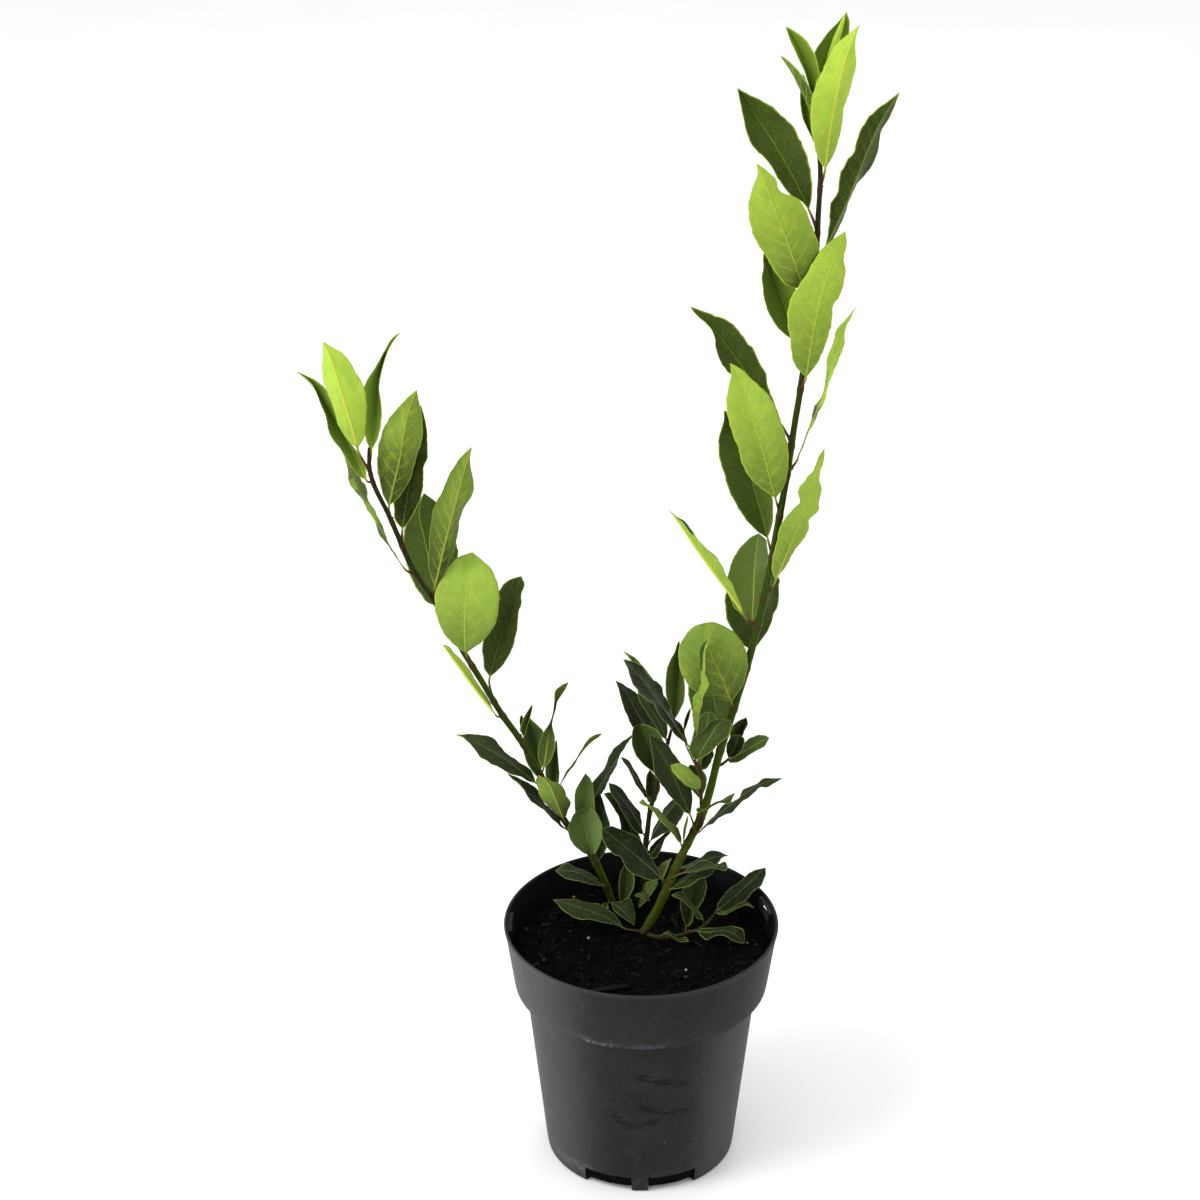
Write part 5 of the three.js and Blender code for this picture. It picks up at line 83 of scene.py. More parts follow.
    ("leaf_r17","right_stem","A",0.5,1.0,1,[80.6,18.7,419.6],2.64,[76.9,22.7,422.0,77.2,25.2,426.5,77.5,27.6,431.1,77.8,29.8,435.8,78.0,32.0,440.6,78.1,33.9,445.4,78.2,35.8,450.3,78.4,37.5,455.2,78.7,39.0,460.2,79.1,40.4,465.3,79.6,41.7,470.4,80.3,42.8,475.5,81.1,43.7,480.7],[76.9,22.7,422.0,70.4,21.6,427.5,65.4,22.8,432.4,62.2,25.2,437.0,60.0,27.2,442.0,59.2,28.2,447.8,59.8,28.7,454.3,61.0,29.5,460.5,63.1,30.9,466.2,65.9,32.7,471.3,69.8,35.1,475.7,74.7,38.8,479.2,81.1,43.7,480.7],[76.9,22.7,422.0,80.3,30.6,423.2,82.1,37.1,426.1,83.9,42.0,429.7,85.2,45.9,433.9,86.3,48.9,438.3,87.3,51.2,443.3,88.0,52.7,448.5,88.5,53.2,454.1,88.6,52.7,460.2,88.1,50.9,466.9,86.6,47.9,473.9,81.1,43.7,480.7]),
    ("leaf_r18","right_stem","A",0.1,1.0,1,[73.4,20.7,386.2],2.73,[78.9,34.4,393.8,79.2,39.6,396.8,79.4,44.2,400.2,79.7,48.2,403.8,80.0,51.5,407.8,80.3,54.2,412.2,80.6,56.2,416.8,81.1,57.6,421.7,81.8,58.3,426.9,82.7,58.4,432.3,83.5,57.8,438.1,84.4,56.6,444.1,85.2,54.7,450.4],[78.9,34.4,393.8,71.7,34.8,397.8,67.6,37.1,402.8,63.7,40.9,406.8,60.5,45.6,410.8,59.2,50.8,415.0,58.5,55.9,419.8,58.7,58.9,425.3,61.1,59.4,431.8,65.8,57.0,438.3,71.9,53.3,443.8,78.3,52.4,447.8,85.2,54.7,450.4],[78.9,34.4,393.8,82.3,33.5,399.7,85.8,33.7,404.9,89.0,35.3,409.8,91.3,37.2,414.6,92.4,39.4,419.4,95.0,42.1,423.7,96.5,44.9,428.0,96.4,47.1,432.5,96.5,50.3,436.9,96.8,53.1,441.6,90.6,54.2,447.9,85.2,54.7,450.4]),
    ("leaf_r19","right_stem","B",0.55,1.0,1,[65.3,22.7,352.5],2.81,[63.4,16.6,361.8,61.3,14.5,368.2,59.3,13.0,374.2,57.3,11.9,380.0,55.2,11.4,385.5,53.0,11.3,390.7,50.8,11.7,395.5,48.7,12.6,400.1,46.6,14.0,404.5,45.0,16.0,408.8,44.1,18.6,412.8,44.4,21.7,416.6,45.4,25.4,420.3],[63.4,16.6,361.8,55.7,14.3,365.4,47.5,11.5,368.4,40.7,9.3,372.2,34.9,8.0,376.9,30.9,8.0,382.5,28.0,8.7,387.9,26.0,10.5,394.2,25.3,12.9,400.4,26.5,16.4,407.2,30.8,20.1,413.5,37.0,23.4,418.4,45.4,25.4,420.3],[63.4,16.6,361.8,66.8,13.9,369.2,71.0,12.9,377.5,72.9,12.4,384.8,74.0,12.6,391.6,73.9,13.3,397.9,72.7,14.6,403.8,70.6,16.0,408.6,67.5,17.7,412.6,64.4,19.3,415.3,61.8,20.7,417.1,51.7,23.4,421.0,45.4,25.4,420.3]),
    ("leaf_r20","inner_sprig","B",0.6,1.0,1,[39.5,9.2,330.0],0.82,[39.3,9.3,340.3,39.8,6.0,349.1,40.4,3.4,357.4,40.9,1.4,365.4,41.6,0.2,372.9,42.4,-0.4,380.0,43.0,-0.3,386.8,43.2,0.4,393.2,43.4,1.9,399.3,44.0,4.1,405.0,45.1,7.0,410.2,46.7,10.5,415.0,48.6,14.7,419.4],[39.3,9.3,340.3,36.2,7.7,348.0,36.1,7.3,355.6,35.9,6.9,362.8,36.1,6.7,370.1,39.9,6.7,376.4,41.6,7.1,382.8,41.3,7.9,389.7,40.9,9.0,396.4,40.6,10.4,402.9,41.5,12.0,408.9,46.4,13.1,413.5,48.6,14.7,419.4],[39.3,9.3,340.3,39.9,3.3,350.6,40.5,-1.3,360.0,41.6,-4.5,368.6,42.8,-6.6,376.5,45.0,-7.8,383.6,46.2,-7.9,390.4,44.6,-7.0,396.6,43.6,-5.1,402.4,43.9,-2.0,407.8,45.0,2.1,412.5,46.8,7.6,416.3,48.6,14.7,419.4]),
    ("leaf_r21","right_stem","A",0.1,1.0,0,[56.4,23.7,318.9],2.89,[56.8,37.2,321.7,56.2,41.4,324.0,55.6,45.2,326.5,55.0,48.6,329.3,54.3,51.6,332.3,53.5,54.1,335.5,52.7,56.3,338.9,51.8,58.0,342.6,50.9,59.2,346.4,49.8,60.1,350.4,48.5,60.4,354.6,47.1,60.4,359.0,45.5,59.8,363.5],[56.8,37.2,321.7,50.1,37.3,323.5,46.1,38.7,326.7,42.8,40.7,329.7,39.9,43.5,332.6,37.4,46.8,335.6,35.6,50.6,338.7,34.5,54.6,341.6,33.5,57.7,345.0,33.2,59.1,349.1,34.1,59.0,354.2,40.7,59.2,361.0,45.5,59.8,363.5],[56.8,37.2,321.7,59.4,36.6,326.8,61.6,37.2,331.5,62.7,38.8,335.6,63.8,41.0,339.7,64.1,43.3,343.6,64.1,45.7,347.7,62.2,47.5,351.4,60.0,49.1,355.0,57.1,50.9,358.3,53.6,53.1,361.2,49.5,56.0,362.7,45.5,59.8,363.5]),
    ("leaf_r22","inner_sprig","A",0.3,1.0,0,[42.5,12.0,304.5],1.12,[41.8,16.6,310.8,42.2,18.3,313.5,42.7,20.0,316.3,43.2,21.5,319.1,43.7,22.8,322.0,44.2,24.1,324.9,44.8,25.2,327.9,45.4,26.2,331.0,46.0,27.1,334.1,46.6,27.9,337.3,47.1,28.5,340.6,47.5,29.1,343.9,48.0,29.5,347.3],[41.8,16.6,310.8,39.8,14.8,315.4,37.8,14.0,319.5,36.9,14.2,323.4,36.4,14.9,327.2,35.9,16.0,330.8,36.5,17.2,334.3,37.2,18.7,337.4,37.9,20.4,340.1,39.1,22.4,342.8,41.7,24.5,345.7,44.4,26.9,347.4,48.0,29.5,347.3],[41.8,16.6,310.8,43.6,21.9,311.6,45.4,26.1,313.0,47.1,29.2,314.9,48.9,31.7,317.3,50.6,33.6,319.9,52.3,34.8,323.0,53.2,35.2,325.7,53.6,35.3,329.6,53.8,34.8,333.8,53.2,34.3,339.6,51.5,32.6,344.2,48.0,29.5,347.3]),
    ("leaf_r23","inner_sprig","A",0.15,1.4,1,[41.3,11.0,313.7],1.03,[40.0,2.7,322.7,40.9,1.1,327.2,42.1,-0.3,331.2,43.7,-1.2,334.9,45.4,-1.7,338.3,47.1,-1.8,341.5,48.8,-1.4,344.5,50.4,-0.5,347.3,52.0,0.7,349.8,54.0,2.2,351.5,56.6,3.8,352.3,59.7,5.6,352.4,63.0,7.7,352.1],[40.0,2.7,322.7,35.9,3.6,324.0,32.9,5.7,329.6,34.0,7.7,333.1,36.2,9.9,335.6,39.1,11.5,337.8,42.0,12.2,340.1,44.9,12.8,342.9,47.0,13.5,346.5,50.3,13.7,349.2,55.1,12.6,350.0,59.0,10.9,351.3,63.0,7.7,352.1],[40.0,2.7,322.7,42.6,-4.2,328.4,45.3,-9.3,333.1,47.6,-12.7,337.3,50.0,-14.9,340.8,52.3,-16.1,343.9,54.7,-16.2,346.3,57.0,-14.9,348.2,59.3,-12.4,349.4,61.3,-8.9,350.4,62.5,-4.9,351.7,63.3,0.5,352.4,63.0,7.7,352.1]),
    ("leaf_r24a","side_twig","A",0.1,1.0,0,[61.5,31.2,306.7],0.85,[63.8,36.3,307.5,64.6,38.6,309.0,65.3,40.8,310.5,66.1,42.9,312.2,66.9,44.8,313.9,67.8,46.5,315.7,68.9,48.1,317.5,70.0,49.5,319.4,71.1,50.7,321.3,72.2,51.8,323.3,73.4,52.7,325.4,74.7,53.5,327.5,75.9,54.1,329.7],[63.8,36.3,307.5,63.7,36.0,310.8,63.7,36.5,313.8,63.6,37.4,316.5,63.6,38.7,319.1,63.5,40.1,321.5,64.0,41.8,323.8,64.9,43.8,325.8,65.9,45.8,327.7,68.1,47.4,328.9,70.5,49.1,329.9,73.2,51.2,330.0,75.9,54.1,329.7],[63.8,36.3,307.5,65.2,35.8,310.3,66.5,36.0,312.7,67.9,36.7,314.9,69.3,37.7,316.9,70.7,38.9,318.8,72.1,40.3,320.6,73.4,41.8,322.3,74.2,43.6,324.2,75.5,45.6,325.7,76.7,47.8,327.2,76.5,50.6,328.7,75.9,54.1,329.7]),
    ("leaf_r24b","side_twig","A",0.15,1.0,0,[61.8,31.5,306.7],0.83,[63.0,27.5,310.4,63.7,27.5,311.9,64.3,27.7,313.4,65.0,28.0,314.8,65.7,28.3,316.2,66.3,28.8,317.5,66.9,29.4,318.8,67.6,30.1,320.0,68.2,30.9,321.2,68.6,31.9,322.4,69.0,32.9,323.5,69.3,34.1,324.6,69.5,35.3,325.6],[63.0,27.5,310.4,61.9,30.3,310.6,61.4,32.6,311.5,60.8,34.1,312.7,60.9,35.4,314.1,61.0,36.4,315.8,61.3,37.2,317.5,62.2,37.8,319.1,63.1,38.1,320.9,64.1,38.3,322.7,65.9,38.1,323.4,67.7,37.2,324.3,69.5,35.3,325.6],[63.0,27.5,310.4,64.9,24.4,312.6,66.6,22.5,314.7,68.3,21.4,316.6,70.0,20.9,318.2,71.2,21.1,320.0,72.4,21.8,321.5,73.0,23.0,323.1,73.5,24.7,324.5,73.6,26.8,325.7,72.9,29.1,326.7,71.2,31.7,326.4,69.5,35.3,325.6]),
    ("leaf_r24c","side_twig","A",0.15,1.0,0,[62.0,31.7,306.8],0.82,[63.4,32.4,305.9,65.8,33.6,306.9,68.1,34.8,308.0,70.5,36.0,309.0,72.9,37.1,310.0,75.3,38.3,310.9,77.7,39.4,311.9,80.1,40.6,312.9,82.5,41.7,313.9,84.9,42.9,314.9,87.4,44.0,315.8,89.9,45.1,316.5,92.5,46.0,317.1],[63.4,32.4,305.9,65.3,37.0,306.2,67.3,40.8,307.0,69.4,43.7,308.1,71.5,46.2,309.4,73.6,48.3,311.0,75.8,49.8,312.7,78.3,50.7,314.4,81.1,51.1,315.7,84.0,51.2,317.0,87.1,50.6,317.2,90.1,49.0,317.5,92.5,46.0,317.1],[63.4,32.4,305.9,63.3,30.0,305.5,66.4,28.4,306.4,69.5,27.5,307.7,72.4,27.5,309.3,75.1,28.2,310.9,77.7,29.4,312.4,80.4,30.9,313.6,83.1,32.7,314.6,86.1,34.8,315.0,89.0,37.5,315.4,90.8,41.3,316.5,92.5,46.0,317.1]),
    ("leaf_r25","inner_sprig","B",0.7,1.0,0,[43.0,14.7,281.4],1.24,[39.1,4.0,297.4,37.7,2.8,300.1,36.4,1.8,302.6,35.1,1.2,305.0,33.7,0.7,307.1,32.2,0.6,309.1,30.7,0.7,310.8,29.2,1.0,312.4,27.6,1.6,313.7,25.9,2.4,314.8,24.1,3.4,315.6,22.3,4.6,316.2,20.4,6.1,316.5],[39.1,4.0,297.4,36.9,-0.9,301.1,34.7,-4.5,304.1,32.7,-7.1,306.6,30.6,-8.8,308.7,28.9,-9.6,310.8,27.3,-9.7,312.7,25.7,-9.1,314.2,24.2,-7.9,315.4,22.9,-6.0,316.2,21.6,-3.2,316.8,21.0,0.9,317.0,20.4,6.1,316.5],[39.1,4.0,297.4,41.8,4.9,298.2,42.4,6.3,300.6,42.1,7.8,303.2,40.3,9.2,305.0,38.0,10.2,306.5,36.2,10.9,308.7,34.2,11.3,310.9,31.8,11.5,312.9,29.1,11.1,314.2,26.2,10.4,315.3,23.3,8.6,315.8,20.4,6.1,316.5]),
    ("leaf_r26","right_stem","A",0.25,1.5,1,[38.3,22.1,252.7],3.05,[41.9,23.7,251.2,46.5,27.5,253.8,51.2,31.0,256.4,55.9,34.4,259.1,60.8,37.4,261.8,65.7,40.3,264.5,70.5,43.0,267.5,75.3,45.6,270.5,80.4,47.7,273.3,85.7,49.5,275.7,91.4,50.7,277.6,97.3,51.6,279.2,103.3,52.2,280.7],[41.9,23.7,251.2,46.0,31.3,252.5,50.6,37.6,254.1,55.1,42.8,256.5,58.8,47.5,259.7,64.9,50.2,260.4,70.1,53.1,263.2,74.5,55.8,267.1,79.6,57.5,270.5,85.2,58.2,273.7,90.9,58.1,277.0,97.1,55.7,278.4,103.3,52.2,280.7],[41.9,23.7,251.2,46.6,23.9,255.7,51.9,24.5,258.9,56.8,26.1,262.1,62.4,27.6,264.3,67.7,29.6,266.7,71.6,32.4,270.6,76.6,35.0,273.3,81.6,37.9,275.8,86.2,41.2,278.7,92.3,43.6,278.6,98.1,47.2,279.4,103.3,52.2,280.7]),
    ("leaf_r27","inner_sprig","A",0.1,1.0,0,[42.7,12.2,302.4],1.13,[42.6,19.0,305.4,43.0,21.8,305.6,43.5,24.3,306.0,43.9,26.7,306.6,44.3,28.7,307.2,44.8,30.5,308.0,45.3,32.1,309.0,45.8,33.4,310.0,46.4,34.4,311.2,46.9,35.2,312.5,47.5,35.8,314.0,48.0,36.1,315.6,48.5,36.1,317.3],[42.6,19.0,305.4,42.6,19.1,307.2,42.6,19.8,308.8,42.6,20.9,310.1,42.8,22.1,311.3,43.1,23.5,312.5,43.5,24.9,313.6,43.8,26.4,314.6,44.3,28.0,315.6,45.4,29.5,316.3,46.4,31.2,316.9,47.4,33.4,317.2,48.5,36.1,317.3],[42.6,19.0,305.4,44.6,18.6,305.9,46.5,18.9,306.5,47.7,20.0,307.7,48.9,21.4,308.8,50.0,22.9,309.9,50.5,24.7,311.1,51.5,26.2,312.3,52.0,27.9,313.6,51.4,29.4,315.0,50.5,31.1,316.2,49.5,33.3,316.9,48.5,36.1,317.3]),
    ("leaf_r28","right_stem","A",0.1,1.0,0,[46.2,22.7,274.1],2.99,[42.5,30.1,275.2,42.0,35.3,274.6,41.6,40.0,274.4,41.1,44.1,274.5,40.6,47.7,274.9,40.1,50.6,275.7,39.5,53.0,276.7,38.9,54.7,278.1,38.2,55.9,279.9,37.5,56.5,281.9,36.8,56.6,284.3,36.1,56.0,287.0,35.4,54.9,290.0],[42.5,30.1,275.2,40.9,31.9,276.1,39.4,34.1,276.9,37.8,36.6,277.5,36.5,39.0,278.3,35.8,41.4,279.5,35.1,43.7,280.9,34.3,45.7,282.3,33.8,47.5,283.9,33.5,49.3,285.6,33.3,50.9,287.4,34.0,52.7,288.9,35.4,54.9,290.0],[42.5,30.1,275.2,43.8,32.2,276.7,45.2,34.9,278.0,46.5,37.9,279.1,47.1,41.1,280.5,47.4,44.2,281.9,47.7,47.2,283.4,46.7,49.4,285.1,45.0,51.0,286.7,43.3,52.3,288.5,40.8,52.9,289.6,38.1,53.5,290.0,35.4,54.9,290.0]),
    ("leaf_f1","right_stem","A",0.4,1.0,0,[42.7,22.4,263.3],3.02,[40.7,11.9,273.9,42.9,9.7,276.8,45.0,7.8,279.4,47.2,6.4,281.7,49.4,5.3,283.7,51.7,4.7,285.4,54.0,4.4,286.7,56.4,4.4,287.7,58.9,4.9,288.4,61.2,5.9,289.0,63.5,7.4,289.6,65.5,9.5,290.2,67.4,12.1,290.8],[40.7,11.9,273.9,39.1,10.9,277.4,40.8,11.3,278.9,43.8,11.3,278.7,46.6,10.9,279.3,49.2,10.7,281.0,51.7,10.8,282.7,54.2,11.0,284.2,56.9,11.2,285.4,59.5,11.6,286.8,62.1,12.0,288.1,64.7,12.2,289.4,67.4,12.1,290.8],[40.7,11.9,273.9,43.2,7.1,277.9,45.8,3.3,281.1,48.3,0.8,284.0,50.5,-0.8,286.9,52.7,-1.7,289.3,55.3,-2.1,290.7,58.1,-2.2,290.8,60.9,-2.0,289.8,63.6,-0.6,289.1,64.5,2.6,290.4,65.8,6.8,291.0,67.4,12.1,290.8]),
    ("leaf_e1","right_stem","B",0.45,1.0,1,[29.2,21.6,231.6],3.1,[28.8,18.7,244.0,27.1,18.0,248.2,25.1,17.6,252.2,23.0,17.5,255.7,20.6,17.8,258.9,18.1,18.4,261.8,15.7,19.4,264.4,13.2,20.7,266.8,10.5,22.4,268.8,7.6,24.3,270.4,4.6,26.5,271.5,1.3,28.7,271.7,-2.2,31.1,271.0],[28.8,18.7,244.0,26.1,14.6,249.2,24.1,12.1,254.2,21.9,10.5,258.2,19.2,9.7,261.6,16.4,9.7,264.6,14.1,10.5,267.3,11.9,12.0,269.8,9.6,14.3,271.7,7.1,17.3,272.9,4.4,20.9,273.3,1.0,25.2,272.3,-2.2,31.1,271.0],[28.8,18.7,244.0,29.1,21.3,247.3,27.9,23.4,250.7,26.2,25.0,254.1,22.9,26.0,256.4,19.5,26.9,258.6,16.9,28.2,261.4,14.4,29.5,264.1,11.5,30.7,266.6,7.7,31.3,267.9,4.2,31.8,269.6,0.9,32.8,273.2,-2.2,31.1,271.0]),
    ("leaf_e2","right_stem","B",0.5,1.0,0,[33.7,21.9,242.2],3.07,[30.7,17.5,247.2,30.9,17.3,249.2,31.0,17.1,251.1,31.2,17.0,253.0,31.4,17.0,254.8,31.6,17.1,256.6,31.9,17.3,258.3,32.2,17.6,259.9,32.6,18.0,261.5,32.9,18.5,263.0,33.2,19.1,264.5,33.6,19.8,265.9,33.9,20.5,267.2],[30.7,17.5,247.2,30.5,19.4,248.0,30.5,20.8,249.0,30.6,21.7,250.4,30.7,22.4,251.8,30.8,22.9,253.4,31.1,23.2,255.0,31.4,23.4,256.8,31.8,23.4,258.6,32.3,23.2,260.5,32.7,22.8,262.5,33.3,22.0,264.7,33.9,20.5,267.2],[30.7,17.5,247.2,31.2,15.1,250.4,31.6,13.4,253.2,31.9,12.3,255.6,32.2,11.6,257.8,32.4,11.4,259.8,32.7,11.4,261.6,33.0,11.9,263.1,33.3,12.6,264.5,33.6,13.8,265.6,33.8,15.4,266.6,33.9,17.6,267.1,33.9,20.5,267.2]),
    ("leaf_c07","right_stem","A",0.15,1.0,1,[38.3,22.1,252.7],3.05,[35.2,15.8,270.0,33.0,17.8,274.5,30.9,20.0,279.0,28.8,22.4,283.3,26.7,25.0,287.5,24.5,27.9,291.6,22.1,31.0,295.4,19.5,34.2,299.0,16.8,37.6,302.5,14.1,41.3,305.8,11.3,45.2,308.9,8.5,49.3,312.0,5.8,53.7,315.0],[35.2,15.8,270.0,30.1,11.3,276.2,26.2,9.1,282.3,22.5,8.6,287.4,19.0,9.2,292.1,15.8,10.8,296.1,12.6,13.4,299.9,9.8,16.8,303.2,8.5,21.6,306.7,8.3,27.5,309.9,7.4,34.5,312.7,6.2,43.1,314.3,5.8,53.7,315.0],[35.2,15.8,270.0,36.5,24.0,272.3,37.2,30.7,275.3,36.9,36.2,279.0,35.9,40.8,282.8,34.2,45.0,287.0,31.2,48.5,290.9,27.5,51.4,294.7,24.1,54.0,298.9,21.2,56.0,303.4,16.9,56.8,307.2,12.0,56.3,311.4,5.8,53.7,315.0]),
    ("leaf_k1","right_stem","A",0.2,1.0,0,[25.0,21.3,220.7],3.2,[32.9,32.3,215.5,35.5,34.8,215.3,38.1,37.1,215.2,40.7,39.2,215.2,43.3,41.0,215.3,46.0,42.5,215.5,48.6,43.8,215.7,51.3,44.8,216.1,54.0,45.5,216.5,56.7,45.9,217.0,59.4,46.0,217.5,62.2,45.9,218.1,64.9,45.5,218.8],[32.9,32.3,215.5,29.5,35.7,213.7,32.7,41.6,212.1,36.0,46.6,211.0,39.3,50.0,211.0,42.5,52.4,211.5,45.5,54.4,212.8,47.9,56.0,214.9,51.3,56.4,216.2,54.9,55.5,216.8,58.4,53.4,217.0,61.5,49.9,217.2,64.9,45.5,218.8],[32.9,32.3,215.5,35.6,30.4,215.2,38.3,29.3,214.4,41.3,29.4,214.9,44.2,30.0,215.4,47.1,30.7,215.6,49.9,31.9,216.1,52.7,33.2,216.8,55.4,34.8,217.3,57.6,36.9,218.4,59.2,39.5,219.9,61.8,42.3,220.0,64.9,45.5,218.8]),
    ("leaf_k2","right_stem","A",0.35,0.8,1,[20.9,21.1,209.7],3.3,[24.8,16.1,218.6,27.8,15.7,220.3,30.9,15.0,221.8,34.0,14.5,223.2,37.2,14.1,224.4,40.4,13.9,225.5,43.6,13.9,226.3,46.8,14.0,227.0,50.0,14.3,227.5,53.2,14.7,227.7,56.5,15.2,227.5,59.8,15.8,227.2,63.1,16.7,226.8],[24.8,16.1,218.6,27.9,17.5,220.0,31.1,19.4,220.3,34.4,21.3,221.8,37.5,22.3,223.8,40.5,23.1,226.0,43.7,23.5,227.9,47.5,23.2,227.6,51.0,22.3,226.3,54.3,21.0,225.1,57.8,20.4,227.0,61.3,19.3,229.1,63.1,16.7,226.8],[24.8,16.1,218.6,27.9,13.0,222.0,31.3,10.4,224.5,34.6,8.5,226.4,38.0,7.3,227.9,41.4,6.5,229.0,44.8,6.3,229.9,48.2,6.6,230.6,51.6,7.5,231.0,55.0,8.3,229.8,58.3,9.8,227.5,61.8,12.6,225.5,63.1,16.7,226.8]),
    ("leaf_k2b","right_stem","A",0.3,1.0,0,[20.9,21.1,209.7],3.3,[21.1,14.6,207.8,23.6,15.0,209.7,26.2,15.5,211.5,28.9,16.0,213.2,31.6,16.5,214.8,34.3,17.2,216.3,37.0,18.0,217.7,39.8,18.8,219.1,42.6,19.8,220.3,45.4,20.7,221.3,48.3,21.6,222.0,51.4,22.4,222.3,54.6,23.3,222.4],[21.1,14.6,207.8,23.6,17.6,208.4,25.7,21.0,209.5,27.8,23.1,211.0,30.3,24.7,212.3,33.2,25.9,213.5,36.1,26.8,214.7,39.0,27.4,216.1,42.1,27.6,217.2,45.1,27.5,218.5,48.2,27.1,220.0,51.4,25.6,221.0,54.6,23.3,222.4],[21.1,14.6,207.8,24.3,11.5,210.3,27.6,9.3,212.2,30.8,8.0,213.7,34.0,7.3,215.0,37.0,7.4,216.6,39.2,8.3,218.8,41.9,9.5,220.4,45.2,10.8,220.2,48.4,12.9,219.8,51.2,15.7,220.3,53.1,19.0,221.4,54.6,23.3,222.4]),
    ("leaf_g2","right_stem","A",0.15,1.0,1,[20.9,21.1,209.7],3.3,[14.8,17.2,215.6,11.4,18.0,218.8,7.8,19.0,221.9,4.2,20.3,224.8,0.7,21.7,227.6,-2.9,23.2,230.3,-6.6,25.0,232.7,-10.4,26.9,235.0,-14.2,28.9,237.1,-17.8,31.3,239.3,-21.4,33.8,241.4,-25.2,36.4,243.1,-29.3,39.0,244.3],[14.8,17.2,215.6,8.6,11.2,217.8,3.4,7.7,221.1,-1.3,5.9,224.0,-6.0,5.3,227.2,-9.6,5.6,230.6,-12.5,7.2,234.4,-15.0,10.0,238.1,-19.8,12.7,238.9,-23.5,17.0,240.4,-26.7,22.6,241.6,-28.6,29.8,242.7,-29.3,39.0,244.3],[14.8,17.2,215.6,13.4,24.2,217.3,10.8,29.8,219.5,8.2,34.0,222.1,5.2,37.6,225.2,2.6,40.7,228.5,-0.1,43.2,232.5,-4.1,44.8,235.7,-8.5,45.6,237.5,-13.3,46.0,239.4,-18.4,45.6,241.8,-23.7,43.6,244.3,-29.3,39.0,244.3]),
    ("leaf_k0","right_stem","B",0.0,1.0,0,[16.6,20.8,198.7],3.4,[16.1,34.1,205.7,16.5,35.6,206.3,16.9,36.9,207.0,17.4,38.2,207.7,17.9,39.3,208.5,18.4,40.3,209.3,18.9,41.3,210.1,19.5,42.1,211.1,20.0,42.9,212.0,20.6,43.5,213.1,21.2,44.1,214.1,21.8,44.5,215.3,22.4,44.9,216.4],[16.1,34.1,205.7,14.5,37.6,204.6,13.4,40.5,204.5,12.6,42.7,205.0,12.3,44.5,206.0,12.2,46.2,207.1,13.5,47.7,207.8,14.7,48.8,208.7,15.9,49.4,209.9,17.6,49.2,211.0,19.2,48.5,212.3,20.8,47.1,214.1,22.4,44.9,216.4],[16.1,34.1,205.7,17.2,37.8,204.4,17.9,40.8,204.0,18.5,43.1,204.0,19.2,45.0,204.3,19.7,46.5,204.9,20.1,47.6,205.8,20.5,48.4,206.9,20.7,48.7,208.2,20.8,48.7,209.8,21.0,48.2,211.7,21.7,47.0,213.8,22.4,44.9,216.4]),
    ("leaf_l01","left_stem","B",1.0,1.0,1,[-186.8,27.6,530.9],1.46,[-195.3,28.9,549.7,-196.5,27.5,557.0,-197.7,26.4,564.1,-199.2,25.7,571.0,-200.7,25.4,577.7,-202.3,25.5,584.3,-203.9,25.9,590.6,-205.5,26.8,596.8,-207.2,28.0,602.8,-209.0,29.7,608.7,-211.2,31.7,614.2,-213.7,34.0,619.5,-216.5,36.7,624.6],[-195.3,28.9,549.7,-200.7,31.8,553.5,-205.1,33.9,558.5,-208.0,35.3,563.9,-210.1,36.8,570.0,-211.5,38.0,576.5,-213.3,38.8,582.7,-215.8,39.2,589.0,-217.7,39.4,595.6,-218.2,39.7,602.5,-217.7,39.7,609.2,-216.8,38.8,616.8,-216.5,36.7,624.6],[-195.3,28.9,549.7,-191.1,31.6,555.9,-189.6,33.7,562.7,-188.9,34.9,570.0,-188.3,35.4,577.2,-188.5,35.8,584.8,-189.9,36.7,591.5,-192.8,38.2,597.6,-196.2,39.5,603.3,-199.6,40.3,609.6,-204.4,40.7,615.1,-210.9,39.6,619.6,-216.5,36.7,624.6]),
    ("leaf_l02","left_stem","A",0.45,1.0,1,[-187.5,27.1,537.4],1.34,[-186.4,34.2,546.1,-186.3,38.3,552.1,-186.1,42.2,558.2,-185.6,45.8,564.4,-184.8,49.3,570.7,-183.8,52.4,577.1,-182.5,55.3,583.5,-181.1,58.0,589.9,-179.4,60.4,596.5,-177.4,62.5,602.9,-174.6,64.2,609.2,-170.8,65.5,615.1,-166.3,66.4,620.7],[-186.4,34.2,546.1,-189.5,33.8,553.2,-190.8,34.8,560.8,-191.5,36.7,568.2,-191.6,39.1,575.4,-191.4,42.0,582.4,-190.6,44.6,589.0,-187.3,47.0,595.3,-182.8,49.9,601.3,-179.3,53.3,607.1,-175.9,56.9,612.5,-172.1,61.5,617.6,-166.3,66.4,620.7],[-186.4,34.2,546.1,-182.4,33.9,553.4,-180.0,34.7,560.4,-178.9,36.3,567.5,-178.4,38.2,574.0,-179.3,40.6,580.7,-180.3,43.4,587.6,-179.9,46.3,594.1,-178.4,49.4,600.1,-176.4,52.8,606.1,-174.1,56.7,611.9,-170.7,61.2,616.8,-166.3,66.4,620.7]),
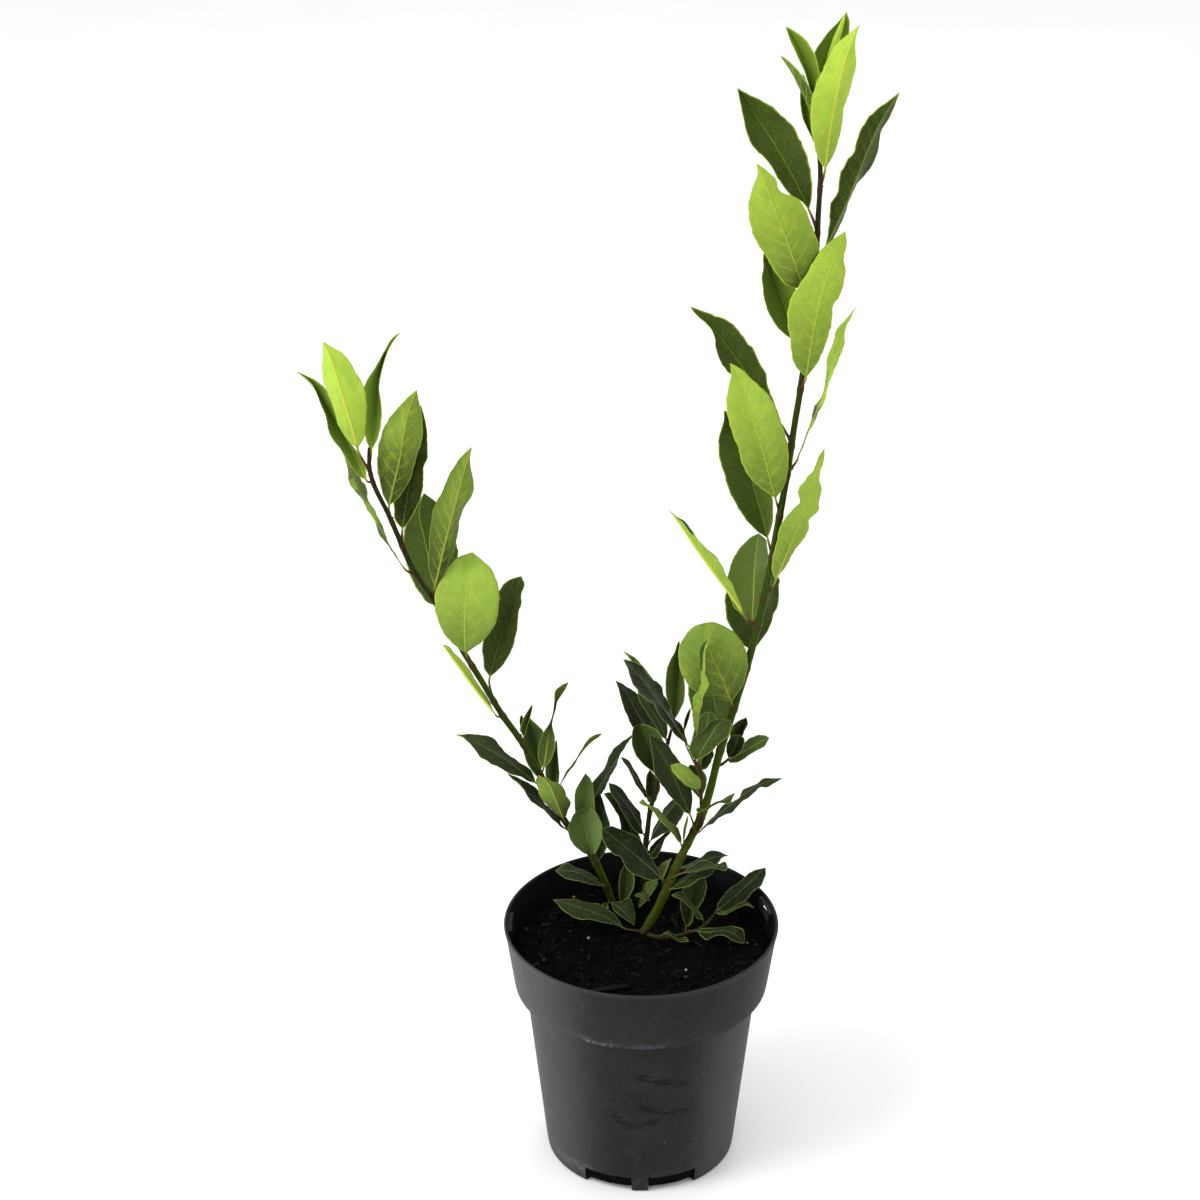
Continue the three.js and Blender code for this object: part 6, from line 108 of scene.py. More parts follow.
    ("leaf_l03","left_stem","A",0.3,1.0,1,[-185.4,28.1,524.6],1.58,[-190.5,33.4,524.1,-193.9,37.3,529.8,-197.4,41.1,535.5,-201.2,44.5,541.2,-204.9,47.8,546.9,-208.7,50.9,552.8,-212.5,53.7,558.7,-216.4,56.3,564.7,-220.2,58.7,570.7,-224.1,60.9,576.7,-228.5,62.6,582.4,-233.7,63.8,587.6,-239.4,64.6,592.4],[-190.5,33.4,524.1,-197.1,33.3,528.6,-201.3,34.0,535.2,-205.2,35.3,541.7,-209.1,37.2,547.5,-214.0,39.4,553.0,-216.6,42.1,559.7,-218.0,45.5,566.8,-221.0,48.6,572.8,-223.8,52.3,579.1,-227.0,56.2,585.0,-232.6,60.3,589.5,-239.4,64.6,592.4],[-190.5,33.4,524.1,-190.6,34.2,532.3,-193.1,35.5,539.7,-197.6,37.1,545.9,-202.4,39.1,551.7,-206.4,41.5,558.0,-209.4,44.3,564.2,-211.9,47.5,570.9,-214.8,51.1,577.3,-218.3,54.8,583.4,-224.6,57.9,587.9,-231.7,60.9,590.6,-239.4,64.6,592.4]),
    ("leaf_l04","left_stem","B",0.45,1.0,1,[-173.8,30.8,494.1],1.73,[-175.3,30.0,506.3,-173.2,29.2,515.8,-170.8,29.0,525.3,-168.4,29.2,534.5,-166.4,29.4,542.9,-165.2,28.8,548.6,-164.9,27.1,550.9,-164.6,25.9,553.2,-163.6,26.6,558.5,-162.0,28.9,566.1,-160.0,31.9,574.1,-157.4,35.2,581.7,-154.3,38.9,589.0],[-175.3,30.0,506.3,-179.4,31.9,514.5,-181.3,32.9,523.2,-182.7,33.0,532.0,-182.6,33.9,540.2,-181.9,35.1,545.8,-181.3,35.5,550.1,-179.9,35.5,555.3,-177.5,36.3,561.9,-173.3,38.5,568.8,-167.6,40.6,575.0,-161.2,41.0,582.0,-154.3,38.9,589.0],[-175.3,30.0,506.3,-169.2,32.3,511.5,-164.1,34.1,518.1,-160.1,35.8,525.5,-157.9,37.7,532.6,-156.2,39.0,539.0,-154.5,38.7,544.0,-152.8,37.3,549.0,-151.1,36.5,555.7,-150.8,37.2,563.7,-151.3,38.5,571.3,-152.8,39.3,579.7,-154.3,38.9,589.0]),
    ("leaf_l05","left_stem","A",0.05,1.0,1,[-167.6,32.4,475.2],1.82,[-167.7,41.9,483.4,-166.8,45.6,489.7,-165.8,49.1,496.1,-164.7,52.4,502.5,-163.5,55.5,509.0,-162.1,58.4,515.6,-160.7,61.1,522.3,-159.4,63.6,529.1,-158.1,65.9,536.0,-156.9,68.0,542.9,-156.0,69.9,550.0,-155.3,71.5,557.2,-154.6,73.0,564.4],[-167.7,41.9,483.4,-172.9,42.9,490.2,-173.4,43.7,498.3,-174.0,45.2,506.1,-173.9,47.4,513.6,-173.1,49.5,520.6,-171.6,52.0,527.8,-170.0,54.5,534.6,-167.7,57.2,541.0,-165.3,60.4,547.7,-162.8,63.7,553.8,-158.6,67.7,559.5,-154.6,73.0,564.4],[-167.7,41.9,483.4,-162.2,41.3,490.7,-158.5,41.9,497.7,-155.0,43.4,504.8,-152.9,45.0,512.2,-152.4,46.5,519.7,-152.2,48.7,526.9,-149.5,51.6,533.7,-149.5,54.1,539.2,-149.6,57.5,545.8,-150.3,61.7,552.5,-152.1,66.8,558.7,-154.6,73.0,564.4]),
    ("leaf_l06","left_stem","B",0.35,1.5,1,[-148.1,37.2,432.5],1.98,[-145.9,35.2,442.2,-143.5,34.0,451.9,-141.3,33.2,461.4,-139.1,32.8,470.6,-136.8,32.7,479.7,-134.5,33.0,488.5,-132.2,33.8,497.1,-129.9,34.9,505.4,-127.7,36.4,513.6,-125.5,38.3,521.6,-123.2,40.6,529.4,-120.6,43.3,536.9,-117.9,46.3,544.2],[-145.9,35.2,442.2,-149.0,37.8,450.8,-150.4,39.8,459.6,-149.5,41.4,468.7,-149.3,42.7,478.0,-147.7,43.4,486.9,-146.6,44.4,496.1,-142.7,46.0,504.3,-138.6,47.7,512.3,-135.3,48.5,520.5,-130.6,48.8,528.7,-125.1,48.3,536.7,-117.9,46.3,544.2],[-145.9,35.2,442.2,-141.4,38.5,449.0,-137.0,40.9,456.3,-133.0,42.5,464.2,-130.8,44.0,472.8,-128.8,45.4,481.6,-127.7,46.4,490.1,-124.2,46.9,498.7,-118.9,46.8,507.0,-117.3,47.2,515.7,-118.9,48.2,524.9,-119.7,47.9,534.3,-117.9,46.3,544.2]),
    ("leaf_l07","left_stem","A",0.2,1.0,1,[-142.0,38.8,420.4],2.02,[-143.5,45.9,421.4,-145.4,50.2,426.9,-147.1,54.1,432.6,-148.6,57.6,438.5,-150.2,60.8,444.5,-151.8,63.7,450.7,-153.4,66.2,457.1,-154.8,68.3,463.6,-156.4,70.1,470.3,-157.9,71.5,477.0,-158.3,72.5,483.8,-157.1,73.1,490.6,-154.6,73.4,497.6],[-143.5,45.9,421.4,-152.6,48.5,423.6,-157.9,52.0,428.6,-162.1,55.3,434.1,-165.3,58.5,440.2,-167.6,61.5,446.8,-169.3,64.3,453.7,-170.2,66.7,460.8,-169.6,68.9,468.2,-167.1,70.9,476.1,-163.2,72.3,483.6,-158.7,73.1,490.7,-154.6,73.4,497.6],[-143.5,45.9,421.4,-138.9,46.4,429.2,-135.9,49.0,436.2,-133.4,54.4,442.1,-131.9,60.8,447.3,-131.0,65.4,453.5,-132.0,68.1,460.2,-133.9,70.3,467.0,-136.3,72.2,474.0,-138.7,73.3,480.1,-141.6,73.3,484.9,-145.3,73.1,490.2,-154.6,73.4,497.6]),
    ("leaf_l09","left_stem","A",0.35,1.2,1,[-157.9,34.8,450.2],1.92,[-166.9,33.7,457.5,-171.6,35.6,464.8,-176.1,37.8,472.1,-180.6,40.3,479.3,-185.1,43.0,486.4,-189.5,46.0,493.5,-193.9,49.3,500.4,-198.1,52.9,507.4,-201.9,56.9,514.4,-205.3,61.1,521.5,-208.6,65.7,528.4,-212.5,70.4,535.1,-216.8,75.3,541.5],[-166.9,33.7,457.5,-171.7,31.8,466.3,-176.2,31.4,474.8,-181.8,31.8,482.0,-184.8,33.8,490.3,-188.6,36.3,497.9,-193.2,39.4,504.9,-198.6,42.9,511.2,-204.2,47.0,517.0,-205.0,52.8,524.2,-207.6,59.2,530.9,-211.9,66.6,536.6,-216.8,75.3,541.5],[-166.9,33.7,457.5,-171.8,39.3,463.2,-176.7,44.1,469.3,-180.3,48.6,476.3,-183.3,52.8,483.6,-187.8,56.5,490.4,-191.8,60.1,497.6,-194.4,63.8,505.2,-197.8,67.2,512.7,-202.5,70.1,519.7,-206.8,72.7,527.0,-211.6,74.5,534.3,-216.8,75.3,541.5]),
    ("leaf_l10","left_stem","B",0.7,1.0,1,[-121.9,44.4,375.8],2.16,[-125.5,39.7,388.1,-125.8,36.6,396.4,-125.8,34.3,404.2,-125.6,32.6,411.7,-125.2,31.6,418.9,-124.6,31.4,425.6,-124.0,31.8,432.0,-123.5,33.0,438.1,-123.0,34.9,443.8,-122.5,37.5,449.1,-122.0,40.8,454.1,-121.2,44.7,458.7,-119.8,49.4,462.8],[-125.5,39.7,388.1,-132.1,35.5,395.5,-137.6,32.7,403.1,-141.6,31.0,411.0,-144.1,30.6,419.2,-145.8,30.7,426.5,-146.0,31.8,434.0,-145.1,33.3,440.9,-141.8,35.1,446.6,-138.9,38.0,452.6,-134.4,41.5,457.6,-128.2,45.4,461.3,-119.8,49.4,462.8],[-125.5,39.7,388.1,-117.3,37.1,395.6,-111.2,34.3,402.7,-106.8,32.0,409.6,-103.3,30.9,416.5,-101.6,30.8,423.6,-100.7,31.5,430.5,-100.4,33.1,437.5,-101.3,35.2,443.7,-103.4,37.8,449.3,-106.7,41.5,454.3,-114.1,46.0,459.3,-119.8,49.4,462.8]),
    ("leaf_l11","left_stem","A",0.1,1.0,1,[-106.6,48.4,343.9],2.26,[-110.2,59.8,358.7,-108.6,63.3,363.9,-107.0,66.5,369.1,-105.3,69.6,374.5,-103.4,72.4,379.9,-101.6,75.0,385.4,-99.7,77.5,391.1,-97.7,79.7,396.8,-95.9,81.7,402.6,-94.0,83.6,408.5,-92.0,85.2,414.5,-89.7,86.5,420.4,-87.3,87.7,426.4],[-110.2,59.8,358.7,-114.2,60.0,365.9,-114.7,61.1,373.4,-115.6,63.0,380.4,-114.4,64.7,387.0,-112.6,66.6,393.5,-111.2,69.2,399.6,-109.5,72.6,405.3,-107.8,76.5,410.7,-104.9,80.4,415.7,-101.0,84.1,420.5,-95.5,86.6,424.3,-87.3,87.7,426.4],[-110.2,59.8,358.7,-104.4,58.4,364.4,-99.5,58.5,370.3,-96.2,59.4,376.0,-93.1,60.7,382.1,-91.5,62.1,388.4,-90.1,63.9,394.8,-89.3,66.4,401.0,-88.9,69.4,406.7,-87.0,72.8,412.2,-87.2,76.8,417.3,-84.9,81.9,421.8,-87.3,87.7,426.4]),
    ("leaf_l12","left_stem","B",0.9,0.5,1,[-100.1,50.0,331.2],2.3,[-105.4,45.1,335.0,-108.4,45.2,339.8,-111.7,45.5,344.4,-115.0,46.1,348.8,-118.3,46.9,353.1,-121.5,48.2,357.2,-124.7,49.7,361.3,-127.9,51.5,365.3,-131.1,53.6,369.1,-134.4,56.0,372.7,-137.7,58.7,376.1,-141.1,61.7,379.4,-144.6,64.9,382.5],[-105.4,45.1,335.0,-109.3,48.0,337.7,-112.9,50.4,341.1,-116.4,52.3,344.8,-119.8,54.1,348.6,-123.0,55.9,352.5,-126.2,57.6,356.5,-129.4,59.3,360.6,-132.5,60.9,364.7,-135.7,62.4,368.8,-138.7,63.8,373.1,-141.6,64.7,377.7,-144.6,64.9,382.5],[-105.4,45.1,335.0,-108.0,48.4,338.7,-110.1,51.3,343.0,-112.8,53.6,347.3,-116.0,55.5,351.4,-119.2,57.4,355.5,-121.9,59.2,359.6,-124.7,61.0,364.0,-128.3,62.6,368.0,-131.9,64.0,372.0,-136.0,64.9,375.7,-139.2,65.5,380.2,-144.6,64.9,382.5]),
    ("leaf_m01","left_stem","A",0.3,1.0,1,[-71.6,57.2,272.1],2.47,[-77.5,51.1,275.9,-81.9,51.2,280.0,-86.4,51.5,284.0,-90.9,51.9,287.8,-95.5,52.5,291.4,-100.2,53.2,294.8,-105.1,54.0,297.9,-110.1,54.9,300.6,-115.2,55.9,303.1,-120.3,57.1,305.5,-125.6,58.4,307.5,-130.9,59.7,309.2,-136.5,61.2,310.6],[-77.5,51.1,275.9,-83.1,45.6,280.6,-87.7,42.4,286.1,-93.3,39.8,289.1,-98.5,38.4,292.4,-103.0,38.4,296.4,-108.3,38.3,298.4,-113.4,39.6,301.2,-117.9,41.9,304.3,-122.0,45.3,307.4,-125.8,49.7,310.3,-130.3,55.2,312.0,-136.5,61.2,310.6],[-77.5,51.1,275.9,-79.7,56.9,279.5,-82.9,61.2,283.3,-88.4,63.5,285.5,-93.6,65.6,288.5,-98.6,67.1,291.4,-103.0,68.8,295.6,-107.1,70.3,300.7,-111.8,70.7,304.5,-117.9,69.9,306.1,-124.4,68.2,307.2,-130.5,65.3,308.6,-136.5,61.2,310.6]),
    ("leaf_m02","left_stem","A",0.1,1.3,0,[-52.9,59.3,232.9],2.58,[-54.8,54.4,234.3,-58.6,55.4,237.7,-62.4,56.5,241.0,-66.1,57.7,244.4,-69.8,59.0,247.8,-73.4,60.4,251.1,-77.1,61.9,254.3,-80.9,63.5,257.4,-84.7,65.2,260.4,-88.4,66.9,263.4,-92.2,68.8,266.4,-96.0,70.8,269.2,-99.8,72.8,272.1],[-54.8,54.4,234.3,-59.5,51.6,238.4,-63.1,50.4,243.3,-66.6,50.3,247.7,-70.0,50.8,251.9,-74.2,51.4,255.1,-78.5,52.4,257.7,-82.5,54.1,260.6,-85.2,56.8,264.3,-87.8,60.0,267.6,-91.4,63.5,270.1,-96.2,67.3,270.6,-99.8,72.8,272.1],[-54.8,54.4,234.3,-59.1,59.8,235.7,-60.4,62.9,239.7,-64.2,65.7,242.4,-68.0,68.1,245.4,-71.8,70.2,248.5,-74.7,72.1,252.2,-77.1,74.1,256.9,-80.7,75.2,260.7,-85.5,75.6,263.2,-90.2,75.6,265.8,-95.1,74.7,268.7,-99.8,72.8,272.1]),
    ("leaf_m03","left_stem","B",0.4,1.3,1,[-52.9,59.3,232.9],2.58,[-57.5,49.8,246.4,-58.6,47.8,251.0,-59.7,46.1,255.3,-60.8,44.8,259.5,-61.9,43.9,263.4,-63.0,43.4,267.1,-64.2,43.2,270.5,-65.4,43.4,273.8,-66.7,43.9,276.8,-68.3,44.7,279.3,-70.4,45.7,281.3,-72.9,47.0,282.7,-75.6,48.5,283.8],[-57.5,49.8,246.4,-60.4,51.6,247.3,-63.1,52.6,249.2,-65.4,53.0,251.7,-67.8,53.1,254.4,-70.2,53.0,257.2,-72.5,52.5,260.2,-74.4,52.0,263.7,-75.7,51.6,267.4,-76.2,51.4,271.3,-77.2,51.0,275.2,-77.3,50.1,279.5,-75.6,48.5,283.8],[-57.5,49.8,246.4,-55.3,52.2,248.7,-54.2,53.6,252.3,-52.2,54.2,256.9,-53.1,54.9,260.0,-55.7,55.7,263.1,-56.3,56.3,266.8,-58.5,56.4,270.5,-61.5,56.0,273.4,-65.6,54.8,275.3,-68.3,53.8,278.3,-72.3,51.5,280.6,-75.6,48.5,283.8]),
    ("leaf_m05","left_stem","A",0.3,1.0,1,[-74.3,56.4,279.2],2.45,[-72.0,56.1,285.4,-71.1,58.3,290.5,-70.2,60.5,295.6,-69.5,62.6,300.7,-68.7,64.8,305.9,-67.8,67.0,311.0,-66.6,69.2,316.1,-65.3,71.3,321.1,-64.0,73.5,326.1,-62.4,75.6,331.0,-60.2,77.6,335.7,-57.2,79.4,340.0,-53.7,81.1,344.0],[-72.0,56.1,285.4,-75.5,57.6,290.8,-76.2,58.8,296.6,-75.6,60.1,302.8,-73.7,61.3,308.3,-70.9,63.1,313.5,-67.6,65.0,318.1,-65.5,67.4,323.3,-64.5,70.0,328.6,-64.1,72.8,333.7,-63.5,76.0,339.1,-59.1,78.7,342.4,-53.7,81.1,344.0],[-72.0,56.1,285.4,-67.7,56.6,289.9,-65.0,57.9,295.4,-63.4,59.3,300.9,-63.3,60.8,306.7,-64.4,62.6,312.1,-65.6,64.7,317.3,-64.6,67.0,322.5,-63.0,69.4,327.4,-62.0,72.0,332.2,-59.1,74.5,336.0,-55.9,77.5,339.9,-53.7,81.1,344.0]),
    ("leaf_m06","left_stem","A",0.05,1.0,0,[-66.2,58.3,258.4],2.5,[-66.3,65.1,258.8,-66.4,67.4,261.4,-66.4,69.6,264.0,-66.4,71.6,266.7,-66.3,73.6,269.4,-66.0,75.5,272.1,-65.7,77.3,275.0,-65.4,79.0,277.9,-65.0,80.6,280.8,-64.5,82.1,283.8,-64.0,83.5,286.8,-63.5,84.7,289.8,-62.9,85.9,293.0],[-66.3,65.1,258.8,-68.0,63.7,263.2,-69.7,63.3,267.0,-70.3,63.8,270.8,-70.8,64.8,274.3,-71.2,66.2,277.7,-70.9,67.9,280.8,-70.3,69.9,283.8,-69.8,72.2,286.5,-69.1,74.8,289.1,-67.0,77.7,290.9,-65.0,81.3,292.2,-62.9,85.9,293.0],[-66.3,65.1,258.8,-63.8,63.5,262.5,-62.3,63.1,266.4,-61.2,63.6,269.9,-60.8,64.5,273.3,-60.7,65.8,276.5,-61.0,67.4,279.5,-61.4,69.4,282.4,-61.7,71.6,285.1,-62.0,74.2,287.6,-62.3,77.3,289.8,-62.6,81.1,291.6,-62.9,85.9,293.0]),
    ("leaf_m07","left_stem","A",0.15,1.0,1,[-74.3,56.4,279.2],2.45,[-74.6,63.7,278.2,-75.2,66.6,280.5,-75.9,69.3,283.0,-76.5,71.9,285.5,-77.2,74.2,288.2,-78.0,76.4,291.0,-79.0,78.3,293.8,-80.1,80.0,296.6,-81.4,81.4,299.6,-82.7,82.7,302.6,-83.5,83.8,305.8,-83.9,84.8,309.2,-84.2,85.6,312.8],[-74.6,63.7,278.2,-77.8,62.4,275.7,-82.3,62.5,281.9,-84.1,62.0,286.0,-85.5,62.8,289.6,-86.6,64.0,293.1,-87.3,65.4,296.4,-87.5,67.0,299.5,-87.2,69.4,302.9,-86.7,72.3,306.0,-85.9,75.8,308.9,-85.0,80.2,311.2,-84.2,85.6,312.8],[-74.6,63.7,278.2,-73.4,62.4,283.1,-73.2,62.2,287.6,-72.9,62.9,291.5,-72.6,64.0,295.2,-72.3,65.6,298.7,-72.0,67.4,302.1,-72.3,69.8,305.1,-72.6,72.6,307.9,-75.3,74.9,309.8,-78.1,77.4,311.5,-81.0,80.9,312.5,-84.2,85.6,312.8]),
    ("leaf_m08","left_stem","A",0.3,1.0,0,[-85.9,53.2,306.3],2.37,[-86.4,54.3,311.2,-85.8,54.9,313.2,-85.2,55.5,315.3,-84.6,56.1,317.3,-84.1,56.7,319.3,-83.6,57.4,321.3,-83.0,58.0,323.3,-82.5,58.7,325.2,-82.0,59.4,327.2,-81.5,60.1,329.2,-81.0,60.9,331.1,-80.5,61.6,333.1,-80.0,62.4,335.0],[-86.4,54.3,311.2,-86.6,54.2,314.4,-87.6,52.6,317.1,-88.7,51.8,319.1,-88.4,51.6,321.9,-87.8,51.7,324.4,-86.9,52.2,326.6,-86.1,53.0,328.7,-84.9,54.1,330.4,-83.7,55.5,332.0,-82.5,57.2,333.3,-81.3,59.5,334.3,-80.0,62.4,335.0],[-86.4,54.3,311.2,-85.7,52.7,314.5,-85.0,51.7,317.3,-84.3,51.4,319.9,-83.6,51.3,322.2,-82.8,51.5,324.4,-82.0,52.1,326.4,-81.3,52.9,328.2,-80.8,54.0,330.0,-80.3,55.4,331.6,-79.9,57.1,333.1,-79.5,59.4,334.2,-80.0,62.4,335.0]),
    ("leaf_m08b","left_stem","A",0.3,1.0,0,[-89.3,52.4,312.7],2.35,[-86.7,58.0,314.6,-86.8,58.7,315.4,-87.0,59.5,316.2,-87.1,60.1,317.1,-87.3,60.8,317.9,-87.4,61.4,318.8,-87.5,62.1,319.6,-87.7,62.6,320.5,-87.8,63.2,321.4,-87.8,63.7,322.3,-87.9,64.3,323.3,-88.0,64.7,324.2,-88.1,65.2,325.2],[-86.7,58.0,314.6,-87.4,57.0,316.1,-87.9,56.5,317.5,-88.3,56.4,318.7,-88.6,56.6,319.9,-88.8,57.0,320.9,-89.0,57.5,321.9,-89.1,58.2,322.8,-89.1,59.1,323.6,-89.0,60.2,324.3,-88.8,61.5,324.8,-88.5,63.1,325.2,-88.1,65.2,325.2],[-86.7,58.0,314.6,-86.1,57.1,316.3,-85.8,56.6,317.7,-85.6,56.6,319.0,-85.6,56.8,320.1,-85.6,57.2,321.2,-85.7,57.7,322.1,-85.8,58.4,323.0,-86.1,59.3,323.8,-86.4,60.3,324.5,-86.8,61.6,325.0,-87.3,63.2,325.2,-88.1,65.2,325.2]),
    ("leaf_m09","left_stem","B",0.1,0.8,0,[-63.2,58.5,251.8],2.52,[-62.8,70.0,259.5,-60.7,72.9,262.5,-58.5,75.7,265.5,-56.1,78.3,268.6,-53.6,80.7,271.6,-50.9,83.0,274.6,-48.3,85.1,277.8,-45.7,87.1,281.0,-43.1,88.9,284.4,-40.3,90.5,287.6,-37.1,91.7,290.5,-33.3,92.5,292.8,-29.2,93.0,294.9],[-62.8,70.0,259.5,-60.6,71.1,263.6,-58.7,72.6,267.7,-56.6,74.4,271.4,-53.8,76.2,274.6,-51.1,78.2,277.9,-48.5,80.2,281.2,-46.2,82.3,284.4,-43.8,84.5,287.7,-41.3,87.0,291.2,-38.0,89.2,293.8,-33.8,91.2,295.1,-29.2,93.0,294.9],[-62.8,70.0,259.5,-60.4,74.7,261.2,-58.1,78.8,263.3,-55.8,82.3,265.9,-53.4,85.3,268.6,-50.3,87.7,271.0,-48.5,90.0,274.5,-45.9,92.0,278.1,-43.0,93.4,281.4,-39.8,94.3,284.6,-36.4,94.5,287.6,-32.6,94.0,290.8,-29.2,93.0,294.9]),
    ("leaf_g01","left_stem","A",0.55,1.0,1,[-33.9,60.7,202.5],2.78,[-37.4,55.1,214.3,-38.3,55.3,217.8,-39.1,55.6,221.2,-39.9,56.0,224.6,-40.6,56.6,227.9,-41.3,57.3,231.1,-42.1,58.2,234.2,-43.0,59.1,237.2,-44.0,60.0,240.1,-44.1,61.0,242.6,-42.9,62.0,244.7,-40.7,63.1,246.6,-38.2,64.2,248.4],[-37.4,55.1,214.3,-41.2,49.7,216.5,-45.0,47.2,220.6,-49.6,46.7,225.3,-51.8,46.4,229.3,-53.3,46.4,233.3,-54.1,46.8,237.3,-53.9,47.4,241.4,-52.1,48.7,245.7,-50.0,51.6,249.4,-46.2,54.9,250.9,-42.3,59.0,250.5,-38.2,64.2,248.4],[-37.4,55.1,214.3,-34.4,50.1,216.6,-32.4,47.6,221.7,-30.9,46.3,226.1,-29.8,46.2,230.1,-28.9,46.9,233.6,-28.7,48.5,236.7,-28.8,50.9,239.4,-29.8,53.8,241.6,-31.2,56.2,244.0,-33.0,57.9,246.6,-35.2,60.2,248.4,-38.2,64.2,248.4]),
    ("leaf_d04","left_stem","A",0.6,1.0,1,[-44.6,59.9,221.4],2.64,[-43.5,62.9,224.3,-43.3,64.1,228.1,-43.0,65.4,231.8,-42.8,66.9,235.4,-42.7,68.5,239.0,-42.5,70.3,242.4,-42.4,72.2,245.8,-42.3,74.2,249.1,-42.2,76.4,252.3,-42.1,78.7,255.5,-42.1,81.2,258.6,-42.0,83.8,261.6,-42.0,86.6,264.5],[-43.5,62.9,224.3,-45.9,60.4,229.6,-48.0,59.4,234.8,-48.5,59.4,239.6,-49.0,59.9,243.8,-49.3,61.1,247.7,-49.5,63.1,251.3,-49.8,65.6,254.6,-49.4,68.6,257.5,-48.4,71.7,260.1,-46.2,75.6,262.5,-44.1,80.4,263.9,-42.0,86.6,264.5],[-43.5,62.9,224.3,-40.8,60.5,229.6,-37.9,59.5,234.4,-36.6,59.4,238.8,-35.5,60.2,243.1,-34.6,61.4,246.9,-34.7,63.1,250.8,-35.0,65.3,254.4,-35.4,68.1,257.4,-36.0,71.6,260.0,-36.7,76.0,262.3,-38.6,80.9,263.9,-42.0,86.6,264.5]),
    ("leaf_d02","left_stem","A",0.05,1.0,1,[-48.8,59.6,227.1],2.6,[-42.9,72.1,230.1,-40.8,76.0,235.0,-38.5,79.7,239.9,-36.0,83.2,244.8,-33.2,86.5,249.7,-30.2,89.6,254.6,-26.8,92.4,259.4,-23.2,95.0,264.3,-19.7,97.5,269.2,-16.2,99.8,274.2,-12.5,101.9,279.3,-8.6,103.8,284.3,-4.7,105.4,289.4],[-42.9,72.1,230.1,-45.5,73.2,237.4,-42.6,73.9,244.2,-39.9,75.3,250.3,-37.9,77.8,256.5,-34.8,80.3,262.1,-30.3,82.8,266.7,-26.5,85.8,271.7,-24.4,89.2,276.9,-21.1,92.8,281.7,-15.7,96.2,284.8,-10.3,100.4,287.4,-4.7,105.4,289.4],[-42.9,72.1,230.1,-40.9,79.8,232.8,-38.8,86.2,236.3,-34.4,91.0,239.2,-29.8,95.0,242.3,-26.4,98.7,246.8,-23.8,101.9,251.9,-20.9,104.5,257.3,-17.6,106.4,262.8,-15.6,107.9,269.2,-12.5,108.4,275.6,-8.7,107.6,282.2,-4.7,105.4,289.4]),
    ("leaf_d05","left_stem","A",0.1,1.0,1,[-33.9,60.7,202.5],2.78,[-32.2,66.1,201.2,-33.1,70.9,203.6,-33.8,75.4,206.2,-34.1,79.5,209.1,-34.2,83.3,212.2,-34.1,86.7,215.6,-34.0,89.7,219.2,-33.7,92.4,223.0,-33.4,94.6,227.0,-33.1,96.5,231.3,-32.8,98.0,235.8,-32.4,99.1,240.5,-32.1,99.8,245.4],[-32.2,66.1,201.2,-34.4,66.5,206.0,-36.5,67.9,210.3,-38.1,70.1,214.4,-39.7,72.5,218.4,-40.2,75.3,222.4,-40.5,78.1,226.4,-40.8,81.1,230.3,-40.1,84.1,233.9,-39.0,87.4,237.5,-37.8,90.9,240.9,-35.1,94.9,243.3,-32.1,99.8,245.4],[-32.2,66.1,201.2,-28.2,67.4,205.3,-26.4,69.3,209.4,-25.0,71.6,213.2,-23.9,74.1,216.9,-23.7,76.6,220.9,-23.6,78.9,224.9,-24.9,81.3,229.0,-26.6,83.9,232.7,-27.9,87.1,236.4,-29.3,90.5,239.8,-31.2,94.7,242.7,-32.1,99.8,245.4]),
    ("leaf_h01","left_stem","A",0.25,1.2,1,[-26.2,61.5,181.3],2.91,[-28.2,54.1,186.7,-31.1,53.8,188.6,-33.9,53.6,190.4,-36.8,53.5,192.1,-39.5,53.5,193.9,-42.3,53.6,195.6,-45.2,53.8,197.1,-48.2,53.8,198.1,-51.3,53.8,198.8,-54.5,53.8,199.2,-57.7,53.8,199.5,-60.9,53.9,199.7,-64.1,54.1,199.6],[-28.2,54.1,186.7,-31.3,49.5,189.1,-34.4,46.5,191.6,-37.4,44.5,193.8,-40.4,43.2,195.7,-43.6,42.4,196.9,-46.7,42.0,197.9,-49.8,42.1,198.5,-53.0,42.7,198.8,-56.0,44.0,199.2,-58.9,46.2,199.7,-61.6,49.5,199.9,-64.1,54.1,199.6],[-28.2,54.1,186.7,-30.6,55.8,187.9,-32.9,59.5,189.5,-35.8,62.0,190.4,-38.7,63.5,192.0,-41.9,64.4,193.4,-45.5,64.6,194.5,-48.9,64.6,196.0,-52.1,64.4,198.3,-55.3,63.7,200.8,-58.5,61.6,200.5,-61.2,58.3,199.6,-64.1,54.1,199.6]),
    ("leaf_h02","right_stem","A",0.0,1.0,1,[1.5,20.0,166.8],3.7,[-13.6,13.9,175.4,-17.4,13.7,178.5,-21.3,13.7,181.3,-25.4,13.8,183.7,-29.6,14.0,185.8,-33.9,14.4,187.5,-38.3,15.0,189.0,-42.6,15.7,190.2,-47.0,16.7,191.3,-51.5,17.9,192.2,-55.9,19.3,192.8,-60.4,20.9,193.2,-65.0,22.7,193.4],[-13.6,13.9,175.4,-18.0,9.0,180.3,-22.6,5.5,184.0,-27.2,3.1,186.5,-31.5,1.6,188.4,-36.1,1.0,190.0,-40.5,0.9,190.9,-45.2,1.4,190.7,-49.7,3.1,191.3,-53.8,6.0,192.2,-57.6,10.0,193.1,-61.1,15.8,194.1,-65.0,22.7,193.4],[-13.6,13.9,175.4,-15.9,18.9,177.7,-18.7,22.6,180.2,-22.4,25.4,182.8,-26.5,27.3,184.9,-31.2,28.5,186.3,-35.8,29.0,187.1,-40.7,29.3,188.0,-45.4,29.3,189.0,-50.2,29.0,190.3,-55.2,28.0,191.1,-60.1,25.9,192.1,-65.0,22.7,193.4]),
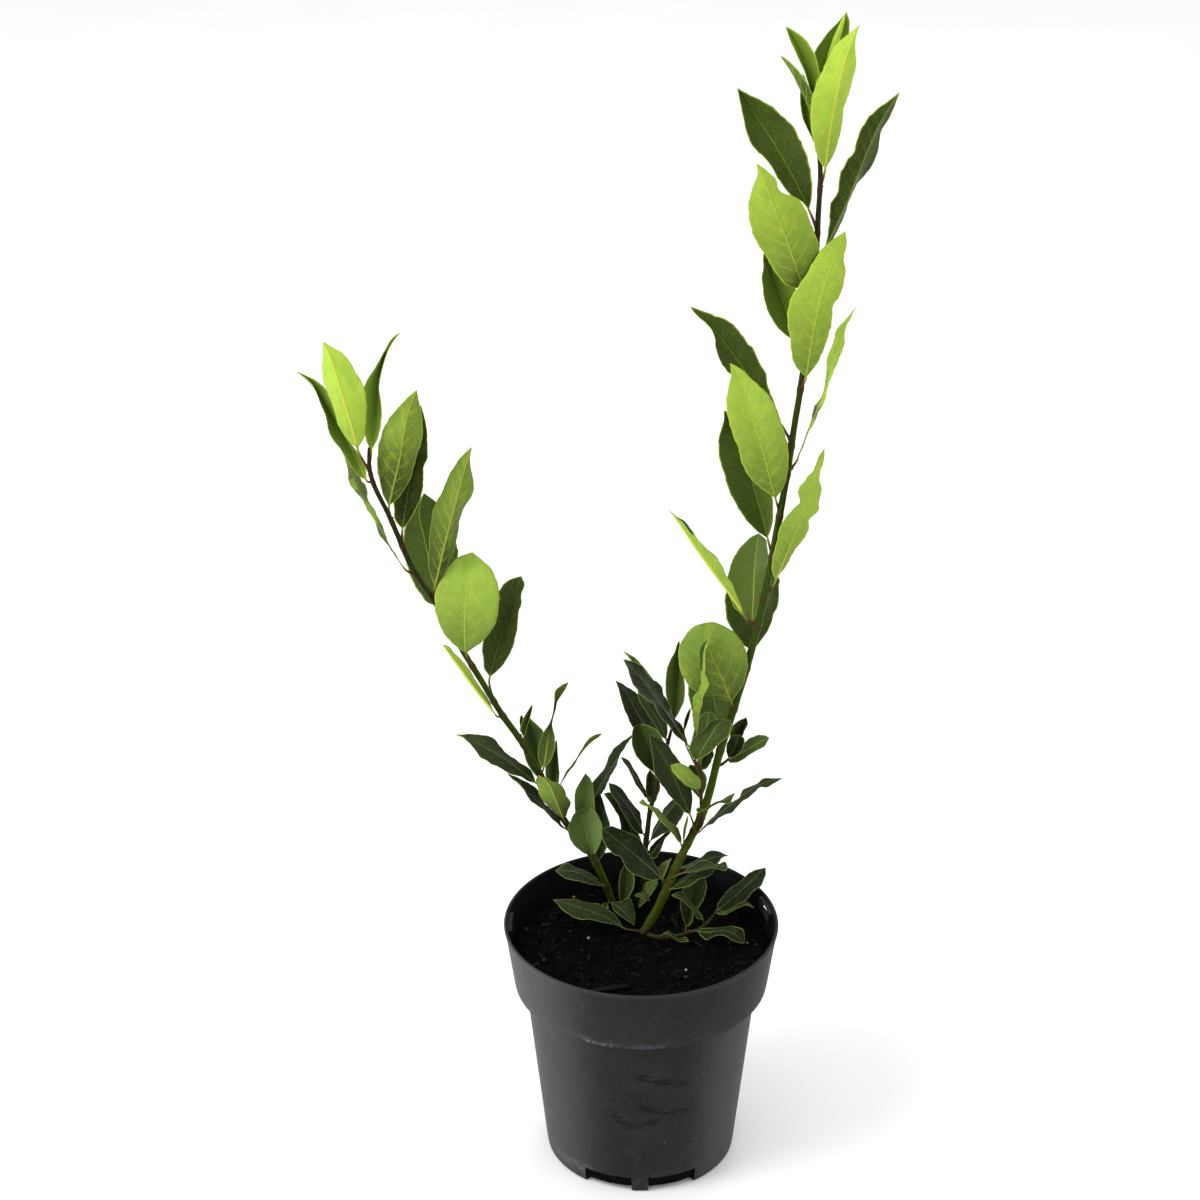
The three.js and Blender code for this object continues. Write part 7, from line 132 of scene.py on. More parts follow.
    ("leaf_h03","left_stem","A",0.3,1.0,0,[-21.9,62.0,166.5],3.0,[-22.2,51.5,173.0,-20.4,48.2,173.9,-18.6,45.0,174.7,-16.9,42.0,175.3,-15.3,39.1,175.7,-13.8,36.4,175.9,-12.3,33.8,175.8,-10.9,31.4,175.7,-9.6,29.1,175.3,-8.3,26.9,174.8,-7.1,24.9,174.2,-6.0,23.1,173.4,-4.8,21.5,172.5],[-22.2,51.5,173.0,-19.2,52.1,173.5,-16.3,51.7,174.4,-13.3,50.1,176.3,-10.8,47.7,179.7,-8.1,45.1,181.5,-6.7,42.9,179.7,-5.5,41.0,177.7,-5.0,38.4,175.9,-4.5,35.3,174.3,-4.3,31.5,173.2,-4.6,26.9,172.6,-4.8,21.5,172.5],[-22.2,51.5,173.0,-21.6,44.6,175.0,-21.0,38.7,176.4,-19.8,34.0,177.3,-18.3,30.0,178.1,-16.7,26.7,178.6,-14.9,24.1,179.0,-13.2,22.0,179.0,-11.5,20.4,178.7,-9.8,19.4,177.9,-8.2,19.1,176.7,-6.6,19.7,174.9,-4.8,21.5,172.5]),
    ("leaf_h04","left_stem","A",0.3,1.0,0,[-21.9,62.0,166.5],3.0,[-24.4,52.2,173.1,-24.8,50.7,173.2,-25.2,49.3,173.3,-25.5,47.9,173.4,-25.9,46.6,173.4,-26.2,45.3,173.4,-26.5,44.1,173.4,-26.8,42.9,173.3,-27.1,41.7,173.2,-27.4,40.6,173.1,-27.6,39.6,172.9,-27.9,38.6,172.7,-28.2,37.6,172.5],[-24.4,52.2,173.1,-25.4,49.3,174.6,-26.1,46.9,175.7,-25.5,44.7,176.1,-24.9,42.9,176.3,-24.3,41.3,176.4,-24.3,39.9,176.2,-25.0,38.7,176.1,-25.6,37.9,175.8,-26.2,37.2,175.3,-26.9,36.9,174.7,-27.6,37.0,173.7,-28.2,37.6,172.5],[-24.4,52.2,173.1,-25.5,49.3,174.6,-26.5,47.0,175.8,-27.5,45.1,176.8,-28.5,43.5,177.4,-29.0,41.8,177.4,-29.5,40.4,177.2,-30.0,39.3,176.8,-30.4,38.3,176.3,-29.8,37.5,175.7,-29.3,37.0,175.0,-28.7,37.0,173.9,-28.2,37.6,172.5]),
    ("leaf_c01","centre_stem","A",0.0,1.0,0,[19.5,65.3,303.2],1.21,[16.3,72.8,303.9,14.7,77.2,308.0,13.0,81.3,312.2,11.3,85.2,316.5,9.5,88.9,321.0,7.4,92.3,325.5,5.2,95.5,330.0,2.9,98.5,334.6,0.2,101.1,339.2,-3.1,103.3,343.5,-6.8,105.3,347.7,-10.6,107.0,352.0,-14.4,108.4,356.4],[16.3,72.8,303.9,14.0,74.6,309.0,11.6,76.8,314.0,9.1,79.4,318.6,6.5,82.2,323.1,3.9,85.1,327.6,1.5,88.0,332.1,-0.7,91.1,336.6,-2.9,94.3,341.2,-4.9,97.5,345.4,-6.9,101.1,350.2,-9.7,104.8,354.1,-14.4,108.4,356.4],[16.3,72.8,303.9,17.4,76.0,309.2,18.4,80.8,314.1,18.8,85.1,318.9,16.7,87.3,324.1,14.5,89.4,329.7,11.7,91.7,334.9,8.1,93.9,339.7,4.6,96.5,344.2,0.5,99.4,348.1,-3.6,102.6,351.9,-8.9,105.4,354.4,-14.4,108.4,356.4]),
    ("leaf_c02","inner_sprig","A",0.3,1.2,1,[42.9,12.6,299.3],1.14,[33.1,11.2,329.6,29.7,13.3,334.6,26.1,15.5,339.5,22.4,17.8,344.2,18.7,20.2,348.9,15.0,22.7,353.5,11.2,25.3,358.1,7.5,28.0,362.6,3.6,30.8,366.9,-0.4,33.6,371.1,-4.7,36.5,375.1,-9.1,39.4,378.9,-13.6,42.5,382.6],[33.1,11.2,329.6,28.0,8.1,336.0,22.9,6.5,341.7,19.4,6.7,347.8,14.9,7.5,352.7,11.0,9.2,357.8,7.9,11.7,362.9,2.8,14.2,366.2,-2.6,17.1,368.8,-5.8,21.7,372.8,-8.3,27.2,376.8,-10.8,34.1,380.1,-13.6,42.5,382.6],[33.1,11.2,329.6,31.5,18.5,333.1,29.5,24.5,337.2,25.0,28.9,340.7,21.6,32.8,344.9,19.0,36.6,350.0,16.6,40.0,355.5,13.9,42.9,361.0,8.5,44.4,365.0,3.9,45.7,370.1,-0.4,46.5,375.6,-6.6,45.3,379.3,-13.6,42.5,382.6]),
    ("leaf_c03","centre_stem","A",0.0,1.0,0,[18.3,65.1,298.4],1.29,[14.2,71.3,300.5,10.9,76.4,301.5,7.6,80.9,302.9,4.2,84.7,304.6,1.0,88.0,306.7,-1.7,90.8,309.5,-4.1,93.1,312.9,-6.2,94.8,316.7,-8.4,95.9,320.8,-10.8,96.3,325.2,-13.5,96.0,329.7,-16.5,94.9,334.3,-19.7,93.1,339.1],[14.2,71.3,300.5,9.8,72.0,303.1,4.8,72.4,303.8,-0.1,73.9,305.2,-4.7,75.7,307.0,-8.1,77.8,310.3,-9.8,80.1,314.8,-11.5,82.1,318.9,-13.5,84.0,322.8,-15.1,85.9,326.9,-16.2,87.8,331.2,-17.6,90.2,335.4,-19.7,93.1,339.1],[14.2,71.3,300.5,13.1,81.3,300.8,11.7,89.3,302.0,9.5,95.3,303.8,7.5,99.9,305.8,5.2,103.6,308.5,2.9,106.1,311.5,0.4,107.6,315.1,-2.6,108.1,319.6,-6.2,107.0,324.0,-11.0,104.1,328.1,-15.2,99.8,333.7,-19.7,93.1,339.1]),
    ("leaf_c04","centre_stem","A",0.05,1.0,0,[18.9,65.2,300.8],1.25,[17.8,64.0,305.7,16.4,65.0,308.9,15.1,66.0,312.0,13.7,67.1,315.0,12.1,68.2,318.0,10.5,69.4,320.8,8.7,70.7,323.5,6.8,72.1,326.1,4.8,73.5,328.7,2.8,75.0,331.1,0.8,76.6,333.5,-1.3,78.3,335.8,-3.3,80.1,338.1],[17.8,64.0,305.7,14.8,60.6,309.9,12.9,58.8,314.3,11.1,58.0,318.1,9.1,57.9,321.5,7.1,58.4,324.5,5.3,59.5,327.4,3.6,61.1,330.0,1.5,63.2,332.1,-0.6,65.9,333.9,-1.7,69.4,335.9,-2.7,74.1,337.3,-3.3,80.1,338.1],[17.8,64.0,305.7,18.8,69.0,307.2,19.0,73.1,309.4,18.6,76.3,312.3,17.6,78.9,315.1,16.2,81.0,318.1,14.5,82.6,320.9,12.3,83.9,323.9,9.8,84.6,326.8,6.9,84.9,329.7,3.8,84.4,332.5,0.4,82.9,335.3,-3.3,80.1,338.1]),
    ("leaf_c05","centre_stem","A",0.05,1.0,0,[20.5,65.6,307.9],1.13,[23.2,73.9,315.8,24.3,77.2,319.6,25.1,80.5,323.4,25.5,83.6,327.4,25.8,86.6,331.5,26.1,89.4,335.6,26.4,92.1,339.9,26.8,94.6,344.2,27.1,97.0,348.6,27.4,99.2,353.1,27.5,101.3,357.6,27.5,103.3,362.2,27.3,105.0,366.9],[23.2,73.9,315.8,21.8,73.1,321.9,20.0,73.6,327.5,18.6,74.9,332.1,17.5,76.9,336.8,17.1,79.1,341.5,17.4,81.7,346.0,17.7,84.5,350.3,18.9,87.4,354.3,20.8,90.5,358.1,23.6,94.3,361.4,25.1,99.2,364.6,27.3,105.0,366.9],[23.2,73.9,315.8,26.1,72.9,321.2,28.5,73.2,326.5,30.6,74.3,331.2,31.4,76.0,336.0,31.5,78.2,340.7,31.2,80.6,344.9,30.4,83.4,349.2,29.5,86.5,353.3,28.7,90.0,357.2,28.1,94.1,360.9,27.6,99.0,364.2,27.3,105.0,366.9]),
    ("leaf_d01","inner_sprig","A",0.1,1.0,0,[42.8,12.3,301.4],1.13,[30.2,24.9,333.9,30.4,25.6,335.1,30.7,26.4,336.4,30.9,27.1,337.6,31.2,27.8,338.9,31.5,28.5,340.1,32.0,29.1,341.3,32.4,29.8,342.5,32.9,30.4,343.8,33.4,31.0,345.0,33.8,31.6,346.3,34.3,32.2,347.5,34.8,32.7,348.8],[30.2,24.9,333.9,29.9,24.3,335.9,29.9,24.0,337.7,29.9,24.2,339.3,30.1,24.5,340.8,30.4,24.9,342.3,30.8,25.5,343.6,31.3,26.3,344.8,31.8,27.1,345.9,32.4,28.1,346.9,33.1,29.3,347.7,33.9,30.9,348.4,34.8,32.7,348.8],[30.2,24.9,333.9,31.0,24.2,335.7,31.6,23.9,337.4,32.0,24.0,338.9,32.5,24.3,340.3,33.0,24.7,341.7,33.4,25.3,342.9,33.8,26.0,344.1,34.2,26.9,345.3,34.5,27.9,346.4,34.8,29.2,347.3,34.9,30.8,348.2,34.8,32.7,348.8]),
    ("leaf_c06","centre_stem","A",0.2,1.0,1,[11.8,63.5,269.6],1.62,[10.2,62.3,276.1,9.6,63.0,279.5,9.0,63.9,283.0,8.4,64.8,286.3,7.7,65.8,289.7,7.0,66.8,292.9,5.9,67.9,296.0,4.5,69.1,298.9,2.9,70.3,301.8,1.2,71.5,304.5,-0.3,72.8,307.2,-1.2,74.3,309.8,-1.3,75.8,312.4],[10.2,62.3,276.1,7.9,58.1,282.2,4.7,54.9,286.5,1.6,53.2,290.3,-1.1,52.8,293.9,-3.6,53.4,297.1,-5.1,54.3,299.8,-6.3,55.7,302.3,-7.1,57.7,305.2,-7.3,61.3,310.0,-6.9,65.0,312.4,-5.0,70.0,313.7,-1.3,75.8,312.4],[10.2,62.3,276.1,12.8,58.2,282.2,15.4,55.9,287.4,17.3,55.5,292.6,18.4,55.9,297.0,18.5,56.7,301.4,17.0,57.8,305.4,15.1,59.6,309.1,13.1,62.2,311.7,10.8,65.1,313.6,6.9,67.6,314.3,2.9,71.0,314.2,-1.3,75.8,312.4]),
    ("leaf_d03","centre_stem","A",0.1,1.0,0,[6.3,62.1,245.4],1.78,[5.5,63.3,257.7,3.4,63.5,260.1,1.3,63.8,262.5,-0.5,64.4,264.9,-2.1,65.0,267.5,-3.6,65.9,270.1,-5.1,66.8,272.7,-6.5,67.9,275.2,-8.0,69.1,277.6,-9.5,70.3,279.9,-11.3,71.6,282.0,-13.3,72.9,283.9,-15.5,74.3,285.5],[5.5,63.3,257.7,2.9,60.2,258.9,1.1,58.9,262.8,-0.8,58.2,266.1,-2.8,58.1,269.1,-4.4,58.5,272.0,-5.7,59.5,274.8,-7.1,60.7,277.4,-8.7,62.4,279.7,-10.3,64.4,281.7,-12.2,66.9,283.3,-14.0,70.1,284.6,-15.5,74.3,285.5],[5.5,63.3,257.7,3.8,66.2,259.1,2.8,68.6,261.2,1.6,70.4,263.4,-0.1,71.8,265.6,-1.7,73.1,268.0,-3.2,74.3,270.6,-4.6,75.2,273.2,-6.2,76.0,275.9,-7.9,76.5,278.7,-9.8,76.7,281.4,-12.6,75.9,283.5,-15.5,74.3,285.5]),
    ("leaf_d06","centre_stem","A",0.05,1.0,0,[6.7,62.3,247.8],1.77,[7.0,68.4,249.7,6.9,70.2,251.1,6.7,71.8,252.5,6.6,73.4,254.0,6.4,74.8,255.6,6.3,76.1,257.2,6.3,77.2,258.9,6.3,78.2,260.8,6.2,79.1,262.6,6.2,79.9,264.6,6.2,80.5,266.6,6.2,81.0,268.7,6.2,81.3,270.9],[7.0,68.4,249.7,5.0,67.0,251.6,4.1,66.7,254.2,3.8,67.1,256.5,3.4,67.7,258.7,3.1,68.6,260.8,3.0,69.7,262.7,3.2,70.9,264.6,3.3,72.4,266.4,3.5,74.0,268.0,3.9,75.9,269.5,5.0,78.3,270.4,6.2,81.3,270.9],[7.0,68.4,249.7,9.5,67.4,250.8,11.1,67.4,253.0,11.7,67.9,255.5,12.7,68.9,257.7,13.6,70.3,259.6,14.0,71.6,261.7,13.4,72.5,263.9,12.2,73.4,266.0,11.0,74.5,267.9,9.4,76.0,269.3,7.8,78.3,270.3,6.2,81.3,270.9]),
    ("leaf_g03","centre_stem","A",0.1,1.0,1,[3.5,61.2,222.7],1.91,[1.7,58.3,228.9,0.4,59.1,232.4,-1.5,59.8,235.8,-3.6,60.6,239.1,-5.6,61.6,242.4,-7.6,62.7,245.5,-9.8,63.9,248.5,-12.1,65.2,251.2,-14.7,66.5,253.8,-17.2,68.0,256.3,-19.6,69.7,258.7,-22.0,71.6,261.2,-24.4,73.6,263.6],[1.7,58.3,228.9,-1.6,53.9,231.7,-5.4,51.5,236.6,-7.9,50.3,241.0,-10.1,49.9,244.8,-11.8,50.3,248.5,-13.6,51.4,251.8,-15.6,53.0,254.6,-17.6,55.4,257.3,-19.9,58.3,259.5,-22.2,62.0,261.2,-23.7,67.1,262.7,-24.4,73.6,263.6],[1.7,58.3,228.9,0.7,63.1,230.9,0.5,67.2,233.2,-0.2,70.3,235.9,-0.9,72.9,239.1,-3.6,74.7,241.8,-6.3,76.1,244.6,-8.8,77.2,247.7,-11.2,78.1,251.1,-13.4,78.5,254.6,-16.3,78.2,257.8,-19.9,76.7,261.0,-24.4,73.6,263.6]),
    ("leaf_g03b","centre_stem","A",0.05,1.0,1,[2.8,60.9,215.0],1.95,[-1.0,54.7,220.8,-3.3,55.1,224.5,-5.4,55.7,228.1,-7.3,56.6,231.8,-9.0,57.6,235.5,-10.7,58.7,239.1,-12.3,60.0,242.7,-14.0,61.4,246.1,-16.0,62.9,249.3,-18.4,64.5,252.2,-21.2,65.9,254.6,-24.6,67.2,256.3,-28.2,68.5,257.5],[-1.0,54.7,220.8,-5.1,50.6,224.3,-10.0,48.1,227.7,-12.7,47.0,232.4,-14.4,46.5,237.1,-15.1,47.1,241.8,-15.6,48.3,245.7,-16.8,50.1,249.2,-18.8,52.1,251.8,-20.9,54.8,253.9,-23.1,58.1,255.6,-25.6,62.7,256.9,-28.2,68.5,257.5],[-1.0,54.7,220.8,-0.3,59.4,223.4,-1.7,63.0,225.9,-3.3,65.7,228.9,-5.1,67.9,232.0,-6.9,69.7,235.3,-9.0,71.3,238.9,-11.0,72.5,242.5,-13.5,73.4,246.1,-16.3,73.9,250.0,-19.6,73.7,253.6,-23.8,72.2,256.6,-28.2,68.5,257.5]),
    ("leaf_g04","centre_stem","A",0.1,1.0,1,[2.7,60.8,212.5],1.96,[6.5,67.7,217.5,8.1,69.9,219.7,9.7,71.9,222.1,11.5,73.9,224.5,13.3,75.7,226.8,15.3,77.4,229.1,17.4,79.0,231.4,19.6,80.5,233.8,21.8,81.8,236.1,24.2,83.0,238.4,26.7,84.0,240.6,29.2,84.9,242.8,31.8,85.8,245.1],[6.5,67.7,217.5,7.2,74.9,217.4,8.2,80.7,218.2,9.7,85.0,219.7,11.4,88.5,221.6,13.2,91.3,223.8,15.0,93.3,226.4,16.4,94.8,229.6,18.9,95.4,232.5,21.5,95.1,235.8,24.5,93.9,239.0,28.2,90.6,241.6,31.8,85.8,245.1],[6.5,67.7,217.5,9.8,64.5,221.5,13.0,62.7,224.8,16.4,61.9,227.4,19.8,61.8,229.2,23.0,62.5,231.2,26.0,63.9,233.1,27.8,65.8,235.4,29.6,68.0,237.5,31.2,71.2,240.6,32.4,74.8,242.7,32.5,79.6,244.3,31.8,85.8,245.1]),
    ("leaf_g05","centre_stem","A",0.05,1.0,0,[2.3,60.5,204.8],2.0,[5.7,58.6,209.9,7.2,58.8,211.4,8.7,59.1,213.0,10.1,59.5,214.6,11.4,60.0,216.2,12.6,60.5,217.8,13.8,61.1,219.5,15.0,61.7,221.0,16.4,62.3,222.5,17.8,63.0,223.8,19.3,63.6,225.1,20.8,64.4,226.4,22.3,65.1,227.7],[5.7,58.6,209.9,5.8,61.6,210.8,5.9,63.8,212.1,6.7,65.6,213.6,8.3,66.9,214.8,9.8,67.9,216.3,11.4,68.6,217.8,13.2,69.0,219.2,15.0,69.2,220.9,16.7,69.1,222.7,18.4,68.6,224.7,20.1,67.6,227.1,22.3,65.1,227.7],[5.7,58.6,209.9,7.6,56.0,209.6,9.9,54.2,210.3,11.7,53.1,212.8,12.8,52.4,215.7,13.9,52.5,218.2,14.9,53.2,220.4,15.7,54.2,222.5,16.5,55.5,224.3,17.4,57.2,226.0,19.1,59.1,226.8,20.9,61.7,227.3,22.3,65.1,227.7]),
    ("leaf_h05","left_stem","A",0.1,1.0,0,[-21.9,62.0,166.5],3.0,[-14.3,46.2,177.3,-14.0,47.5,179.2,-13.7,48.9,181.0,-13.4,50.5,182.7,-13.0,52.2,184.3,-12.5,54.0,185.9,-12.2,56.0,187.3,-12.1,58.2,188.7,-12.1,60.5,190.0,-12.2,62.9,191.3,-12.3,65.5,192.4,-12.6,68.2,193.5,-13.0,71.1,194.4],[-14.3,46.2,177.3,-16.0,44.2,180.4,-16.3,43.6,183.6,-16.5,43.9,186.2,-16.6,44.7,188.5,-16.6,46.1,190.5,-16.5,48.0,192.2,-16.5,50.4,193.5,-16.2,53.2,194.6,-15.7,56.6,195.4,-15.1,60.5,195.7,-14.0,65.3,195.3,-13.0,71.1,194.4],[-14.3,46.2,177.3,-11.7,44.4,180.1,-9.3,43.7,182.4,-8.0,44.2,185.1,-6.7,45.3,187.5,-5.5,46.9,189.6,-5.2,49.1,191.6,-4.9,51.7,193.4,-5.3,54.8,194.9,-6.2,58.2,196.0,-8.1,61.7,196.5,-10.2,66.1,196.3,-13.0,71.1,194.4]),
    ("leaf_h06","centre_stem","B",0.1,1.0,0,[0.6,59.4,176.3],2.15,[-0.8,46.2,175.6,0.1,45.2,178.1,1.1,44.4,180.4,2.1,43.9,182.5,3.1,43.7,184.4,4.1,43.8,186.2,5.1,44.1,187.7,6.2,44.7,189.1,7.2,45.6,190.3,8.3,46.7,191.3,9.4,48.1,192.2,10.6,49.7,192.8,11.8,51.7,193.3],[-0.8,46.2,175.6,-2.3,45.8,173.3,-2.2,47.9,174.5,-1.5,49.8,176.3,-0.9,51.0,178.5,-0.2,52.1,180.8,0.6,53.0,183.1,1.5,53.8,185.4,2.5,54.5,187.8,4.2,54.8,189.7,6.7,54.4,190.6,9.2,53.4,191.8,11.8,51.7,193.3],[-0.8,46.2,175.6,-1.6,41.3,175.9,-0.4,37.5,178.5,1.3,35.1,182.0,3.1,33.7,184.9,4.7,33.4,187.3,6.1,33.7,189.4,7.6,34.7,191.1,9.0,36.4,192.4,10.4,38.7,193.4,11.5,41.9,194.0,12.6,46.2,194.0,11.8,51.7,193.3]),
    ("leaf_h07","centre_stem","A",0.1,1.0,0,[0.3,59.2,171.1],2.17,[-5.3,49.5,180.5,-4.2,45.7,183.4,-3.1,42.3,185.9,-2.0,39.3,187.9,-1.0,36.8,189.4,0.0,34.6,190.3,1.0,32.9,190.7,2.0,31.7,190.8,3.0,31.0,190.6,4.0,30.8,190.0,5.0,31.1,189.1,6.0,31.9,187.9,7.0,33.2,186.4],[-5.3,49.5,180.5,-4.5,47.3,183.1,-3.5,45.0,185.5,-2.3,42.8,187.4,-1.0,40.8,188.8,0.3,38.9,189.7,1.5,37.3,190.1,2.7,36.0,190.2,3.7,35.0,190.0,4.7,34.2,189.5,5.7,33.8,188.6,6.4,33.4,187.6,7.0,33.2,186.4],[-5.3,49.5,180.5,-4.3,44.1,183.6,-3.2,39.5,186.2,-2.1,35.8,188.4,-1.1,32.7,189.8,-0.2,30.3,190.7,0.8,28.5,191.2,1.7,27.4,191.3,2.7,27.0,191.1,3.8,27.3,190.5,4.8,28.3,189.6,5.9,30.3,188.2,7.0,33.2,186.4]),
    ("leaf_k03","low_branch","A",0.0,1.0,0,[32.8,9.8,173.0],1.29,[33.1,14.8,175.5,33.9,17.6,177.8,34.6,20.1,180.1,35.3,22.5,182.6,36.0,24.7,185.2,36.7,26.6,188.0,37.4,28.4,190.9,37.9,30.0,193.9,38.4,31.3,197.1,39.4,32.4,200.1,41.2,33.0,202.8,43.7,33.2,205.1,46.7,33.0,207.0],[33.1,14.8,175.5,31.8,14.2,180.3,30.6,14.5,184.5,29.6,15.7,188.3,28.8,17.3,191.8,28.8,19.0,195.0,29.1,20.9,198.2,29.6,22.6,201.3,32.6,24.2,204.7,35.3,25.8,206.9,38.9,27.8,208.0,42.7,30.2,208.2,46.7,33.0,207.0],[33.1,14.8,175.5,36.1,13.4,178.3,37.9,13.3,181.8,38.4,14.1,185.3,39.3,15.2,188.5,41.8,16.3,190.8,43.9,18.2,193.0,45.6,20.7,195.0,47.0,23.8,196.8,48.0,27.0,198.8,48.4,29.2,201.5,47.9,30.8,204.5,46.7,33.0,207.0]),
    ("leaf_k04","low_branch","A",0.05,1.0,0,[46.2,14.6,176.7],1.07,[45.4,11.8,184.0,44.1,11.1,187.1,42.6,10.6,189.9,40.9,10.2,192.4,39.1,10.1,194.8,37.3,10.1,196.9,35.5,10.4,198.9,33.6,10.9,200.7,31.6,11.6,202.3,29.5,12.4,203.4,27.2,13.1,204.0,24.8,13.8,203.7,22.3,14.6,202.9],[45.4,11.8,184.0,42.8,8.5,186.5,40.4,6.1,189.1,39.5,4.6,192.8,38.3,3.8,195.9,36.7,3.5,198.4,34.9,3.7,200.4,33.1,4.3,202.1,31.1,5.3,203.4,29.2,6.8,204.3,26.8,8.5,204.2,24.5,11.0,203.6,22.3,14.6,202.9],[45.4,11.8,184.0,45.0,13.5,186.3,43.5,14.6,188.4,41.6,15.3,190.5,39.6,15.9,192.6,37.5,16.4,194.7,35.6,16.9,196.9,33.9,17.5,199.2,32.1,18.0,201.5,30.1,18.4,203.6,27.2,17.9,204.2,24.5,16.6,203.8,22.3,14.6,202.9]),
    ("leaf_k05","low_branch","A",0.1,1.0,0,[54.2,22.6,182.0],0.9,[56.1,24.5,184.3,59.2,26.1,185.3,62.3,28.0,186.8,65.3,30.1,188.7,68.3,32.1,190.6,71.4,34.2,192.4,74.5,36.2,194.3,77.6,38.3,196.2,80.6,40.4,198.1,83.6,42.6,200.1,86.6,44.7,202.1,89.5,46.9,204.2,92.4,49.1,206.2],[56.1,24.5,184.3,56.4,30.6,185.5,58.6,35.5,186.3,61.1,39.8,187.6,63.7,43.3,189.3,67.0,46.1,190.8,70.8,48.2,192.1,74.0,50.0,194.0,77.2,51.6,196.6,80.2,52.6,199.3,84.0,52.6,201.5,88.1,51.5,203.7,92.4,49.1,206.2],[56.1,24.5,184.3,60.3,21.2,184.9,64.5,20.0,187.2,68.4,20.1,189.7,71.9,21.0,192.0,76.0,22.0,193.3,79.1,24.1,195.8,81.3,26.7,198.4,85.1,29.5,199.6,88.6,33.0,200.5,90.6,37.4,202.6,92.2,42.5,204.4,92.4,49.1,206.2]),
    ("leaf_k06","low_branch","A",0.2,1.0,0,[54.2,22.6,182.0],0.9,[55.6,20.4,184.3,58.1,20.0,184.6,60.6,19.8,185.1,63.0,19.7,185.7,65.2,20.0,186.7,67.4,20.4,187.9,69.7,20.9,189.0,72.0,21.4,189.9,74.3,21.9,190.5,76.7,22.4,190.7,79.0,22.6,190.2,81.1,22.6,189.0,83.2,22.5,187.5],[55.6,20.4,184.3,58.3,21.6,183.6,60.9,22.3,183.0,63.2,23.3,183.9,65.4,24.3,185.1,67.5,25.1,186.4,69.7,25.9,187.7,72.2,26.3,188.5,74.7,26.5,189.4,77.2,26.6,190.3,79.6,25.9,189.7,81.4,24.4,188.5,83.2,22.5,187.5],[55.6,20.4,184.3,57.7,17.9,184.5,60.2,16.4,185.4,62.6,15.4,186.1,64.7,15.3,187.8,66.8,15.5,189.2,68.9,16.0,190.5,71.1,16.7,191.4,73.5,17.5,191.9,75.9,18.6,192.1,78.4,19.6,191.4,80.9,20.8,189.8,83.2,22.5,187.5]),
    ("leaf_k07","low_branch","A",0.1,0.8,0,[36.3,11.3,173.4],1.23,[41.7,6.1,177.6,44.7,4.3,178.1,47.8,2.9,178.8,50.9,1.8,179.6,53.9,1.0,180.6,57.0,0.5,181.4,60.1,0.0,181.8,63.1,-0.5,181.6,66.1,-1.0,180.8,68.8,-1.5,179.5,71.2,-2.0,177.5,73.3,-2.5,175.2,75.4,-2.8,172.5],[41.7,6.1,177.6,44.9,8.0,178.9,48.5,8.7,178.8,51.7,8.8,178.6,55.1,8.7,178.8,58.6,8.7,179.6,62.1,8.7,180.4,65.9,8.3,181.0,69.6,6.6,181.0,74.5,4.4,180.8,75.9,2.2,178.1,76.0,0.1,175.0,75.4,-2.8,172.5],[41.7,6.1,177.6,43.2,1.1,177.5,45.4,-2.5,177.1,48.3,-5.3,177.3,51.0,-7.0,180.3,53.9,-8.0,182.7,57.0,-8.5,183.7,60.2,-8.8,183.5,63.2,-8.9,182.1,65.8,-8.7,179.5,68.8,-7.7,177.4,72.0,-5.9,175.1,75.4,-2.8,172.5]),
    ("leaf_k08","low_branch","A",0.1,1.0,0,[16.7,6.1,171.6],1.53,[14.7,2.4,176.1,16.3,2.1,177.3,18.0,1.8,178.4,19.6,1.3,178.9,21.2,0.7,178.7,22.8,0.0,178.0,24.4,-0.7,177.2,26.1,-1.1,176.5,27.8,-1.4,175.9,29.6,-1.6,175.2,31.4,-1.6,174.6,33.2,-1.4,174.0,35.1,-1.1,173.3],[14.7,2.4,176.1,16.3,3.6,176.9,18.0,4.5,177.8,19.9,4.8,178.4,21.7,4.3,177.4,23.4,3.7,176.4,25.0,3.1,175.3,26.6,2.3,174.2,28.7,2.0,174.1,30.7,1.7,174.8,32.7,1.2,175.7,34.0,0.1,174.6,35.1,-1.1,173.3],[14.7,2.4,176.1,16.4,0.7,178.0,18.2,-0.8,179.1,20.1,-2.0,179.8,21.7,-3.1,179.7,23.0,-4.2,178.8,24.4,-5.0,177.8,26.0,-5.4,177.1,27.7,-5.5,176.3,29.5,-5.2,175.4,31.3,-4.3,175.0,33.2,-3.0,174.3,35.1,-1.1,173.3]),
]
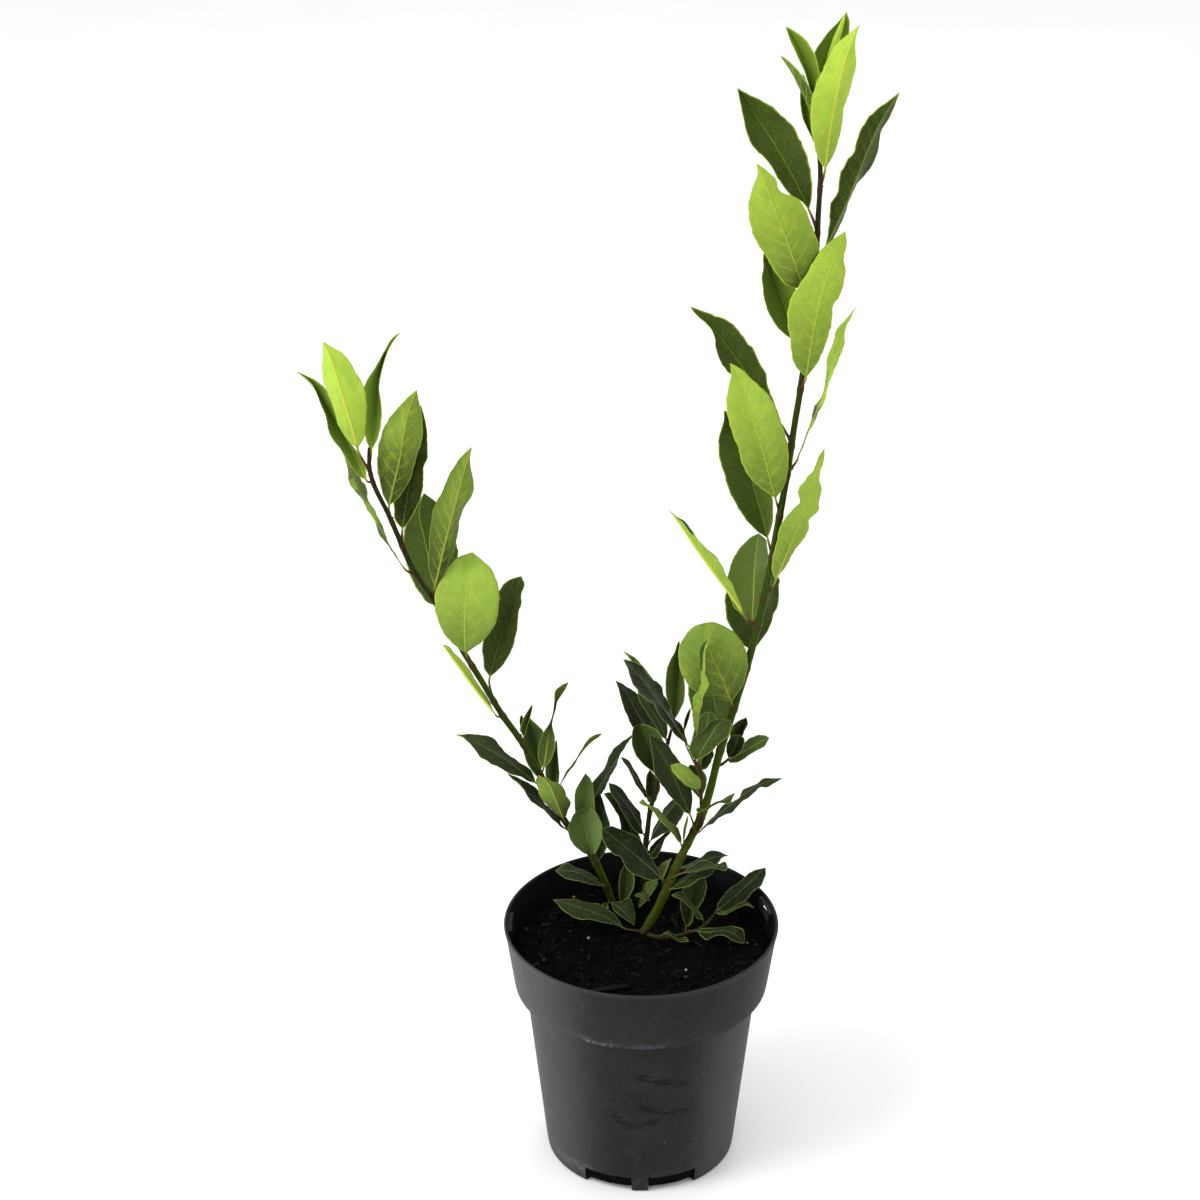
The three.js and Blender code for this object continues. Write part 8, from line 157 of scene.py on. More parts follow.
STEMS = {
    "right_stem": [[1.5,20.0,166.8,3.7],[6.9,20.3,177.3,3.6],[12.0,20.5,187.9,3.5],[16.6,20.8,198.7,3.4],[20.9,21.1,209.7,3.3],[25.0,21.3,220.7,3.2],[29.2,21.6,231.6,3.1],[33.7,21.9,242.2,3.07],[38.3,22.1,252.7,3.05],[42.7,22.4,263.3,3.02],[46.2,22.7,274.1,2.99],[49.0,22.9,285.3,2.97],[51.5,23.2,296.6,2.94],[53.8,23.5,307.8,2.91],[56.4,23.7,318.9,2.89],[59.3,24.0,329.8,2.86],[62.4,23.3,341.2,2.83],[65.3,22.7,352.5,2.81],[68.0,22.0,363.8,2.78],[70.7,21.3,375.0,2.75],[73.4,20.7,386.2,2.73],[75.9,20.0,397.4,2.7],[78.3,19.3,408.5,2.67],[80.6,18.7,419.6,2.64],[82.7,18.0,430.7,2.61],[84.6,17.3,441.8,2.58],[86.3,16.7,452.9,2.55],[87.8,16.0,464.0,2.52],[89.3,15.3,475.0,2.49],[90.7,14.7,485.9,2.46],[92.2,14.0,496.8,2.43],[93.7,13.2,507.7,2.4],[95.2,12.4,518.4,2.37],[96.7,11.7,529.2,2.34],[98.1,10.9,539.9,2.31],[99.2,10.1,550.6,2.28],[100.1,9.3,561.2,2.25],[101.2,8.6,571.8,2.22],[102.3,7.8,582.3,2.19],[103.6,7.0,592.7,2.16],[104.8,6.2,603.1,2.13],[105.9,5.4,613.4,2.1],[107.0,4.7,623.7,2.08],[108.0,3.9,633.9,2.05],[108.9,3.1,644.1,2.02],[109.7,2.3,654.2,1.99],[110.4,1.6,664.3,1.96],[111.0,0.8,674.4,1.93],[111.5,0.0,684.4,1.9],[111.9,-0.3,694.2,1.86],[112.1,-0.7,704.0,1.82],[112.3,-1.0,713.8,1.78],[112.4,-1.3,723.5,1.75],[112.7,-1.7,733.1,1.71],[113.0,-2.0,742.7,1.67],[113.0,-2.3,752.2,1.63],[112.4,-2.7,761.7,1.58],[111.4,-3.0,771.1,1.46],[110.2,-3.3,780.5,1.34],[109.0,-3.7,789.8,1.22],[107.7,-4.0,799.1,1.1]],
    "left_stem": [[-21.9,62.0,166.5,3.0],[-24.0,61.7,173.9,2.96],[-26.2,61.5,181.3,2.91],[-28.5,61.2,188.5,2.87],[-31.1,60.9,195.6,2.82],[-33.9,60.7,202.5,2.78],[-37.0,60.4,209.2,2.73],[-40.6,60.1,215.5,2.69],[-44.6,59.9,221.4,2.64],[-48.8,59.6,227.1,2.6],[-52.9,59.3,232.9,2.58],[-56.6,59.1,238.9,2.56],[-60.1,58.8,245.3,2.54],[-63.2,58.5,251.8,2.52],[-66.2,58.3,258.4,2.5],[-69.0,58.0,265.1,2.49],[-71.6,57.2,272.1,2.47],[-74.3,56.4,279.2,2.45],[-77.0,55.6,286.1,2.43],[-79.8,54.8,293.0,2.41],[-82.8,54.0,299.7,2.39],[-85.9,53.2,306.3,2.37],[-89.3,52.4,312.7,2.35],[-92.8,51.6,318.9,2.33],[-96.5,50.8,325.0,2.31],[-100.1,50.0,331.2,2.3],[-103.4,49.2,337.5,2.28],[-106.6,48.4,343.9,2.26],[-109.6,47.6,350.3,2.24],[-112.7,46.8,356.8,2.22],[-115.7,46.0,363.2,2.2],[-118.8,45.2,369.5,2.18],[-121.9,44.4,375.8,2.16],[-125.0,43.6,382.2,2.14],[-127.9,42.8,388.5,2.12],[-130.7,42.0,395.0,2.1],[-133.5,41.2,401.4,2.08],[-136.2,40.4,407.8,2.06],[-139.1,39.6,414.1,2.04],[-142.0,38.8,420.4,2.02],[-145.0,38.0,426.5,2.0],[-148.1,37.2,432.5,1.98],[-151.4,36.4,438.4,1.96],[-154.7,35.6,444.3,1.94],[-157.9,34.8,450.2,1.92],[-160.7,34.0,456.3,1.9],[-163.2,33.5,462.5,1.87],[-165.5,32.9,468.8,1.84],[-167.6,32.4,475.2,1.82],[-169.6,31.9,481.5,1.79],[-171.7,31.3,487.9,1.76],[-173.8,30.8,494.1,1.73],[-176.1,30.3,500.3,1.71],[-178.5,29.7,506.4,1.68],[-181.0,29.2,512.4,1.65],[-183.4,28.7,518.4,1.62],[-185.4,28.1,524.6,1.58],[-186.8,27.6,530.9,1.46],[-187.5,27.1,537.4,1.34],[-187.5,26.5,544.0,1.22],[-187.1,26.0,550.6,1.1]],
    "centre_stem": [[-0.1,59.0,165.9,2.2],[0.1,59.1,168.5,2.19],[0.3,59.2,171.1,2.17],[0.4,59.3,173.7,2.16],[0.6,59.4,176.3,2.15],[0.8,59.5,178.9,2.13],[0.9,59.6,181.5,2.12],[1.1,59.7,184.1,2.11],[1.2,59.8,186.7,2.09],[1.4,59.9,189.3,2.08],[1.5,60.0,191.9,2.07],[1.7,60.1,194.5,2.05],[1.8,60.2,197.0,2.04],[2.0,60.3,199.6,2.03],[2.1,60.4,202.2,2.01],[2.3,60.5,204.8,2.0],[2.4,60.6,207.3,1.99],[2.6,60.7,209.9,1.97],[2.7,60.8,212.5,1.96],[2.8,60.9,215.0,1.95],[3.0,61.0,217.6,1.93],[3.2,61.1,220.1,1.92],[3.5,61.2,222.7,1.91],[3.8,61.3,225.2,1.89],[4.2,61.4,227.7,1.88],[4.5,61.5,230.3,1.87],[4.7,61.6,232.8,1.85],[5.0,61.7,235.3,1.84],[5.2,61.8,237.9,1.83],[5.5,61.9,240.4,1.81],[5.8,62.0,242.9,1.8],[6.3,62.1,245.4,1.78],[6.7,62.3,247.8,1.77],[7.2,62.4,250.3,1.75],[7.7,62.5,252.7,1.73],[8.3,62.7,255.1,1.72],[8.8,62.8,257.6,1.7],[9.4,62.9,260.0,1.68],[10.0,63.1,262.4,1.67],[10.6,63.2,264.8,1.65],[11.2,63.3,267.2,1.63],[11.8,63.5,269.6,1.62],[12.4,63.6,272.0,1.6],[12.9,63.7,274.4,1.58],[13.5,63.9,276.8,1.57],[14.0,64.0,279.2,1.55],[14.5,64.1,281.6,1.53],[15.0,64.3,284.1,1.52],[15.5,64.4,286.5,1.5],[16.0,64.5,288.9,1.46],[16.6,64.7,291.3,1.42],[17.1,64.8,293.6,1.38],[17.7,64.9,296.0,1.33],[18.3,65.1,298.4,1.29],[18.9,65.2,300.8,1.25],[19.5,65.3,303.2,1.21],[20.0,65.5,305.5,1.17],[20.5,65.6,307.9,1.13],[21.0,65.7,310.3,1.08],[21.6,65.9,312.7,1.04],[22.1,66.0,315.1,1.0]],
    "low_branch": [[5.2,11.4,171.0,1.7],[6.0,10.8,171.0,1.69],[6.9,10.3,171.1,1.67],[7.8,9.7,171.1,1.66],[8.7,9.1,171.2,1.65],[9.5,8.6,171.2,1.63],[10.4,8.1,171.3,1.62],[11.3,7.6,171.3,1.61],[12.2,7.3,171.4,1.59],[13.1,7.1,171.4,1.58],[14.0,6.8,171.4,1.57],[14.9,6.6,171.5,1.55],[15.8,6.3,171.5,1.54],[16.7,6.1,171.6,1.53],[17.6,6.0,171.6,1.51],[18.5,6.0,171.7,1.5],[19.4,6.1,171.7,1.49],[20.3,6.3,171.8,1.47],[21.2,6.5,171.8,1.46],[22.1,6.6,171.9,1.45],[23.0,6.7,172.0,1.43],[23.9,6.9,172.1,1.42],[24.8,7.1,172.2,1.41],[25.7,7.3,172.3,1.39],[26.6,7.6,172.4,1.38],[27.5,7.9,172.5,1.37],[28.4,8.2,172.6,1.35],[29.3,8.5,172.7,1.34],[30.1,8.8,172.7,1.33],[31.0,9.2,172.8,1.31],[31.9,9.5,172.9,1.3],[32.8,9.8,173.0,1.29],[33.7,10.2,173.1,1.27],[34.5,10.6,173.2,1.26],[35.4,10.9,173.3,1.25],[36.3,11.3,173.4,1.23],[37.2,11.6,173.5,1.22],[38.0,11.7,173.8,1.21],[38.9,11.7,174.1,1.19],[39.8,11.8,174.4,1.18],[40.6,11.9,174.7,1.17],[41.5,12.1,175.0,1.15],[42.3,12.5,175.2,1.14],[43.1,12.9,175.5,1.13],[43.8,13.3,175.8,1.11],[44.6,13.7,176.1,1.1],[45.4,14.2,176.4,1.09],[46.2,14.6,176.7,1.07],[47.0,15.1,177.0,1.06],[47.7,15.5,177.4,1.05],[48.3,16.0,177.8,1.03],[48.9,16.6,178.2,1.02],[49.5,17.3,178.7,1.01],[50.1,18.0,179.1,0.99],[50.6,18.7,179.5,0.98],[51.2,19.4,179.9,0.97],[51.8,20.1,180.3,0.95],[52.4,20.7,180.8,0.94],[53.0,21.4,181.2,0.93],[53.6,22.0,181.6,0.91],[54.2,22.6,182.0,0.9]],
    "inner_sprig": [[44.1,16.2,269.8,1.3],[44.0,16.1,270.9,1.29],[43.8,15.9,271.9,1.29],[43.7,15.8,273.0,1.28],[43.6,15.7,274.0,1.28],[43.5,15.5,275.1,1.27],[43.3,15.4,276.2,1.27],[43.2,15.3,277.2,1.26],[43.1,15.1,278.3,1.26],[43.0,15.0,279.3,1.25],[43.0,14.9,280.4,1.24],[43.0,14.7,281.4,1.24],[43.0,14.6,282.5,1.23],[43.0,14.5,283.6,1.23],[43.0,14.3,284.6,1.22],[43.0,14.2,285.7,1.22],[42.9,14.1,286.7,1.21],[42.9,13.9,287.8,1.21],[42.9,13.8,288.8,1.2],[42.9,13.7,289.9,1.19],[42.9,13.5,291.0,1.19],[42.9,13.4,292.0,1.18],[42.9,13.3,293.1,1.18],[42.9,13.1,294.1,1.17],[42.9,13.0,295.2,1.17],[42.9,12.9,296.2,1.16],[42.9,12.8,297.3,1.16],[42.9,12.7,298.3,1.15],[42.9,12.6,299.3,1.14],[42.9,12.4,300.4,1.14],[42.8,12.3,301.4,1.13],[42.7,12.2,302.4,1.13],[42.6,12.1,303.5,1.12],[42.5,12.0,304.5,1.12],[42.4,11.9,305.5,1.11],[42.3,11.8,306.6,1.11],[42.2,11.7,307.6,1.1],[42.1,11.6,308.6,1.09],[42.0,11.4,309.6,1.08],[41.8,11.3,310.7,1.06],[41.7,11.2,311.7,1.05],[41.5,11.1,312.7,1.04],[41.3,11.0,313.7,1.03],[41.1,10.9,314.7,1.01],[40.9,10.8,315.7,1.0],[40.7,10.7,316.7,0.99],[40.6,10.6,317.7,0.98],[40.5,10.4,318.8,0.96],[40.3,10.3,319.8,0.95],[40.2,10.2,320.8,0.94],[40.1,10.1,321.8,0.93],[40.0,10.0,322.8,0.91],[39.9,9.9,323.9,0.9],[39.8,9.8,324.9,0.89],[39.7,9.7,325.9,0.88],[39.7,9.6,326.9,0.86],[39.6,9.4,327.9,0.85],[39.6,9.3,329.0,0.84],[39.5,9.2,330.0,0.82],[39.4,9.1,331.0,0.81],[39.4,9.0,332.0,0.8]],
    "side_twig": [[54.1,25.0,305.0,1.3],[54.2,25.1,305.0,1.29],[54.4,25.2,305.0,1.28],[54.5,25.3,305.0,1.28],[54.7,25.4,305.1,1.27],[54.8,25.5,305.1,1.26],[55.0,25.6,305.1,1.25],[55.1,25.7,305.1,1.24],[55.3,25.8,305.1,1.23],[55.4,25.9,305.2,1.23],[55.6,26.0,305.2,1.22],[55.7,26.1,305.2,1.21],[55.9,26.2,305.2,1.2],[56.0,26.3,305.2,1.19],[56.2,26.4,305.2,1.18],[56.3,26.5,305.3,1.18],[56.5,26.6,305.3,1.17],[56.6,26.7,305.3,1.16],[56.8,26.8,305.3,1.15],[56.9,26.9,305.3,1.14],[57.0,27.0,305.4,1.13],[57.2,27.1,305.4,1.12],[57.3,27.2,305.4,1.12],[57.5,27.3,305.4,1.11],[57.6,27.4,305.4,1.1],[57.8,27.5,305.5,1.09],[57.9,27.6,305.5,1.08],[58.1,27.7,305.5,1.07],[58.2,27.8,305.5,1.07],[58.4,27.9,305.6,1.06],[58.5,28.0,305.6,1.05],[58.6,28.1,305.7,1.04],[58.7,28.3,305.7,1.03],[58.9,28.4,305.8,1.02],[59.0,28.5,305.8,1.02],[59.1,28.7,305.8,1.01],[59.2,28.8,305.9,1.0],[59.4,28.9,305.9,0.99],[59.5,29.1,306.0,0.98],[59.6,29.2,306.0,0.98],[59.8,29.3,306.1,0.97],[59.9,29.5,306.1,0.96],[60.0,29.6,306.1,0.95],[60.1,29.7,306.2,0.94],[60.3,29.9,306.2,0.93],[60.4,30.0,306.3,0.93],[60.5,30.1,306.3,0.92],[60.6,30.3,306.4,0.91],[60.8,30.4,306.4,0.9],[60.9,30.5,306.4,0.89],[61.0,30.7,306.5,0.88],[61.1,30.8,306.5,0.88],[61.3,30.9,306.6,0.87],[61.4,31.1,306.6,0.86],[61.5,31.2,306.7,0.85],[61.7,31.3,306.7,0.84],[61.8,31.5,306.7,0.83],[61.9,31.6,306.8,0.83],[62.0,31.7,306.8,0.82],[62.2,31.9,306.9,0.81],[62.3,32.0,306.9,0.8]],
}


MM = 0.001
RIM_R, RIM_Z = 100.0, 190.7
BAND_Z, BAND_R, BODY_R, FOOT_R = 141.1, 92.7, 85.0, 69.9
WALL = 1.5
SOIL_Z = 168.0
DRAINS_DEG = (-110, -70, 10, 50, 130, 170)  # in pairs round the edge of the foot
SLOTS_DEG = ((8, 22), (173, 187))
EYE = np.array([0.0, -1713.0, 1268.8])


# ------------------------------------------------------------------ small helpers
def lin(c):
    c = c / 255.0
    return c / 12.92 if c <= 0.04045 else ((c + 0.055) / 1.055) ** 2.4


def srgb(r, g, b):
    return (lin(r), lin(g), lin(b), 1.0)


def unit(v):
    n = np.linalg.norm(v, axis=-1, keepdims=True)
    return v / np.maximum(n, 1e-9)


def catmull(P, s):
    """Points of a Catmull-Rom spline through P at s, with 0..1 over all of P."""
    P = np.asarray(P, float)
    n = len(P) - 1
    x = np.clip(np.asarray(s) * n, 0, n - 1e-9)
    i = x.astype(int)
    f = (x - i)[:, None]
    Q = np.vstack([2 * P[0] - P[1], P, 2 * P[-1] - P[-2]])
    a, b, c, d = Q[i], Q[i + 1], Q[i + 2], Q[i + 3]
    return 0.5 * (2 * b + (c - a) * f + (2 * a - 5 * b + 4 * c - d) * f**2 + (3 * b - a - 3 * c + d) * f**3)


def hash1(*k):
    x = math.sin(sum((i + 1) * 12.9898 * float(v) for i, v in enumerate(k)) + 4.1) * 43758.5453
    return x - math.floor(x)


def make(name, verts, faces, attrs=None, uvs=None, smooth=True, mats=(), face_mat=None):
    """A mesh object from millimetre vertices. uvs holds one pair for each corner."""
    me = bpy.data.meshes.new(name)
    me.from_pydata((np.asarray(verts) * MM).tolist(), [], faces)
    me.update()
    for key, val in (attrs or {}).items():
        a = me.attributes.new(key, "FLOAT_VECTOR", "POINT")
        a.data.foreach_set("vector", np.asarray(val, np.float32).ravel())
    if uvs is not None:
        layer = me.uv_layers.new(name="OFBake")
        layer.data.foreach_set("uv", np.asarray(uvs, np.float32).ravel())
    if smooth:
        me.shade_smooth()
    for m in mats:
        me.materials.append(m)
    if face_mat is not None:
        me.polygons.foreach_set("material_index", face_mat)
    o = bpy.data.objects.new(name, me)
    bpy.context.scene.collection.objects.link(o)
    return o


# ------------------------------------------------------------------ node building
class Nodes:
    def __init__(self, name):
        self.mat = bpy.data.materials.new(name)
        self.mat.use_nodes = True
        self.t = self.mat.node_tree
        self.t.nodes.clear()
        self.out = self.t.nodes.new("ShaderNodeOutputMaterial")
        self.bsdf = self.t.nodes.new("ShaderNodeBsdfPrincipled")
        self.t.links.new(self.bsdf.outputs[0], self.out.inputs[0])

    def put(self, socket, v):
        if isinstance(v, bpy.types.NodeSocket):
            self.t.links.new(v, socket)
        elif v is not None:
            socket.default_value = v

    def math(self, op, a, b=None, c=None, clamp=False):
        n = self.t.nodes.new("ShaderNodeMath")
        n.operation = op
        n.use_clamp = clamp
        for s, v in zip(n.inputs, (a, b, c)):
            self.put(s, v)
        return n.outputs[0]

    def add(self, a, b):
        return self.math("ADD", a, b)

    def sub(self, a, b):
        return self.math("SUBTRACT", a, b)

    def mul(self, a, b):
        return self.math("MULTIPLY", a, b)

    def inv(self, a):
        return self.math("SUBTRACT", 1.0, a)

    def step(self, v, lo, hi, a=0.0, b=1.0):
        """a below lo, b above hi, smooth between them."""
        n = self.t.nodes.new("ShaderNodeMapRange")
        n.interpolation_type = "SMOOTHSTEP"
        for s, x in zip(n.inputs, (v, lo, hi, a, b)):
            self.put(s, x)
        return n.outputs[0]

    def mix(self, f, a, b, mode="MIX"):
        n = self.t.nodes.new("ShaderNodeMix")
        n.data_type = "RGBA"
        n.blend_type = mode
        n.clamp_factor = True
        self.put(n.inputs["Factor"], f)
        self.put([s for s in n.inputs if s.name == "A" and s.type == "RGBA"][0], a)
        self.put([s for s in n.inputs if s.name == "B" and s.type == "RGBA"][0], b)
        return [s for s in n.outputs if s.type == "RGBA"][0]

    def attr(self, name):
        n = self.t.nodes.new("ShaderNodeAttribute")
        n.attribute_name = name
        return n.outputs["Vector"]

    def sep(self, v):
        n = self.t.nodes.new("ShaderNodeSeparateXYZ")
        self.put(n.inputs[0], v)
        return n.outputs

    def xyz(self, x, y, z):
        n = self.t.nodes.new("ShaderNodeCombineXYZ")
        for s, v in zip(n.inputs, (x, y, z)):
            self.put(s, v)
        return n.outputs[0]

    def noise(self, vec, scale, detail=3.0, rough=0.5, distort=0.0):
        n = self.t.nodes.new("ShaderNodeTexNoise")
        self.put(n.inputs["Vector"], vec)
        n.inputs["Scale"].default_value = scale
        n.inputs["Detail"].default_value = detail
        n.inputs["Roughness"].default_value = rough
        n.inputs["Distortion"].default_value = distort
        return n.outputs[0]

    def cells(self, vec, scale, feature="DISTANCE_TO_EDGE", out=0):
        n = self.t.nodes.new("ShaderNodeTexVoronoi")
        n.feature = feature
        self.put(n.inputs["Vector"], vec)
        n.inputs["Scale"].default_value = scale
        return n.outputs[out]

    def bump(self, height, distance, strength=1.0, normal=None):
        n = self.t.nodes.new("ShaderNodeBump")
        n.inputs["Strength"].default_value = strength
        n.inputs["Distance"].default_value = distance
        self.put(n.inputs["Height"], height)
        if normal is not None:
            self.put(n.inputs["Normal"], normal)
        return n.outputs[0]

    def finish(self, color, rough, normal=None, specular=0.5, metallic=0.0, sheen=0.0):
        self.put(self.bsdf.inputs["Base Color"], color)
        self.put(self.bsdf.inputs["Roughness"], rough)
        self.bsdf.inputs["Specular IOR Level"].default_value = specular
        self.bsdf.inputs["Metallic"].default_value = metallic
        if sheen:
            self.bsdf.inputs["Sheen Weight"].default_value = sheen
            self.bsdf.inputs["Sheen Roughness"].default_value = 0.5
        if normal is not None:
            self.put(self.bsdf.inputs["Normal"], normal)
        return self.mat


# ------------------------------------------------------------------ materials
def leaf_material(name, specular, matte, veins):
    """Both faces of a blade and its stalk. lf1 = mm along, mm across, mm to the margin;
    lf2 = share along, face (0 upper, 1 under, 2 stalk), tone; lf3 = seed, height on the plant, half width."""
    n = Nodes(name)
    a, b, m = n.sep(n.attr("lf1"))
    v, face, tone = n.sep(n.attr("lf2"))
    seed, high, half = n.sep(n.attr("lf3"))
    under = n.step(face, 0.4, 0.6)
    stalk = n.step(face, 1.4, 1.6)
    ab = n.math("ABSOLUTE", b)
    off = n.mul(seed, 37.0)
    co = n.xyz(a, b, off)
    side = n.math("GREATER_THAN", b, 0.0)
    wob = n.noise(co, 0.11, 2.0)
    wob2 = n.noise(co, 0.45, 2.0)
    # side veins leave the midrib and sweep towards the tip
    space = n.add(7.2, n.mul(half, 0.14))
    sweep = n.sub(a, n.add(n.mul(ab, 0.88), n.mul(n.mul(ab, ab), 0.016)))
    phase = n.math("DIVIDE", n.add(sweep, n.add(n.mul(side, n.mul(space, 0.42)), n.mul(n.sub(wob, 0.5), 4.2))), space)
    fr = n.math("FRACT", n.add(n.math("ADD", phase, 40.0), n.mul(n.sub(wob2, 0.5), 0.06)))
    dist = n.mul(n.math("ABSOLUTE", n.sub(fr, 0.5)), space)
    inner = n.math("DIVIDE", ab, n.math("MAXIMUM", n.add(ab, m), 0.2))
    wide = n.step(inner, 0.0, 0.95, 0.46, 0.20)
    vein = n.inv(n.step(dist, n.mul(wide, 0.35), n.mul(wide, 1.5)))
    vein = n.mul(vein, n.inv(n.step(inner, 0.70, 0.97)))
    vein = n.mul(vein, n.step(v, 0.02, 0.08))
    # a wider soft glow beside each side vein
    glow = n.mul(n.inv(n.step(dist, 0.0, 2.2)), n.inv(n.step(inner, 0.55, 0.95)))
    rib_w = n.add(n.mul(n.math("POWER", n.inv(v), 0.9), 0.46), 0.16)
    rib = n.inv(n.step(ab, n.mul(rib_w, 0.55), n.mul(rib_w, 1.25)))
    edge = n.inv(n.step(m, 0.42, 1.05))
    net = n.inv(n.step(n.cells(co, 0.55), 0.015, 0.11))
    mott = n.noise(co, 0.09, 4.0, 0.55)
    fine = n.noise(co, 1.6, 3.0, 0.6)
    spots = n.step(n.noise(co, 0.33, 2.0), 0.72, 0.80)

    # upper face
    ad_dark = n.mix(high, srgb(12, 16, 12), srgb(15, 24, 9))
    ad_light = n.mix(high, srgb(98, 120, 64), srgb(128, 158, 52))
    ad = n.mix(tone, ad_dark, ad_light)
    ad = n.mix(n.step(mott, 0.35, 0.75, 0.0, 0.22), ad, n.mix(0.35, ad, ad_light))
    ad = n.mix(n.mul(glow, 0.07 * veins), ad, n.mix(0.35, ad, srgb(120, 150, 66)))
    ad = n.mix(n.mul(vein, 0.42 * veins), ad, n.mix(0.30, ad, srgb(134, 160, 72)))
    ad = n.mix(n.mul(net, 0.16), ad, n.mix(0.14, ad, srgb(120, 150, 70)))
    ad = n.mix(n.mul(rib, 0.82), ad, n.mix(n.step(tone, 0.0, 0.7), n.mix(high, srgb(88, 106, 46), srgb(112, 132, 36)), n.mix(high, srgb(162, 180, 74), srgb(190, 208, 56))))
    ad = n.mix(n.mul(spots, 0.10), ad, srgb(60, 52, 30))
    # under face: paler, duller, greener at its base and yellower at its tip
    ab_dark = n.mix(high, srgb(44, 58, 28), srgb(56, 76, 22))
    ab_light = n.mix(high, srgb(146, 178, 74), srgb(184, 218, 74))
    low = n.step(v, 0.0, 0.75, -0.22, 0.10)
    under_c = n.mix(n.math("ADD", tone, low, clamp=True), ab_dark, ab_light)
    under_c = n.mix(n.step(mott, 0.34, 0.72, 0.0, 0.40), under_c, n.mix(0.40, under_c, ab_dark))
    hue = n.noise(n.xyz(n.mul(a, 0.8), b, n.add(off, 5.0)), 0.115, 3.0, 0.6)
    under_c = n.mix(n.step(hue, 0.50, 0.70, 0.0, 0.30), under_c, n.mix(0.55, under_c, srgb(190, 196, 50)))
    under_c = n.mix(n.step(hue, 0.30, 0.46, 0.28, 0.0), under_c, n.mix(0.50, under_c, srgb(70, 122, 44)))
    under_c = n.mix(n.mul(net, 0.22), under_c, n.mix(0.28, under_c, srgb(214, 226, 130)))
    under_c = n.mix(n.mul(glow, 0.10 * veins), under_c, ab_light)
    under_c = n.mix(n.mul(vein, 0.40 * veins), under_c, n.mix(0.38, under_c, srgb(216, 226, 110)))
    under_c = n.mix(n.mul(rib, 0.86), under_c, n.mix(tone, srgb(132, 142, 48), srgb(206, 208, 66)))
    col = n.mix(under, ad, under_c)
    # small scale unevenness of the tissue between the finest veins
    cell = n.noise(co, 0.85, 2.0, 0.6)
    col = n.mix(n.step(cell, 0.50, 0.75, 0.0, 0.22), col, n.mix(0.30, col, srgb(226, 240, 130)))
    col = n.mix(n.step(cell, 0.25, 0.48, 0.26, 0.0), col, n.mix(0.32, col, srgb(16, 30, 8)))
    rim = n.mix(high, srgb(116, 136, 62), srgb(164, 188, 52))
    col = n.mix(n.mul(edge, n.step(fine, 0.30, 0.55, 0.45, 0.80)), col, rim)
    col = n.mix(n.step(fine, 0.25, 0.75, 0.12, 0.0), col, srgb(30, 40, 20))
    # stalk: red-brown on top, turning yellow-green where it meets the blade
    st_foot = n.mix(n.step(high, 0.15, 0.7), srgb(72, 66, 36), srgb(86, 40, 26))
    st = n.mix(n.step(n.add(v, n.mul(n.sub(mott, 0.5), 0.4)), 0.45, 0.98), st_foot, n.mix(high, srgb(88, 98, 42), srgb(146, 156, 48)))
    st = n.mix(n.step(fine, 0.35, 0.7, 0.0, 0.30), st, n.mix(high, srgb(44, 38, 22), srgb(58, 26, 18)))
    col = n.mix(stalk, col, st)

    rough = n.add(n.mix_f(under, 0.40 + matte, 0.62 + matte * 0.5), n.mul(n.sub(fine, 0.5), 0.14))
    relief = n.add(n.mul(vein, n.mix_f(under, -0.55, 0.9)), n.mul(net, n.mix_f(under, -0.16, 0.30)))
    relief = n.add(relief, n.mul(n.noise(co, 0.26, 3.0), 1.3))
    relief = n.add(relief, n.mul(fine, 0.22))
    relief = n.mul(relief, n.inv(stalk))
    nrm = n.bump(relief, 0.00028, 0.75)
    return n.finish(col, rough, nrm, specular=specular)


def mix_f(self, f, a, b):
    n = self.t.nodes.new("ShaderNodeMix")
    n.data_type = "FLOAT"
    self.put(n.inputs["Factor"], f)
    self.put([s for s in n.inputs if s.name == "A" and s.type == "VALUE"][0], a)
    self.put([s for s in n.inputs if s.name == "B" and s.type == "VALUE"][0], b)
    return [s for s in n.outputs if s.type == "VALUE"][0]


Nodes.mix_f = mix_f


